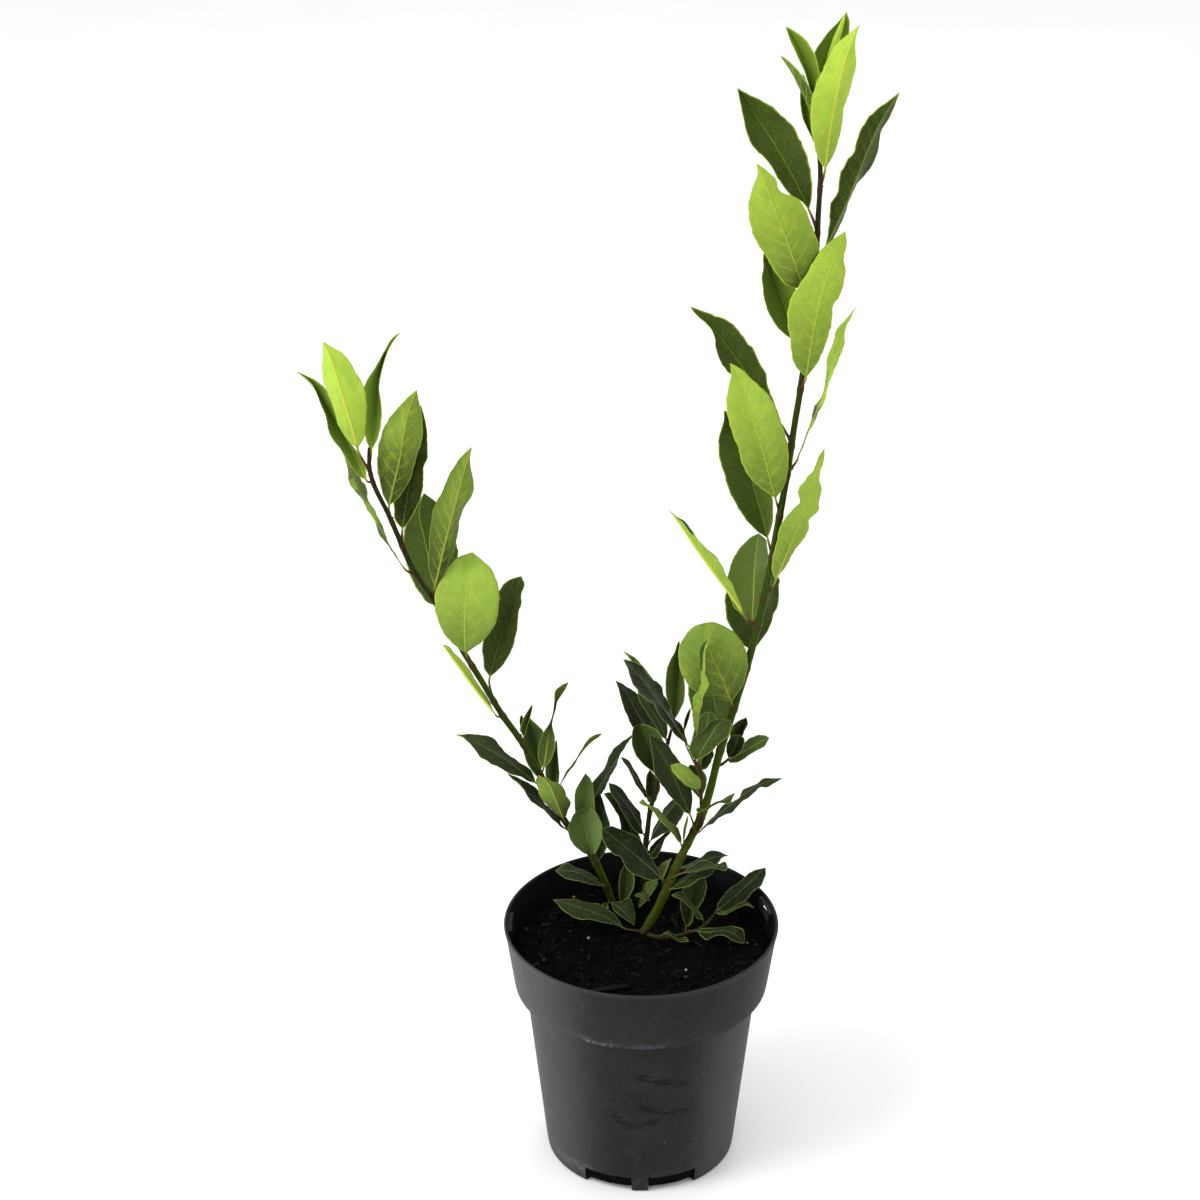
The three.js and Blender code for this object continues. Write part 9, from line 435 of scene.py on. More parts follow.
def stem_material(name, foot, middle, top, shade, turn):
    """st1 = share along, share round, mm along; st2 = nearness of a node, seed, radius."""
    n = Nodes(name)
    t, w, mm = n.sep(n.attr("st1"))
    node, seed, rad = n.sep(n.attr("st2"))
    ang = n.mul(n.sub(w, turn), 2 * math.pi)
    round_ = n.xyz(n.mul(n.math("COSINE", ang), 3.0), n.mul(n.math("SINE", ang), 3.0), n.mul(mm, 0.22))
    streak = n.noise(round_, 0.9, 4.0, 0.6)
    long = n.xyz(n.mul(n.math("COSINE", ang), 3.0), n.mul(n.math("SINE", ang), 3.0), n.mul(mm, 0.045))
    patch = n.noise(long, 0.55, 3.0, 0.5)
    warp = n.add(t, n.mul(n.sub(patch, 0.5), 0.16))
    col = n.mix(n.step(warp, 0.10, 0.30), foot, middle)
    col = n.mix(n.step(warp, 0.52, 0.84), col, top)
    # painted shade: the side of the stem turned away from the light, set by turn, takes the shade colour
    lit = n.step(n.math("COSINE", ang), -0.5, 0.7)
    col = n.mix(n.mul(n.inv(lit), 0.72), col, shade)
    col = n.mix(n.step(streak, 0.48, 0.72, 0.0, 0.40), col, n.mix(0.5, col, srgb(108, 116, 46)))
    col = n.mix(n.step(streak, 0.30, 0.44, 0.28, 0.0), col, shade)
    dots = n.inv(n.step(n.cells(n.xyz(n.mul(n.math("COSINE", ang), 3.0), n.mul(n.math("SINE", ang), 3.0), n.mul(mm, 0.55)), 0.42, "F1"), 0.05, 0.16))
    col = n.mix(n.mul(dots, 0.22), col, srgb(124, 106, 66))
    col = n.mix(n.mul(node, 0.62), col, srgb(66, 34, 20))
    bark = n.inv(n.step(t, 0.006, 0.040))
    crack = n.noise(n.xyz(n.mul(n.math("COSINE", ang), 3.0), n.mul(n.math("SINE", ang), 3.0), n.mul(mm, 0.35)), 1.2, 5.0, 0.7)
    col = n.mix(n.mul(bark, n.step(crack, 0.40, 0.60, 0.25, 0.8)), col, srgb(64, 52, 34))
    rough = n.add(0.46, n.mul(bark, 0.30))
    rough = n.add(rough, n.mul(n.sub(streak, 0.5), 0.2))
    h = n.add(n.mul(streak, 0.8), n.mul(dots, 0.5))
    h = n.add(h, n.mul(bark, n.mul(crack, 2.2)))
    return n.finish(col, rough, n.bump(h, 0.0003, 0.7), specular=0.04)


def bud_material():
    n = Nodes("bud_scales")
    x, y, z = n.sep(n.attr("pp"))
    p = n.attr("pp")
    s = n.noise(p, 0.9, 4.0, 0.6)
    tip = n.attr("bd")
    k, sc, sd = n.sep(tip)
    col = n.mix(n.step(n.add(k, n.mul(n.sub(s, 0.5), 0.5)), 0.2, 0.9), srgb(58, 30, 24), srgb(112, 66, 38))
    col = n.mix(n.mul(n.step(sc, 0.55, 0.95), 0.6), col, srgb(34, 20, 16))
    h = n.add(n.mul(s, 0.6), sc)
    return n.finish(col, 0.5, n.bump(h, 0.0002, 0.6), specular=0.35)


def pot_material():
    """Dark moulded plastic: fine grain, faint turning lines, handling scuffs, dust under the band and on the foot."""
    n = Nodes("pot_plastic")
    p = n.attr("pp")
    x, y, z = n.sep(p)
    ang = n.mul(n.math("ARCTAN2", x, n.mul(y, -1.0)), 180 / math.pi)
    rad = n.math("SQRT", n.add(n.mul(x, x), n.mul(y, y)))
    inside = n.inv(n.step(n.sub(rad, n.attr_x("shell")), -0.9, -0.5))
    fine = n.noise(p, 2.6, 3.0, 0.6)
    mid = n.noise(p, 0.22, 4.0, 0.55)
    big = n.noise(p, 0.028, 3.0, 0.5)
    col = n.mix(n.step(big, 0.35, 0.68), srgb(28, 28, 29), srgb(34, 34, 35))
    col = n.mix(n.step(mid, 0.40, 0.75, 0.0, 0.30), col, srgb(44, 44, 45))
    grain = n.noise(p, 1.05, 2.0, 0.7)
    col = n.mix(n.step(fine, 0.52, 0.78, 0.0, 0.30), col, srgb(66, 66, 67))
    col = n.mix(n.step(grain, 0.50, 0.72, 0.0, 0.26), col, srgb(64, 65, 66))
    col = n.mix(n.step(grain, 0.26, 0.44, 0.30, 0.0), col, srgb(16, 16, 17))
    # thin scratches, mostly round the pot and a few slanting
    s1 = n.noise(n.xyz(n.mul(ang, 0.03), n.mul(z, 0.9), 2.0), 1.0, 2.0)
    line1 = n.inv(n.step(n.math("ABSOLUTE", n.sub(s1, 0.5)), 0.0015, 0.006))
    keep1 = n.step(n.noise(n.xyz(n.mul(ang, 0.05), n.mul(z, 0.03), 7.0), 1.0, 2.0), 0.54, 0.66)
    s2 = n.noise(n.xyz(n.add(n.mul(ang, 0.08), n.mul(z, 0.07)), n.mul(z, 0.15), 11.0), 1.0, 3.0)
    line2 = n.inv(n.step(n.math("ABSOLUTE", n.sub(s2, 0.47)), 0.001, 0.004))
    scr = n.math("MAXIMUM", n.mul(line1, keep1), n.mul(line2, n.mul(keep1, 0.7)))
    col = n.mix(n.mul(scr, 0.16), col, srgb(104, 106, 108))

    def patch(a0, a1, z0, z1, soft_a, soft_z, tilt=0.0):
        zz = n.add(z, n.mul(ang, tilt))
        pa = n.mul(n.step(ang, a0 - soft_a, a0 + soft_a), n.inv(n.step(ang, a1 - soft_a, a1 + soft_a)))
        pz = n.mul(n.step(zz, z0 - soft_z, z0 + soft_z), n.inv(n.step(zz, z1 - soft_z, z1 + soft_z)))
        return n.mul(pa, pz)

    cloud = n.noise(n.xyz(n.mul(ang, 0.16), n.mul(z, 0.16), 3.0), 1.0, 4.0, 0.6)
    # painted light: the flanks are lightened where the light falls on them, the left one more
    lit_flank = n.add(n.mul(n.mul(n.inv(n.step(ang, -54.0, -14.0)), n.step(ang, -178.0, -120.0)), n.step(z, 120.0, 142.0, 0.155, 0.21)),
                  n.mul(n.mul(n.mul(n.step(ang, 22.0, 52.0), n.inv(n.step(ang, 120.0, 178.0))), n.inv(n.step(z, 134.0, 142.0))), 0.13))
    col = n.mix(n.mul(lit_flank, n.step(n.sub(rad, n.attr_x("shell")), -0.9, -0.5)), col, srgb(124, 126, 128))
    # dust caught along the lower edge of the band
    low_band = n.mul(n.step(z, 138.5, 142.0), n.inv(n.step(z, 143.5, 151.0)))
    col = n.mix(n.mul(low_band, n.step(cloud, 0.42, 0.72, 0.0, 0.10)), col, srgb(100, 102, 104))
    smear = n.mul(patch(-34, 4, 140.8, 146.4, 5.0, 1.8, 0.05), n.step(cloud, 0.40, 0.62))
    col = n.mix(n.mul(smear, 0.13), col, srgb(108, 114, 120))
    white = n.mul(patch(-25, -13, 140.4, 142.9, 1.8, 0.7, 0.10), n.step(n.noise(p, 1.15, 3.0, 0.7), 0.56, 0.62))
    col = n.mix(n.mul(white, 0.85), col, srgb(186, 198, 202))
    film = n.mul(patch(-4, 11, 141.4, 145.2, 1.8, 0.9), n.step(cloud, 0.38, 0.60))
    col = n.mix(n.mul(film, 0.16), col, srgb(92, 98, 112))
    # darker rubbed marks on the body
    rag = n.step(n.noise(n.xyz(n.mul(ang, 0.10), n.mul(z, 0.34), 5.0), 1.0, 3.0, 0.6), 0.40, 0.56)
    dark = n.mul(patch(-2, 25, 105.5, 112.5, 3.0, 2.0, 0.42), rag)
    dark = n.math("MAXIMUM", dark, n.mul(n.mul(patch(-2, 29, 77.5, 84.0, 3.5, 2.0, 0.36), rag), 0.8))
    arc_z = n.add(z, n.mul(n.mul(n.add(ang, 2.0), n.add(ang, 2.0)), -0.055))
    arc = n.mul(n.mul(n.step(ang, -20.0, -12.0), n.inv(n.step(ang, 8.0, 15.0))), n.mul(n.step(arc_z, 57.0, 60.0), n.inv(n.step(arc_z, 64.0, 68.0))))
    dark = n.math("MAXIMUM", dark, n.mul(n.mul(arc, rag), 0.7))
    drip = n.mul(n.mul(n.step(ang, 26.0, 28.0), n.inv(n.step(ang, 31.0, 34.0))), n.step(n.noise(n.xyz(n.mul(ang, 0.7), n.mul(z, 0.2), 9.0), 1.0, 3.0), 0.52, 0.62))
    dark = n.math("MAXIMUM", dark, n.mul(n.mul(drip, n.mul(n.step(z, 35.0, 45.0), n.inv(n.step(z, 120.0, 136.0)))), 0.35))
    col = n.mix(n.mul(dark, 0.85), col, srgb(5, 5, 6))
    # pale soil dust on the foot
    foot = n.mul(n.inv(n.step(z, 6.0, 26.0)), n.step(cloud, 0.42, 0.70))
    col = n.mix(n.mul(foot, 0.16), col, srgb(104, 102, 98))
    heel = n.mul(patch(-66, -30, 8.0, 15.5, 6.0, 3.5), n.step(cloud, 0.35, 0.60))
    col = n.mix(n.mul(heel, 0.26), col, srgb(116, 114, 112))
    # scattered specks
    sp = n.inv(n.step(n.cells(p, 0.10, "F1"), 0.035, 0.06))
    pick = n.step(n.cell_random(p, 0.10), 0.72, 0.74)
    col = n.mix(n.mul(n.mul(sp, pick), 0.5), col, srgb(120, 120, 118))
    sp2 = n.inv(n.step(n.cells(p, 0.07, "F1"), 0.03, 0.06))
    pick2 = n.step(n.cell_random(p, 0.07), 0.80, 0.82)
    col = n.mix(n.mul(n.mul(sp2, pick2), 0.8), col, srgb(8, 8, 8))
    # painted highlight: the top of the lip is lightened; the inner wall is darker low down, towards the soil
    lip_highlight = n.step(z, 188.2, 190.0)
    col = n.mix(n.mul(lip_highlight, 0.40), col, srgb(58, 60, 62))
    inner_low_dark = n.mul(n.step(n.sub(n.attr_x("shell"), rad), 0.7, 1.1), n.inv(n.step(n.add(z, n.mul(n.sub(mid, 0.5), 14.0)), 171.0, 184.0)))
    col = n.mix(n.mul(inner_low_dark, 0.65), col, srgb(9, 8, 8))
    # painted shade: the whole inside of the pot is darkened
    inner = n.step(n.sub(n.attr_x("shell"), rad), 0.7, 1.1)
    col = n.mix(n.mul(inner, 0.55), col, srgb(12, 12, 13))
    rough = n.add(0.47, n.mul(n.sub(mid, 0.5), 0.22))
    rough = n.add(rough, n.mul(n.math("MAXIMUM", smear, foot), 0.2))
    h = n.add(n.mul(fine, 0.55), n.mul(n.noise(p, 0.9, 2.0), 0.5))
    h = n.add(h, n.mul(n.math("SINE", n.mul(z, 5.5)), 0.05))
    h = n.add(h, n.mul(white, 1.5))
    h = n.sub(h, n.mul(scr, 0.5))
    return n.finish(col, rough, n.bump(h, 0.00016, 0.65), specular=0.07)


def attr_x(self, name):
    return self.sep(self.attr(name))[0]


def cell_random(self, vec, scale):
    n = self.t.nodes.new("ShaderNodeTexVoronoi")
    n.feature = "F1"
    self.put(n.inputs["Vector"], vec)
    n.inputs["Scale"].default_value = scale
    s = self.t.nodes.new("ShaderNodeSeparateColor")
    self.t.links.new(n.outputs["Color"], s.inputs[0])
    return s.outputs[0]


Nodes.attr_x = attr_x
Nodes.cell_random = cell_random


def soil_material():
    n = Nodes("potting_mix")
    p = n.attr("pp")
    big = n.noise(p, 0.045, 3.0, 0.5)
    mid = n.noise(p, 0.33, 5.0, 0.65)
    fine = n.noise(p, 1.7, 4.0, 0.7)
    col = n.mix(n.step(mid, 0.36, 0.68), srgb(4, 4, 4), srgb(13, 12, 12))
    col = n.mix(n.step(big, 0.42, 0.66, 0.0, 0.45), col, srgb(9, 9, 9))
    col = n.mix(n.step(fine, 0.60, 0.74, 0.0, 0.45), col, srgb(27, 23, 20))
    brown = n.mul(n.step(n.cell_random(p, 0.42), 0.86, 0.9), n.inv(n.step(n.cells(p, 0.42, "F1"), 0.2, 0.5)))
    col = n.mix(n.mul(brown, 0.30), col, srgb(32, 27, 22))
    h = n.add(n.mul(mid, 1.6), n.mul(fine, 0.9))
    return n.finish(col, n.step(mid, 0.3, 0.7, 0.98, 0.86), n.bump(h, 0.0009, 0.9), specular=0.04)


def bits_material(name, stops, rough, grain, distance, specular=0.2):
    """cid = random share, share along the piece, seed."""
    n = Nodes(name)
    k, u, sd = n.sep(n.attr("cid"))
    p = n.attr("pp")
    ramp = n.t.nodes.new("ShaderNodeValToRGB")
    ramp.color_ramp.interpolation = "LINEAR"
    el = ramp.color_ramp.elements
    while len(el) < len(stops):
        el.new(0.5)
    for e, (pos, c) in zip(el, stops):
        e.position = pos
        e.color = c
    n.put(ramp.inputs[0], k)
    g = n.noise(p, grain, 4.0, 0.65)
    col = n.mix(n.step(g, 0.35, 0.65, 0.45, 0.0), ramp.outputs[0], srgb(4, 4, 4))
    return n.finish(col, rough, n.bump(g, distance, 0.8), specular=specular)


LEAF = leaf_material("bay_leaf", 0.065, 0.0, 0.85)
LEAF_LOW = leaf_material("bay_leaf_low", 0.045, 0.22, 0.28)  # the older leaves near the soil are dull
BUD = bud_material()
POT = pot_material()
SOIL = soil_material()
STEM_MATS = {
    "right_stem": stem_material("stem_right", srgb(92, 118, 18), srgb(70, 96, 14), srgb(58, 36, 22), srgb(24, 34, 8), 0.62),
    "left_stem": stem_material("stem_left", srgb(84, 104, 22), srgb(60, 82, 16), srgb(38, 36, 14), srgb(18, 24, 8), 0.62),
    "centre_stem": stem_material("stem_centre", srgb(56, 56, 30), srgb(56, 62, 30), srgb(58, 50, 30), srgb(24, 24, 16), 0.62),
    "low_branch": stem_material("stem_low", srgb(62, 58, 34), srgb(68, 70, 36), srgb(74, 80, 40), srgb(30, 28, 18), 0.62),
    "inner_sprig": stem_material("stem_sprig", srgb(72, 50, 28), srgb(76, 64, 30), srgb(80, 48, 26), srgb(34, 26, 16), 0.62),
    "side_twig": stem_material("stem_twig", srgb(58, 36, 24), srgb(62, 42, 26), srgb(66, 46, 28), srgb(28, 20, 14), 0.62),
}

made = []


def piece(o, slot, *nodes):
    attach(o, "root")
    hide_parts(*nodes)
    made.append(o)
    return o


# ------------------------------------------------------------------ leaves
NS = 45
_x = np.linspace(0, 1, NS)
STATIONS = 0.62 * _x + 0.38 * (0.5 - 0.5 * np.cos(np.pi * _x))
FAR = np.array([0.10, 0.25, 0.43, 0.62, 0.79, 0.91, 1.0])
# places along a blade where a curl brings its other face round to the front, and on leaf_l01 and leaf_l09 painted shade
# and painted highlights:
# from, to, half (-1 left, 1 right, 0 both), share of the half left as it is, face (0 upper, 1 under), tone
TURNS_AND_PAINTED_LIGHT = {
    # painted shade: leaf_l01's left half keeps its under face but is darkened to tone 0.74, for the shade on that side
    # of its fold
    "leaf_l01": ((-0.1, 1.1, -1, -1, 1, 0.74),),
    "leaf_l02": ((0.80, 1.05, 0, -1, 1, 0.85),),
    # painted highlights: the pale under-face patches on leaf_l09 at 0.34 to 0.50 and 0.60 to 0.68 stand for light
    # catching the blade
    "leaf_l09": ((0.34, 0.50, 0, -1, 1, 0.75), (0.60, 0.68, -1, -1, 1, 0.7), (0.82, 0.96, 0, -1, 1, 0.75)),
    "leaf_r13": ((0.27, 0.34, 0, 0.2, 0, 0.10),),
    "leaf_r16": ((0.72, 0.90, 1, 0.55, 0, 0.14),),
    "leaf_r20": ((0.60, 0.95, -1, 0.25, 0, 0.14),),
}
SHAPES = {}


def leaf_object(row):
    name, stem, side, tone, wave, own, at, at_r, mid, left, right = row
    M0, L0, R0 = (np.array(q, float).reshape(13, 3) for q in (mid, left, right))
    M, L, R = catmull(M0, STATIONS), catmull(L0, STATIONS), catmull(R0, STATIONS)
    at = np.array(at, float)
    seed = hash1(*[ord(c) for c in name])
    T = unit(np.gradient(M, axis=0))
    X = R - L
    wid = np.linalg.norm(X, axis=1)
    ok = wid > 1.2
    if ok.sum() < 3:
        ok = wid > 0.3
    idx = np.where(ok)[0]
    near = idx[np.argmin(np.abs(np.arange(NS)[:, None] - idx[None, :]), axis=1)]
    Xu = unit(X[near] - T * np.sum(X[near] * T, axis=1)[:, None])
    nrm = unit(np.cross(T, Xu))
    for _ in range(3):
        nrm[1:-1] = unit(nrm[1:-1] * 2 + nrm[:-2] + nrm[2:])
    facing = np.sum(wid * np.sum(nrm * unit(EYE - M), axis=1))
    up = nrm * (1 if facing > 0 else -1) * (1 if side == "A" else -1)
    along = np.r_[0, np.cumsum(np.linalg.norm(np.diff(M, axis=0), axis=1))]
    length = along[-1]
    env = np.clip(np.sin(np.pi * STATIONS), 0, 1) ** 0.5
    size = min(1.0, length / 85.0)
    rows, bs, ms, us = [], [], [], []
    half = {}
    for sgn, E in ((-1, L), (1, R)):
        hw = np.linalg.norm(E - M, axis=1)
        # the margin itself is slightly uneven in the plane of the blade
        q1 = np.sin(2 * math.pi * along / (4.1 + 1.3 * hash1(seed, sgn, 6)) + 6.28 * hash1(seed, sgn, 7))
        q2 = np.sin(2 * math.pi * along / (8.7 + 2.0 * hash1(seed, sgn, 8)) + 6.28 * hash1(seed, sgn, 9))
        crinkle = (0.16 * q1 + 0.24 * q2) * env * size * np.clip(hw / 6.0, 0, 1)
        E = M + (E - M) * (1 + crinkle / np.maximum(hw, 1.0))[:, None]
        hw = np.linalg.norm(E - M, axis=1)
        wm = np.minimum((0.62 * (1 - STATIONS) ** 0.7 + 0.22) * (0.6 + 0.4 * size), 0.34 * hw)
        b = np.concatenate([(0.5 * wm)[:, None], wm[:, None], wm[:, None] + (hw - wm)[:, None] * FAR[None, :]], axis=1)
        f = np.divide(b, np.maximum(hw, 1e-6)[:, None])
        P = M[:, None, :] + (E - M)[:, None, :] * f[:, :, None]
        # each half arches a little, and its margin ripples
        lift = 0.055 * hw[:, None] * 4 * f * (1 - f) + 0.02 * hw[:, None] * f
        k1 = 2 * math.pi * along / (15.0 + 5 * hash1(seed, sgn, 1)) + 6.28 * hash1(seed, sgn, 2)
        k2 = 2 * math.pi * along / (6.3 + 2 * hash1(seed, sgn, 3)) + 6.28 * hash1(seed, sgn, 4)
        amp = 0.42 + 0.35 * np.sin(along / 11.0 + 6.28 * hash1(seed, sgn, 5))
        rip = (np.sin(k1) * amp + 0.22 * np.sin(k2)) * env * wave * size
        lift = lift - rip[:, None] * f**2.2 * np.minimum(1, hw / 4.0)[:, None]
        P = P - up[:, None, :] * lift[:, :, None]
        half[sgn] = (P, b, hw[:, None] - b, f, wm)
    PL, bL, mL, fL, wmL = half[-1]
    PR, bR, mR, fR, wmR = half[1]
    centre = np.concatenate([PL[:, ::-1], M[:, None, :], PR], axis=1)
    bb = np.concatenate([-bL[:, ::-1], np.zeros((NS, 1)), bR], axis=1)
    mm = np.concatenate([mL[:, ::-1], np.minimum(mL[:, 0] + bL[:, 0], mR[:, 0] + bR[:, 0])[:, None], mR], axis=1)
    ff = np.concatenate([-fL[:, ::-1], np.zeros((NS, 1)), fR], axis=1)
    NC = centre.shape[1]
    c = NC // 2
    hw_all = np.maximum(np.linalg.norm(L - M, axis=1), np.linalg.norm(R - M, axis=1))
    # surface normals of the shaped sheet
    du = np.gradient(centre, axis=0)
    dv = np.gradient(centre, axis=1)
    ns = np.cross(du, dv)
    ln = np.linalg.norm(ns, axis=2, keepdims=True)
    ns = np.where(ln > 1e-3, ns / np.maximum(ln, 1e-9), up[:, None, :])
    flip = np.sum(ns * up[:, None, :], axis=2, keepdims=True)
    ns = np.where(flip < 0, -ns, ns)
    th = 0.21 * np.clip(np.minimum(mm / 0.8, 1), 0.35, 1)
    rib = (0.50 * (1 - STATIONS) ** 0.8 + 0.10) * (0.55 + 0.45 * size) * np.minimum(1, hw_all / 2.5)
    top = centre + ns * th[:, :, None]
    bot = centre - ns * th[:, :, None]
    for dc, kt, kb in ((0, -0.30, 1.0), (1, -0.12, 0.78), (2, 0.0, 0.10)):
        for cc in {c - dc, c + dc}:
            top[:, cc] += ns[:, cc] * (rib * kt)[:, None]
            bot[:, cc] -= ns[:, cc] * (rib * kb)[:, None]
    verts = np.concatenate([top.reshape(-1, 3), bot.reshape(-1, 3)])
    A1 = np.stack([np.repeat(along[:, None], NC, 1), bb, mm], axis=2).reshape(-1, 3)
    high = min(1.0, max(0.0, (M[:, 2].mean() - 230.0) / 420.0))
    A3 = np.tile([seed, high, hw_all.max()], (NS * NC, 1))
    vv = np.repeat(STATIONS[:, None], NC, 1).reshape(-1, 1)
    t0 = TONES.get(name, tone)
    # every blade is a little paler towards its tip
    tv = np.clip(t0 + 0.07 * (vv - 0.5), 0, 1.3)
    front = np.full_like(vv, 0.0 if side == "A" else 1.0)
    back = np.full_like(vv, 1.0 if side == "A" else 0.0)
    tb = np.full_like(vv, 0.30 + 0.4 * min(tone, 1) if side == "A" else 0.12 + 0.3 * min(tone, 1))
    for v0, v1, s, inner, f, t in TURNS_AND_PAINTED_LIGHT.get(name, ()):
        w = np.clip((vv - v0) / 0.05 + 0.5, 0, 1) * np.clip((v1 - vv) / 0.05 + 0.5, 0, 1)
        w = w * (1.0 if s == 0 else (bb.reshape(-1, 1) * s > 0.05)) * np.clip((np.abs(ff).reshape(-1, 1) - inner) / 0.15 + 0.5, 0, 1)
        front, tv = front * (1 - w) + f * w, tv * (1 - w) + t * w
        back, tb = back * (1 - w) + f * w, tb * (1 - w) + t * w
    sheets = [np.concatenate([vv, front, tv], axis=1), np.concatenate([vv, back, tb], axis=1)]
    face0, face1 = sheets if side == "A" else sheets[::-1]
    n1 = NS * NC
    uvx = (ff + 1) / 2
    uv0 = np.stack([0.008 + 0.484 * uvx, np.repeat(0.085 + 0.907 * STATIONS[:, None], NC, 1)], axis=2).reshape(-1, 2)
    uv1 = np.stack([0.508 + 0.484 * (1 - uvx), np.repeat(0.085 + 0.907 * STATIONS[:, None], NC, 1)], axis=2).reshape(-1, 2)
    faces, uvs = [], []

    def quad(ids, uv):
        faces.append(ids)
        uvs.extend(uv)

    # winding so that the upper sheet faces along ns
    test = np.cross(centre[NS // 2 + 1, c] - centre[NS // 2, c], centre[NS // 2, c + 3] - centre[NS // 2, c])
    fwd = np.dot(test, ns[NS // 2, c]) > 0
    for i in range(NS - 1):
        for j in range(NC - 1):
            q = [i * NC + j, (i + 1) * NC + j, (i + 1) * NC + j + 1, i * NC + j + 1]
            a = q if fwd else q[::-1]
            quad(a, [uv0[k] for k in a])
            r = [k + n1 for k in (q[::-1] if fwd else q)]
            quad(r, [uv1[k - n1] for k in r])
        for j, uu in ((0, 0.004), (NC - 1, 0.4965)):
            q = [i * NC + j, (i + 1) * NC + j, (i + 1) * NC + j + n1, i * NC + j + n1]
            up_w = (j == 0) != fwd
            q = q if up_w else q[::-1]
            quad(q, [(uu, uv0[k % n1][1]) for k in q])
    # stalk: from the stem, bending into the blade and running on as the midrib
    p0, p3 = at, M[0]
    st = np.array([[*s[:3]] for s in STEMS[stem]])
    k = int(np.argmin(np.linalg.norm(st - at, axis=1)))
    tan = unit(st[min(k + 1, 60)] - st[max(k - 1, 0)])
    gap = np.linalg.norm(p3 - p0)
    tin = unit(M[4] - M[0])
    out = unit((p3 - p0) + 0.25 * gap * tan)
    c1, c2 = p0 + out * gap * 0.40, p3 - tin * gap * 0.30
    tt = np.linspace(0, 1, 11)[:, None]
    path = (1 - tt) ** 3 * p0 + 3 * (1 - tt) ** 2 * tt * c1 + 3 * (1 - tt) * tt**2 * c2 + tt**3 * p3
    pr = np.interp(tt[:, 0], [0, 0.25, 0.6, 1.0], [1.45, 1.02, 0.86, 0.80])
    js = [1, 2, 3, 5, 7]
    ext = np.array([bot[j, c] + ns[j, c] * rib[j] * 0.75 for j in js])
    er = np.array([0.62, 0.50, 0.40, 0.30, 0.18])
    path = np.vstack([path, ext])
    pr = np.r_[pr, er] * (0.55 + 0.45 * size)
    vt = np.r_[tt[:, 0] * 0.9, np.linspace(0.95, 1.15, len(js))]
    TT = unit(np.gradient(path, axis=0))
    s0 = unit(np.cross(TT[0], [0.31, 0.2, 0.93]))
    K = 10
    base = len(verts)
    rings = []
    for i in range(len(path)):
        s0 = unit(s0 - TT[i] * np.dot(s0, TT[i]))
        u0 = np.cross(TT[i], s0)
        an = np.arange(K) / K * 2 * math.pi
        rings.append(path[i] + (np.cos(an)[:, None] * s0 + np.sin(an)[:, None] * u0) * pr[i])
    rings = np.array(rings)
    pv = rings.reshape(-1, 3)
    verts = np.vstack([verts, pv])
    np_ = len(path)
    pa = np.repeat(np.r_[0, np.cumsum(np.linalg.norm(np.diff(path, axis=0), axis=1))], K)
    A1 = np.vstack([A1, A1, np.stack([pa, np.tile(np.arange(K) * 0.3, np_), np.full(np_ * K, 5.0)], axis=1)])
    A2 = np.vstack([face0, face1, np.stack([np.repeat(vt, K), np.full(np_ * K, 2.0), np.full(np_ * K, tone)], axis=1)])
    A3 = np.vstack([A3, A3, np.tile([seed, high, 5.0], (np_ * K, 1))])
    for i in range(np_ - 1):
        for j in range(K):
            a, b = base + i * K + j, base + i * K + (j + 1) % K
            q = [a, b, b + K, a + K]
            quad(q, [(0.01 + 0.98 * i / np_, 0.006 + 0.07 * j / K), (0.01 + 0.98 * i / np_, 0.006 + 0.07 * (j + 1) / K), (0.01 + 0.98 * (i + 1) / np_, 0.006 + 0.07 * (j + 1) / K), (0.01 + 0.98 * (i + 1) / np_, 0.006 + 0.07 * j / K)])
    quad([base + (np_ - 1) * K + j for j in range(K)], [(0.99, 0.01)] * K)
    edit = SHAPES.get(name)
    if edit:
        verts, A1, A2 = edit(verts, A1, A2, n1, NC)
    o = make(name.replace("leaf_", "blade_"), verts, faces, {"lf1": A1, "lf2": A2, "lf3": A3}, uvs, mats=[LEAF_LOW if high < 0.30 else LEAF])
    piece(o, "leaf_pale" if side == "B" and tone > 0.4 else "leaf_dark", name if own else stem)
    return dict(stem=stem, k=k, at=at, out=unit(p3 - p0), tan=tan, size=size, length=length)


joints_on = [leaf_object(r) for r in LEAVES]


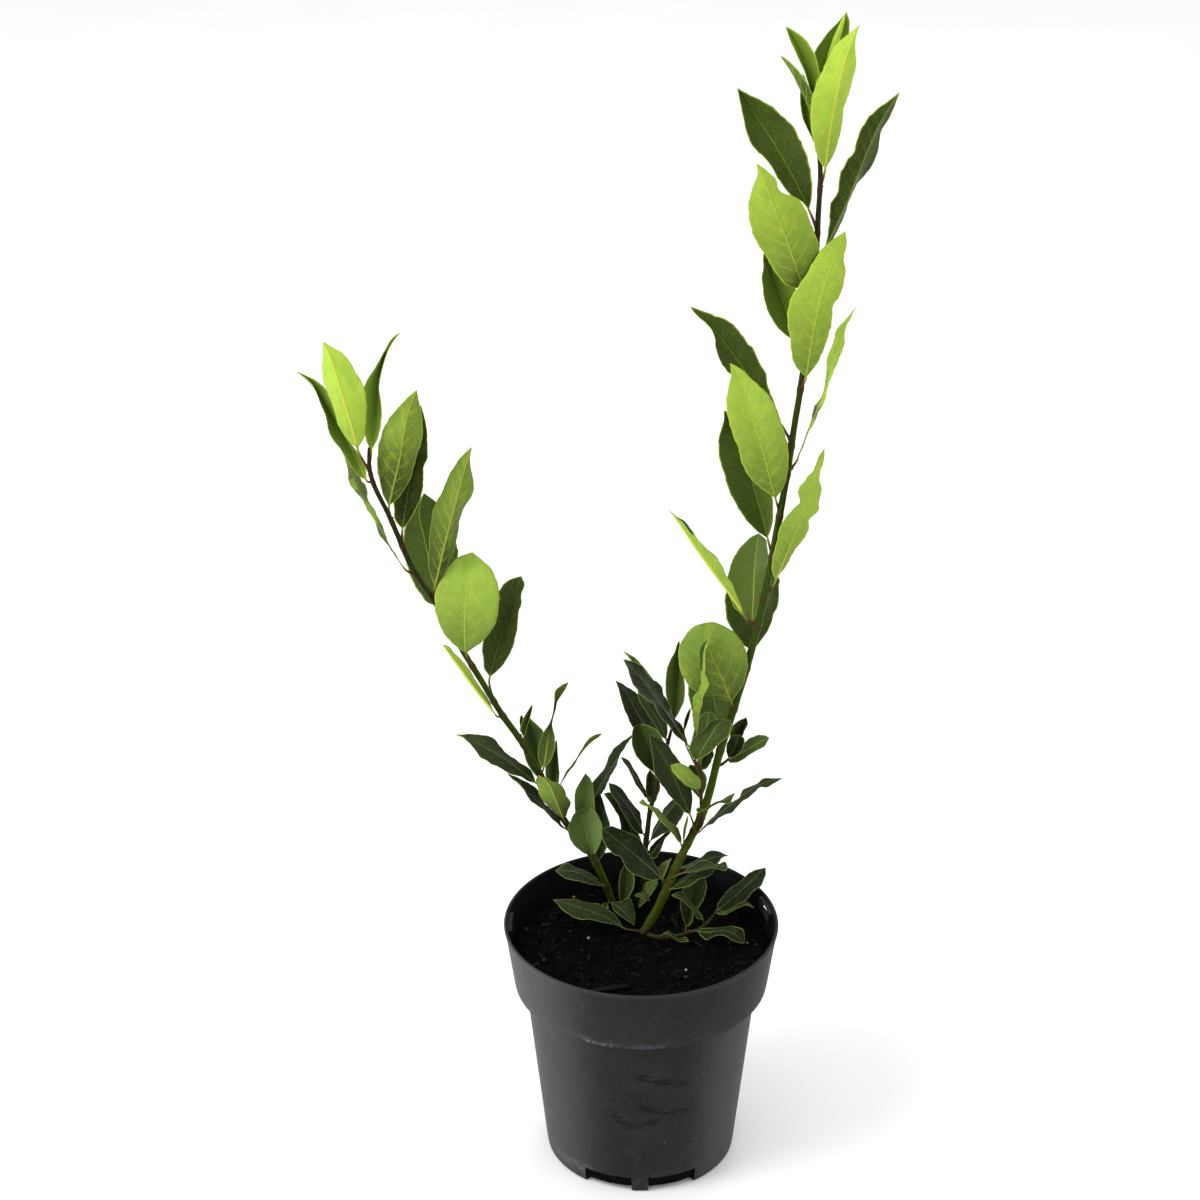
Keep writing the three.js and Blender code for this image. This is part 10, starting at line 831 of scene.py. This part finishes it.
# ------------------------------------------------------------------ stems
def stem_object(key):
    pts = np.array(STEMS[key])
    n = {"right_stem": 420, "left_stem": 300, "centre_stem": 110, "low_branch": 60, "inner_sprig": 50, "side_twig": 24}[key]
    s = np.linspace(0, 1, n)
    P = catmull(pts[:, :3], s)
    r = np.interp(s, np.linspace(0, 1, 61), pts[:, 3])
    if key in ("inner_sprig", "side_twig"):
        # the foot of a side shoot sits in the stem that carries it
        main = np.array([q[:3] for q in STEMS["right_stem"]])
        j = int(np.argmin(np.linalg.norm(main - P[0], axis=1)))
        if key == "inner_sprig":
            j = max(j - 2, 0)
        rise = np.linspace(0, 1, 9)[:-1, None]
        a, b = main[j], P[0]
        t0 = unit(P[2] - P[0])
        lead = (1 - rise) ** 2 * a + 2 * (1 - rise) * rise * (b - t0 * np.linalg.norm(b - a) * 0.5) + rise**2 * b
        P = np.vstack([lead, P])
        r = np.r_[np.linspace(r[0] * 1.5, r[0] * 1.05, 8), r]
        n = len(P)
        s = np.linspace(0, 1, n)
    if key in ("right_stem", "left_stem", "centre_stem"):
        # runs on below the surface of the soil
        down = np.array([0, 0, -1.0])
        d0 = unit(P[0] - P[3])
        lead = np.array([P[0] + unit(d0 * (1 - q) + down * q) * 9 * q for q in (1.0, 0.66, 0.33)])
        P = np.vstack([lead, P])
        r = r * (1 - (0.20 if key == "right_stem" else 0.08) * np.clip(1 - (P[3:, 2] - 168) / 30.0, 0, 1))
        r = np.r_[r[0], r[0], r[0], r]
        n = len(P)
        s = np.linspace(0, 1, n)
    dist = np.r_[0, np.cumsum(np.linalg.norm(np.diff(P, axis=0), axis=1))]
    node = np.zeros(n)
    for j in joints_on:
        if j["stem"] == key and np.linalg.norm(j["at"] - P, axis=1).min() < 4:
            i = int(np.argmin(np.linalg.norm(P - j["at"], axis=1)))
            g = np.exp(-(((dist - dist[i]) / 2.1) ** 2))
            node = np.maximum(node, g * (0.6 + 0.4 * j["size"]))
    r = r * (1 + 0.17 * node)
    r = r * (1 + 0.03 * np.sin(dist / 9.0) + 0.02 * np.sin(dist / 3.7 + 1.3))
    foot = np.clip(1 - dist / 26.0, 0, 1) if key in ("right_stem", "left_stem") else np.zeros(n)
    K = 16
    T = unit(np.gradient(P, axis=0))
    side = unit(np.cross(T[0], [0.0, 1.0, 0.05]))
    V, A, B, = [], [], []
    seed = hash1(*[ord(c) for c in key])
    for i in range(n):
        side = unit(side - T[i] * np.dot(side, T[i]))
        up = np.cross(T[i], side)
        for j in range(K):
            an = j / K * 2 * math.pi
            rr = r[i] * (1 + 0.05 * math.sin(3 * an + dist[i] / 17.0 + 5 * seed))
            rr *= 1 + foot[i] ** 1.5 * (0.02 + 0.09 * math.sin(2 * an + 1.0 + dist[i] / 6) * math.sin(dist[i] / 3.3 + an))
            V.append(P[i] + (math.cos(an) * side + math.sin(an) * up) * rr)
            A.append((s[i], j / K, dist[i]))
            B.append((node[i], seed, r[i]))
    faces, uvs = [], []
    strips = max(1, int(round(math.sqrt(dist[-1] / (2 * math.pi * r.mean())))))
    per = (n - 1) / strips
    for i in range(n - 1):
        sidx = min(strips - 1, int(i / per))
        v0, v1 = (i - sidx * per) / (per + 1), (i + 1 - sidx * per) / (per + 1)
        for j in range(K):
            a, b = i * K + j, i * K + (j + 1) % K
            faces.append([a, b, b + K, a + K])
            u0, u1 = (sidx + 0.04 + 0.92 * j / K) / strips, (sidx + 0.04 + 0.92 * (j + 1) / K) / strips
            uvs += [(u0, v0), (u1, v0), (u1, v1), (u0, v1)]
    # the growing tip closes in a small pointed bud
    tip = P[-1] + T[-1] * r[-1] * 2.2
    V.append(tip)
    A.append((1.0, 0.0, dist[-1] + 2))
    B.append((1.0, seed, 0.5))
    for j in range(K):
        a, b = (n - 1) * K + j, (n - 1) * K + (j + 1) % K
        faces.append([a, b, len(V) - 1])
        uvs += [(0.99, 0.99), (0.995, 0.99), (0.995, 0.995)]
    A = np.array(A)
    B = np.array(B)
    # share round runs 0..1 with a seam, so the last corner of each ring uses a cosine that closes by itself
    o = make(key + "_bark", V, faces, {"st1": A, "st2": B}, uvs, mats=[STEM_MATS[key]])
    return piece(o, "stem_bark", key)


for key in STEMS:
    stem_object(key)


# ------------------------------------------------------------------ buds in the leaf axils
def bud_shape(base, axis, length, radius, seed, V, F, A, PP):
    """A pointed egg of overlapping scales."""
    axis = unit(np.asarray(axis, float))
    s = unit(np.cross(axis, [0.2, 0.9, 0.3]))
    u = np.cross(axis, s)
    K, N = 12, 12
    start = len(V)
    for i in range(N + 1):
        t = i / N
        prof = math.sin(math.pi * min(1, 0.16 + 0.84 * t)) ** 0.72 * (1 - 0.25 * t)
        prof = max(prof, 0.0)
        for j in range(K):
            an = j / K * 2 * math.pi
            scale = 0.5 + 0.5 * math.cos(an * 2 + math.pi * int(t * 4))
            step_ = (t * 4) % 1.0
            rr = radius * prof * (1 + 0.10 * step_ * scale)
            V.append(base + axis * (t * length) + (math.cos(an) * s + math.sin(an) * u) * rr)
            A.append((t, step_, seed))
            PP.append(V[-1])
    for i in range(N):
        for j in range(K):
            a, b = start + i * K + j, start + i * K + (j + 1) % K
            F.append([a, b, b + K, a + K])
    F.append([start + N * K + j for j in range(K)])


BIG_BUDS = {"leaf_r05": 1.5, "leaf_r11": 1.6, "leaf_r13": 1.8, "leaf_l05": 1.5, "leaf_l09": 1.4, "leaf_l11": 1.4, "leaf_r17": 1.2}
for key in STEMS:
    V, F, A, PP = [], [], [], []
    for row, j in zip(LEAVES, joints_on):
        if j["stem"] != key or j["length"] < 18:
            continue
        big = BIG_BUDS.get(row[0], 0.95)
        rad = row[7]
        sd = hash1(*[ord(c) for c in row[0]], 3)
        side = unit(j["out"] - j["tan"] * np.dot(j["out"], j["tan"]))
        base = j["at"] + side * rad * 0.72 + j["tan"] * (1.3 + 0.5 * big)
        axis = unit(j["tan"] * 0.9 + side * 0.55)
        bud_shape(base, axis, (2.3 + 0.9 * sd) * big, 0.72 * big, sd, V, F, A, PP)
    if V:
        o = make(key + "_buds", V, F, {"bd": np.array(A), "pp": np.array(PP)}, mats=[BUD])
        piece(o, "stem_bark", key)


# ------------------------------------------------------------------ pot
def ring_mesh(name, prof, seg):
    V, F = [], []
    n = len(prof)
    for i in range(seg):
        a = i / seg * 2 * math.pi
        for r, z in prof:
            V.append((r * math.cos(a), r * math.sin(a), z))
    for i in range(seg):
        for j in range(n - 1):
            a, b = i * n + j, ((i + 1) % seg) * n + j
            F.append([a, b, b + 1, a + 1])
    me = bpy.data.meshes.new(name)
    me.from_pydata(V, [], F)
    bm = bmesh.new()
    bm.from_mesh(me)
    bmesh.ops.remove_doubles(bm, verts=bm.verts, dist=1e-4)
    bmesh.ops.recalc_face_normals(bm, faces=bm.faces)
    bm.to_mesh(me)
    bm.free()
    o = bpy.data.objects.new(name, me)
    bpy.context.scene.collection.objects.link(o)
    return o


def sector(r0, r1, a0, a1, z0, z1, steps=8, seg_r=1):
    V, F = [], []
    for i in range(steps + 1):
        a = math.radians(a0 + (a1 - a0) * i / steps)
        c, s = math.cos(a), math.sin(a)
        V += [(r0 * c, r0 * s, z0), (r1 * c, r1 * s, z0), (r1 * c, r1 * s, z1), (r0 * c, r0 * s, z1)]
    for i in range(steps):
        a, b = i * 4, i * 4 + 4
        for k in range(4):
            F.append([a + k, b + k, b + (k + 1) % 4, a + (k + 1) % 4])
    F.append([0, 1, 2, 3])
    F.append([steps * 4 + k for k in (3, 2, 1, 0)])
    me = bpy.data.meshes.new("cut")
    me.from_pydata(V, [], F)
    bm = bmesh.new()
    bm.from_mesh(me)
    bmesh.ops.recalc_face_normals(bm, faces=bm.faces)
    bm.to_mesh(me)
    bm.free()
    o = bpy.data.objects.new("cut", me)
    bpy.context.scene.collection.objects.link(o)
    return o


def arc(cx, cz, r, a0, a1, n):
    return [(cx + r * math.cos(math.radians(a0 + (a1 - a0) * i / n)), cz + r * math.sin(math.radians(a0 + (a1 - a0) * i / n))) for i in range(n + 1)]


def slope(z, z0, r0, z1, r1):
    return r0 + (r1 - r0) * (z - z0) / (z1 - z0)


ib, ibd, ift = BAND_R - WALL, BODY_R - WALL - 0.1, FOOT_R - WALL
prof = [(0.0, 1.1), (54.0, 1.1), (55.2, 0.9), (56.4, 0.1), (57.5, 0.0), (66.8, 0.0)]
prof += arc(FOOT_R - 1.9, 1.9, 1.9, -90, -8, 5)
for z in (8, 20, 34, 50, 66, 82, 98, 114, 128, 137):
    prof.append((slope(z, 0, FOOT_R, BAND_Z, BODY_R), z))
prof += [(BODY_R - 0.15, BAND_Z - 0.6), (BODY_R + 0.5, BAND_Z - 0.05), (BODY_R + 2.5, BAND_Z), (BAND_R - 1.4, BAND_Z)]
prof += arc(BAND_R - 0.95, BAND_Z + 0.95, 0.95, -80, -5, 4)
for z in (146, 152, 160, 170, 178, 184, 186.6):
    prof.append((slope(z, BAND_Z, BAND_R, RIM_Z - 3.0, RIM_R - 0.7), z))
prof += [(RIM_R - 0.62, 187.7), (RIM_R - 0.1, 188.4)]
prof += arc(RIM_R - 1.15, RIM_Z - 1.25, 1.25, -12, 180, 9)
prof += [(RIM_R - 2.42, 187.6), (RIM_R - 2.5, 184.5)]
for z in (178, 170, 160, 150, 144):
    prof.append((slope(z, BAND_Z + WALL, ib, RIM_Z - 6, RIM_R - 2.5), z))
prof += [(ib, BAND_Z + WALL + 0.2), (ib - 0.4, BAND_Z + WALL), (ibd + 0.3, BAND_Z + WALL - 0.1), (ibd, BAND_Z + WALL - 0.5)]
for z in (128, 100, 70, 40, 14):
    prof.append((slope(z, 1.8, ift, BAND_Z + WALL, ibd), z))
prof += [(ift, 2.2), (ift - 0.4, 1.8), (0.0, 2.0)]
pot = ring_mesh("pot_shell", prof, 216)
cutters = []
for m in DRAINS_DEG:
    cutters.append(sector(61.0, FOOT_R + 8, m - 15, m + 15, -2, 13.0, 12))
for a0, a1 in SLOTS_DEG:
    cutters.append(sector(RIM_R - 12, RIM_R + 8, a0, a1, 180, 188, 10))
for c in cutters:
    md = pot.modifiers.new("cut", "BOOLEAN")
    md.operation = "DIFFERENCE"
    md.solver = "EXACT"
    md.object = c
bpy.context.view_layer.update()
dg = bpy.context.evaluated_depsgraph_get()
shell = bpy.data.meshes.new_from_object(pot.evaluated_get(dg))
bpy.data.objects.remove(pot)
bm = bmesh.new()
bm.from_mesh(shell)
for c in cutters:
    bpy.data.objects.remove(c)


def bar(r0, r1, a0, a1, z0, z1):
    """A moulded bar round the wall, with rounded faces, added to the shell."""
    steps = max(2, int(abs(a1 - a0) / 1.5))
    rings = []
    b = min(0.25, (r1 - r0) * 0.3, (z1 - z0) * 0.3)
    sect = [(r0, z0 + b), (r0 + b, z0), (r1 - b, z0), (r1, z0 + b), (r1, z1 - b), (r1 - b, z1), (r0 + b, z1), (r0, z1 - b)]
    for i in range(steps + 1):
        a = math.radians(a0 + (a1 - a0) * i / steps)
        rings.append([bm.verts.new((r * math.cos(a), r * math.sin(a), z)) for r, z in sect])
    fs = []
    for i in range(steps):
        for k in range(8):
            fs.append(bm.faces.new([rings[i][k], rings[i + 1][k], rings[i + 1][(k + 1) % 8], rings[i][(k + 1) % 8]]))
    fs.append(bm.faces.new(rings[0]))
    fs.append(bm.faces.new(rings[-1][::-1]))
    bmesh.ops.recalc_face_normals(bm, faces=fs)


for a0, a1 in SLOTS_DEG:
    # each slot has a thin collar that stands 2.3 mm into the pot
    ri, ro = RIM_R - 5.8, RIM_R - 2.2
    bar(ri, ro, a0 - 0.6, a1 + 0.6, 188.0, 188.8)
    bar(ri, ro, a0 - 0.6, a1 + 0.6, 179.2, 180.0)
    bar(ri, ro, a0 - 0.6, a0, 180.0, 188.0)
    bar(ri, ro, a1, a1 + 0.6, 180.0, 188.0)
bm.to_mesh(shell)
bm.free()
co = np.zeros(len(shell.vertices) * 3, np.float32)
shell.vertices.foreach_get("co", co)
co = co.reshape(-1, 3)
rr = np.hypot(co[:, 0], co[:, 1])


def outer_radius(z):
    return np.where(z < BAND_Z - 0.02, FOOT_R + (BODY_R - FOOT_R) * np.clip(z, 0, None) / BAND_Z, BAND_R + (RIM_R - BAND_R) * (z - BAND_Z) / (RIM_Z - BAND_Z))


sh = outer_radius(co[:, 2])
att = shell.attributes.new("pp", "FLOAT_VECTOR", "POINT")
att.data.foreach_set("vector", co.ravel())
att = shell.attributes.new("shell", "FLOAT_VECTOR", "POINT")
att.data.foreach_set("vector", np.stack([sh, sh, sh], axis=1).astype(np.float32).ravel())
shell.vertices.foreach_set("co", (co * MM).ravel())
shell.update()
shell.name = "pot_shell"
pot = bpy.data.objects.new("pot_shell", shell)
bpy.context.scene.collection.objects.link(pot)
shell.materials.clear()
shell.materials.append(POT)
shell.shade_smooth()
md = pot.modifiers.new("crisp", "WEIGHTED_NORMAL")
md.keep_sharp = True
shell.set_sharp_from_angle(angle=math.radians(32))
piece(pot, "pot_plastic", "pot")


# ------------------------------------------------------------------ soil
rng = np.random.default_rng(20261)


def value_noise(x, y, scale, seed):
    """Smooth repeatable noise in -1..1."""
    g = np.random.default_rng(seed).uniform(-1, 1, (64, 64))
    u, v = x / scale + 31.3, y / scale + 17.7
    i, j = np.floor(u).astype(int), np.floor(v).astype(int)
    fu, fv = u - i, v - j
    fu, fv = fu * fu * (3 - 2 * fu), fv * fv * (3 - 2 * fv)
    q = lambda a, b: g[a % 64, b % 64]
    return (q(i, j) * (1 - fu) + q(i + 1, j) * fu) * (1 - fv) + (q(i, j + 1) * (1 - fu) + q(i + 1, j + 1) * fu) * fv


def soil_height(x, y):
    r = np.hypot(x, y)
    z = SOIL_Z + 1.1 * value_noise(x, y, 34, 1) + 0.9 * value_noise(x, y, 13, 2)
    z = z + 0.75 * value_noise(x, y, 5.2, 3) + 0.55 * value_noise(x, y, 2.4, 4) + 0.28 * value_noise(x, y, 1.1, 5)
    z = z - 1.6 * np.clip((r - 80) / 12, 0, 1) ** 2
    z = z + 1.2 * np.exp(-(((x - 3) ** 2 + (y - 20) ** 2) / 260.0))
    return z


NR, NA = 92, 300
V, F = [], []
rads = np.linspace(0, 1, NR + 1)[1:] ** 0.82 * 93.6
for i, r in enumerate(rads):
    a = np.arange(NA) / NA * 2 * math.pi
    x, y = r * np.cos(a), r * np.sin(a)
    z = soil_height(x, y)
    lim = ib + (RIM_R - 2.5 - ib) * (z - BAND_Z) / (RIM_Z - BAND_Z) - 0.1
    k = np.minimum(1, lim / max(r, 1e-6))
    V += list(zip(x * k, y * k, z))
V.append((0, 0, float(soil_height(np.array([0.0]), np.array([0.0]))[0])))
ctr = len(V) - 1
for i in range(NR - 1):
    for j in range(NA):
        a, b = i * NA + j, i * NA + (j + 1) % NA
        F.append([a, a + NA, b + NA, b])
for j in range(NA):
    F.append([j, (j + 1) % NA, ctr])
# the root ball below the surface, down the inside of the pot
last = (NR - 1) * NA
for d, (rr_, zz) in enumerate(((93.0, 163.0), (91.0, 144.0), (82.6, 142.0), (68.6, 4.0), (66.0, 2.4))):
    start = len(V)
    for j in range(NA):
        a = j / NA * 2 * math.pi
        V.append((rr_ * math.cos(a), rr_ * math.sin(a), zz))
    for j in range(NA):
        a, b = last + j, last + (j + 1) % NA
        F.append([a, start + j, start + (j + 1) % NA, b])
    last = start
V.append((0, 0, 2.4))
for j in range(NA):
    F.append([last + (j + 1) % NA, last + j, len(V) - 1])
soil = make("soil_surface", V, F, {"pp": np.array(V)}, mats=[SOIL])
piece(soil, "potting_mix", "soil")

STEM_FEET = [np.array(STEMS[k][0][:2]) for k in ("right_stem", "left_stem", "centre_stem", "low_branch")]


def scatter(n, rmax, seed):
    g = np.random.default_rng(seed)
    r = np.sqrt(g.uniform(0, 1, n)) * rmax
    a = g.uniform(0, 2 * math.pi, n)
    return np.stack([r * np.cos(a), r * np.sin(a)], axis=1), g


def basis(g, tilt):
    a = g.uniform(0, 2 * math.pi)
    t, w = g.normal(0, tilt), g.normal(0, tilt)
    d = np.array([math.cos(a) * math.cos(t), math.sin(a) * math.cos(t), math.sin(t)])
    up = unit(np.array([math.sin(w) * -math.sin(a), math.sin(w) * math.cos(a), math.cos(w)]))
    s = unit(np.cross(up, d))
    return d, s, unit(np.cross(d, s))


# bark chips: flat, broken, slightly bowed flakes
V, F, C, PP = [], [], [], []


def chip(x, y, z, d, s, u, ln, wd, th, cid, g):
    n = 6
    base = len(V)
    ragged = g.uniform(0.55, 1.0, (n + 1, 2))
    ragged[0] *= g.uniform(0.15, 0.6)
    ragged[-1] *= g.uniform(0.15, 0.6)
    bow = g.normal(0, 0.08) * ln
    for i in range(n + 1):
        t = i / n - 0.5
        cc = np.array([x, y, z]) + d * (t * ln) + u * (bow * (0.25 - t * t) * 4)
        wl, wr = ragged[i] * wd / 2
        hh = th * g.uniform(0.75, 1.1)
        for sx, sz in ((-wl, -hh / 2), (-wl * 0.9, hh / 2), (0, hh * 0.62), (wr * 0.9, hh / 2), (wr, -hh / 2)):
            V.append(cc + s * sx + u * sz)
            C.append((cid, t + 0.5, hh))
    for i in range(n):
        for k in range(5):
            a, b = base + i * 5 + k, base + i * 5 + (k + 1) % 5
            F.append([a, b, b + 5, a + 5])
    F.append([base + k for k in (4, 3, 2, 1, 0)])
    F.append([base + n * 5 + k for k in range(5)])


P2, g = scatter(1500, 90.0, 77)
for x, y in P2:
    if min(np.linalg.norm(f - (x, y)) for f in STEM_FEET) < 3.4:
        continue
    d, s, u = basis(g, 0.38)
    ln = float(np.clip(g.lognormal(1.35, 0.5), 1.6, 13.0))
    room = 92.5 - math.hypot(x, y)
    ln = min(ln, max(1.6, 2 * room))
    z = float(soil_height(np.array([x]), np.array([y]))[0])
    chip(x, y, z + 0.15 + abs(g.normal(0, 0.35)), d, s, u, ln, ln * g.uniform(0.22, 0.5), 0.5 + 0.08 * ln, g.uniform(0, 1), g)
# the broad flake that leans on the wall at the front
a = np.array([-24.0, -62.0])
d = unit(np.array([-39.1 + 7.7, -60.3 + 52.2, 0.0]))
s = unit(np.array([-d[1], d[0], 0.45]))
chip(-23.4, -58.5, 170.0, d, s, unit(np.cross(d, s)), 31.0, 10.0, 1.4, 0.93, g)
# a thin dead stalk
chip(-19.5, 43.0, 171.5, unit(np.array([10.0, -28.0, 1.0])), np.array([1.0, 0.3, 0.0]), np.array([0, 0, 1.0]), 27.0, 1.5, 1.2, 0.5, g)
CHIPS = bits_material("bark_chips", [(0.0, srgb(4, 4, 4)), (0.62, srgb(11, 11, 10)), (0.90, srgb(20, 19, 18)), (1.0, srgb(38, 32, 27))], 0.9, 0.8, 0.0004, 0.05)
o = make("soil_chips", V, F, {"cid": np.array(C), "pp": np.array(V)}, smooth=False, mats=[CHIPS])
piece(o, "potting_mix", "soil")

# fine roots and fibres
V, F, C = [], [], []
P2, g = scatter(520, 88.0, 91)
for x, y in P2:
    ang = g.uniform(0, 2 * math.pi)
    ln = g.uniform(4, 17)
    bend = g.normal(0, 0.14)
    rad = g.uniform(0.10, 0.24)
    cid = g.uniform(0, 1)
    px, py, base = x, y, len(V)
    n = 8
    pts = []
    for i in range(n + 1):
        if math.hypot(px, py) > 91.0:
            break
        zz = float(soil_height(np.array([px]), np.array([py]))[0]) + 0.35 + 0.9 * math.sin(i / n * math.pi) * g.uniform(0.2, 1.0)
        pts.append((px, py, zz))
        px += math.cos(ang) * ln / n
        py += math.sin(ang) * ln / n
        ang += bend
    if len(pts) < 4:
        continue
    pts = np.array(pts)
    T = unit(np.gradient(pts, axis=0))
    for i, p in enumerate(pts):
        s = unit(np.cross(T[i], [0, 0, 1.0]))
        u = np.cross(s, T[i])
        for k in range(4):
            an = k * math.pi / 2
            V.append(p + (math.cos(an) * s + math.sin(an) * u) * rad * (1 - 0.5 * i / n))
            C.append((cid, i / n, 0.0))
    for i in range(len(pts) - 1):
        for k in range(4):
            a, b = base + i * 4 + k, base + i * 4 + (k + 1) % 4
            F.append([a, b, b + 4, a + 4])
FIB = bits_material("fibres", [(0.0, srgb(8, 7, 6)), (0.75, srgb(20, 16, 13)), (1.0, srgb(48, 37, 27))], 0.85, 1.2, 0.0002, 0.06)
o = make("soil_fibres", V, F, {"cid": np.array(C), "pp": np.array(V)}, mats=[FIB])
piece(o, "potting_mix", "soil")

# feed prills and grit
V, F, C = [], [], []


def grain(x, y, rad, cid, squash, g):
    z = float(soil_height(np.array([x]), np.array([y]))[0]) + rad * 0.55
    base = len(V)
    K, N = 10, 7
    off = g.uniform(-1, 1, (N + 1, K)) * 0.06
    for i in range(N + 1):
        la = math.pi * i / N
        for k in range(K):
            an = k / K * 2 * math.pi
            q = rad * (1 + off[i, k])
            V.append((x + q * math.sin(la) * math.cos(an), y + q * math.sin(la) * math.sin(an), z + q * squash * math.cos(la)))
            C.append((cid, i / N, rad))
    for i in range(N):
        for k in range(K):
            a, b = base + i * K + k, base + i * K + (k + 1) % K
            F.append([a, a + K, b + K, b])


g = np.random.default_rng(5)
for x, y, rad, cid in ((-50.8, 69.3, 1.2, 0.70), (-38.6, 8.1, 1.15, 0.95), (-85.3, 24.0, 1.2, 0.45), (-70.5, -19.0, 1.3, 0.42), (32.6, -33.0, 1.0, 1.0), (32.5, -41.5, 1.2, 0.40), (65.4, 3.9, 1.9, 0.33), (77.9, 4.0, 1.2, 0.60), (84.6, 1.4, 1.7, 0.22)):
    grain(x, y, rad, cid, 0.9, g)
P2, g = scatter(46, 88.0, 33)
for x, y in P2:
    if y < 12 and x > -70:
        cid = g.uniform(0.0, 0.3)
    else:
        cid = g.uniform(0.0, 0.55)
    grain(x, y, g.uniform(0.5, 1.25), cid, g.uniform(0.7, 1.0), g)
GRAIN = bits_material("feed_grains", [(0.0, srgb(12, 10, 9)), (0.30, srgb(34, 26, 20)), (0.45, srgb(74, 58, 34)), (0.70, srgb(168, 134, 52)), (0.90, srgb(164, 158, 106)), (1.0, srgb(176, 174, 150))], 0.55, 1.5, 0.0002, 0.2)
o = make("soil_grains", V, F, {"cid": np.array(C), "pp": np.array(V)}, mats=[GRAIN])
piece(o, "potting_mix", "soil")


# ------------------------------------------------------------------ stage
def floor():
    n = Nodes("studio_floor")
    tc = n.t.nodes.new("ShaderNodeTexCoord")
    g = n.noise(tc.outputs["Object"], 3.0, 2.0)
    col = n.mix(n.step(g, 0.3, 0.7), (0.93, 0.93, 0.93, 1), (0.95, 0.95, 0.95, 1))
    m = n.finish(col, 0.9, specular=0.1)
    me = bpy.data.meshes.new("floor")
    me.from_pydata([(-14, -14, -0.0004), (14, -14, -0.0004), (14, 14, -0.0004), (-14, 14, -0.0004)], [], [[0, 1, 2, 3]])
    me.materials.append(m)
    o = bpy.data.objects.new("floor", me)
    bpy.context.scene.collection.objects.link(o)


floor()
sc = bpy.context.scene
world = bpy.data.worlds.new("studio")
sc.world = world
world.use_nodes = True
world.node_tree.nodes["Background"].inputs[0].default_value = (1.0, 1.0, 1.0, 1)
world.node_tree.nodes["Background"].inputs[1].default_value = 0.95


def area(name, loc, target, size, power, color=(1, 1, 1)):
    l = bpy.data.lights.new(name, "AREA")
    l.shape = "DISK"
    l.size = size
    l.energy = power
    l.color = color
    o = bpy.data.objects.new(name, l)
    o.location = loc
    o.rotation_mode = "QUATERNION"
    o.rotation_quaternion = (Vector(target) - Vector(loc)).to_track_quat("-Z", "Y")
    sc.collection.objects.link(o)


area("key", (-1.9, -1.0, 2.6), (0, 0, 0.4), 1.5, 42, (1.0, 0.99, 0.97))
area("low", (-2.3, -0.75, 0.7), (0, 0, 0.12), 1.3, 18)
area("fill", (1.9, -1.0, 1.6), (0, 0, 0.4), 1.6, 7)
area("back", (0.5, 2.2, 2.4), (0, 0, 0.5), 1.6, 15)

cam_data = bpy.data.cameras.new("camera")
cam = bpy.data.objects.new("camera", cam_data)
sc.collection.objects.link(cam)
sc.camera = cam
pitch, yaw, roll = math.radians(25.56), math.radians(-0.976), math.radians(-0.19)
d = Vector((math.sin(yaw) * math.cos(pitch), math.cos(yaw) * math.cos(pitch), -math.sin(pitch)))
r_ = d.cross(Vector((0, 0, 1))).normalized()
u_ = r_.cross(d)
rx = r_ * math.cos(roll) + u_ * math.sin(roll)
ux = -r_ * math.sin(roll) + u_ * math.cos(roll)
m = Matrix((rx, ux, -d)).transposed().to_4x4()
m.translation = Vector(EYE * MM)
cam.matrix_world = m
cam_data.sensor_width = 36
cam_data.sensor_fit = "AUTO"
cam_data.lens = 2754.5 / 1200 * 36
cam_data.clip_start, cam_data.clip_end = 0.05, 60

sc.view_settings.view_transform = "Standard"
sc.view_settings.look = "None"
sc.view_settings.exposure = 0
sc.view_settings.gamma = 1
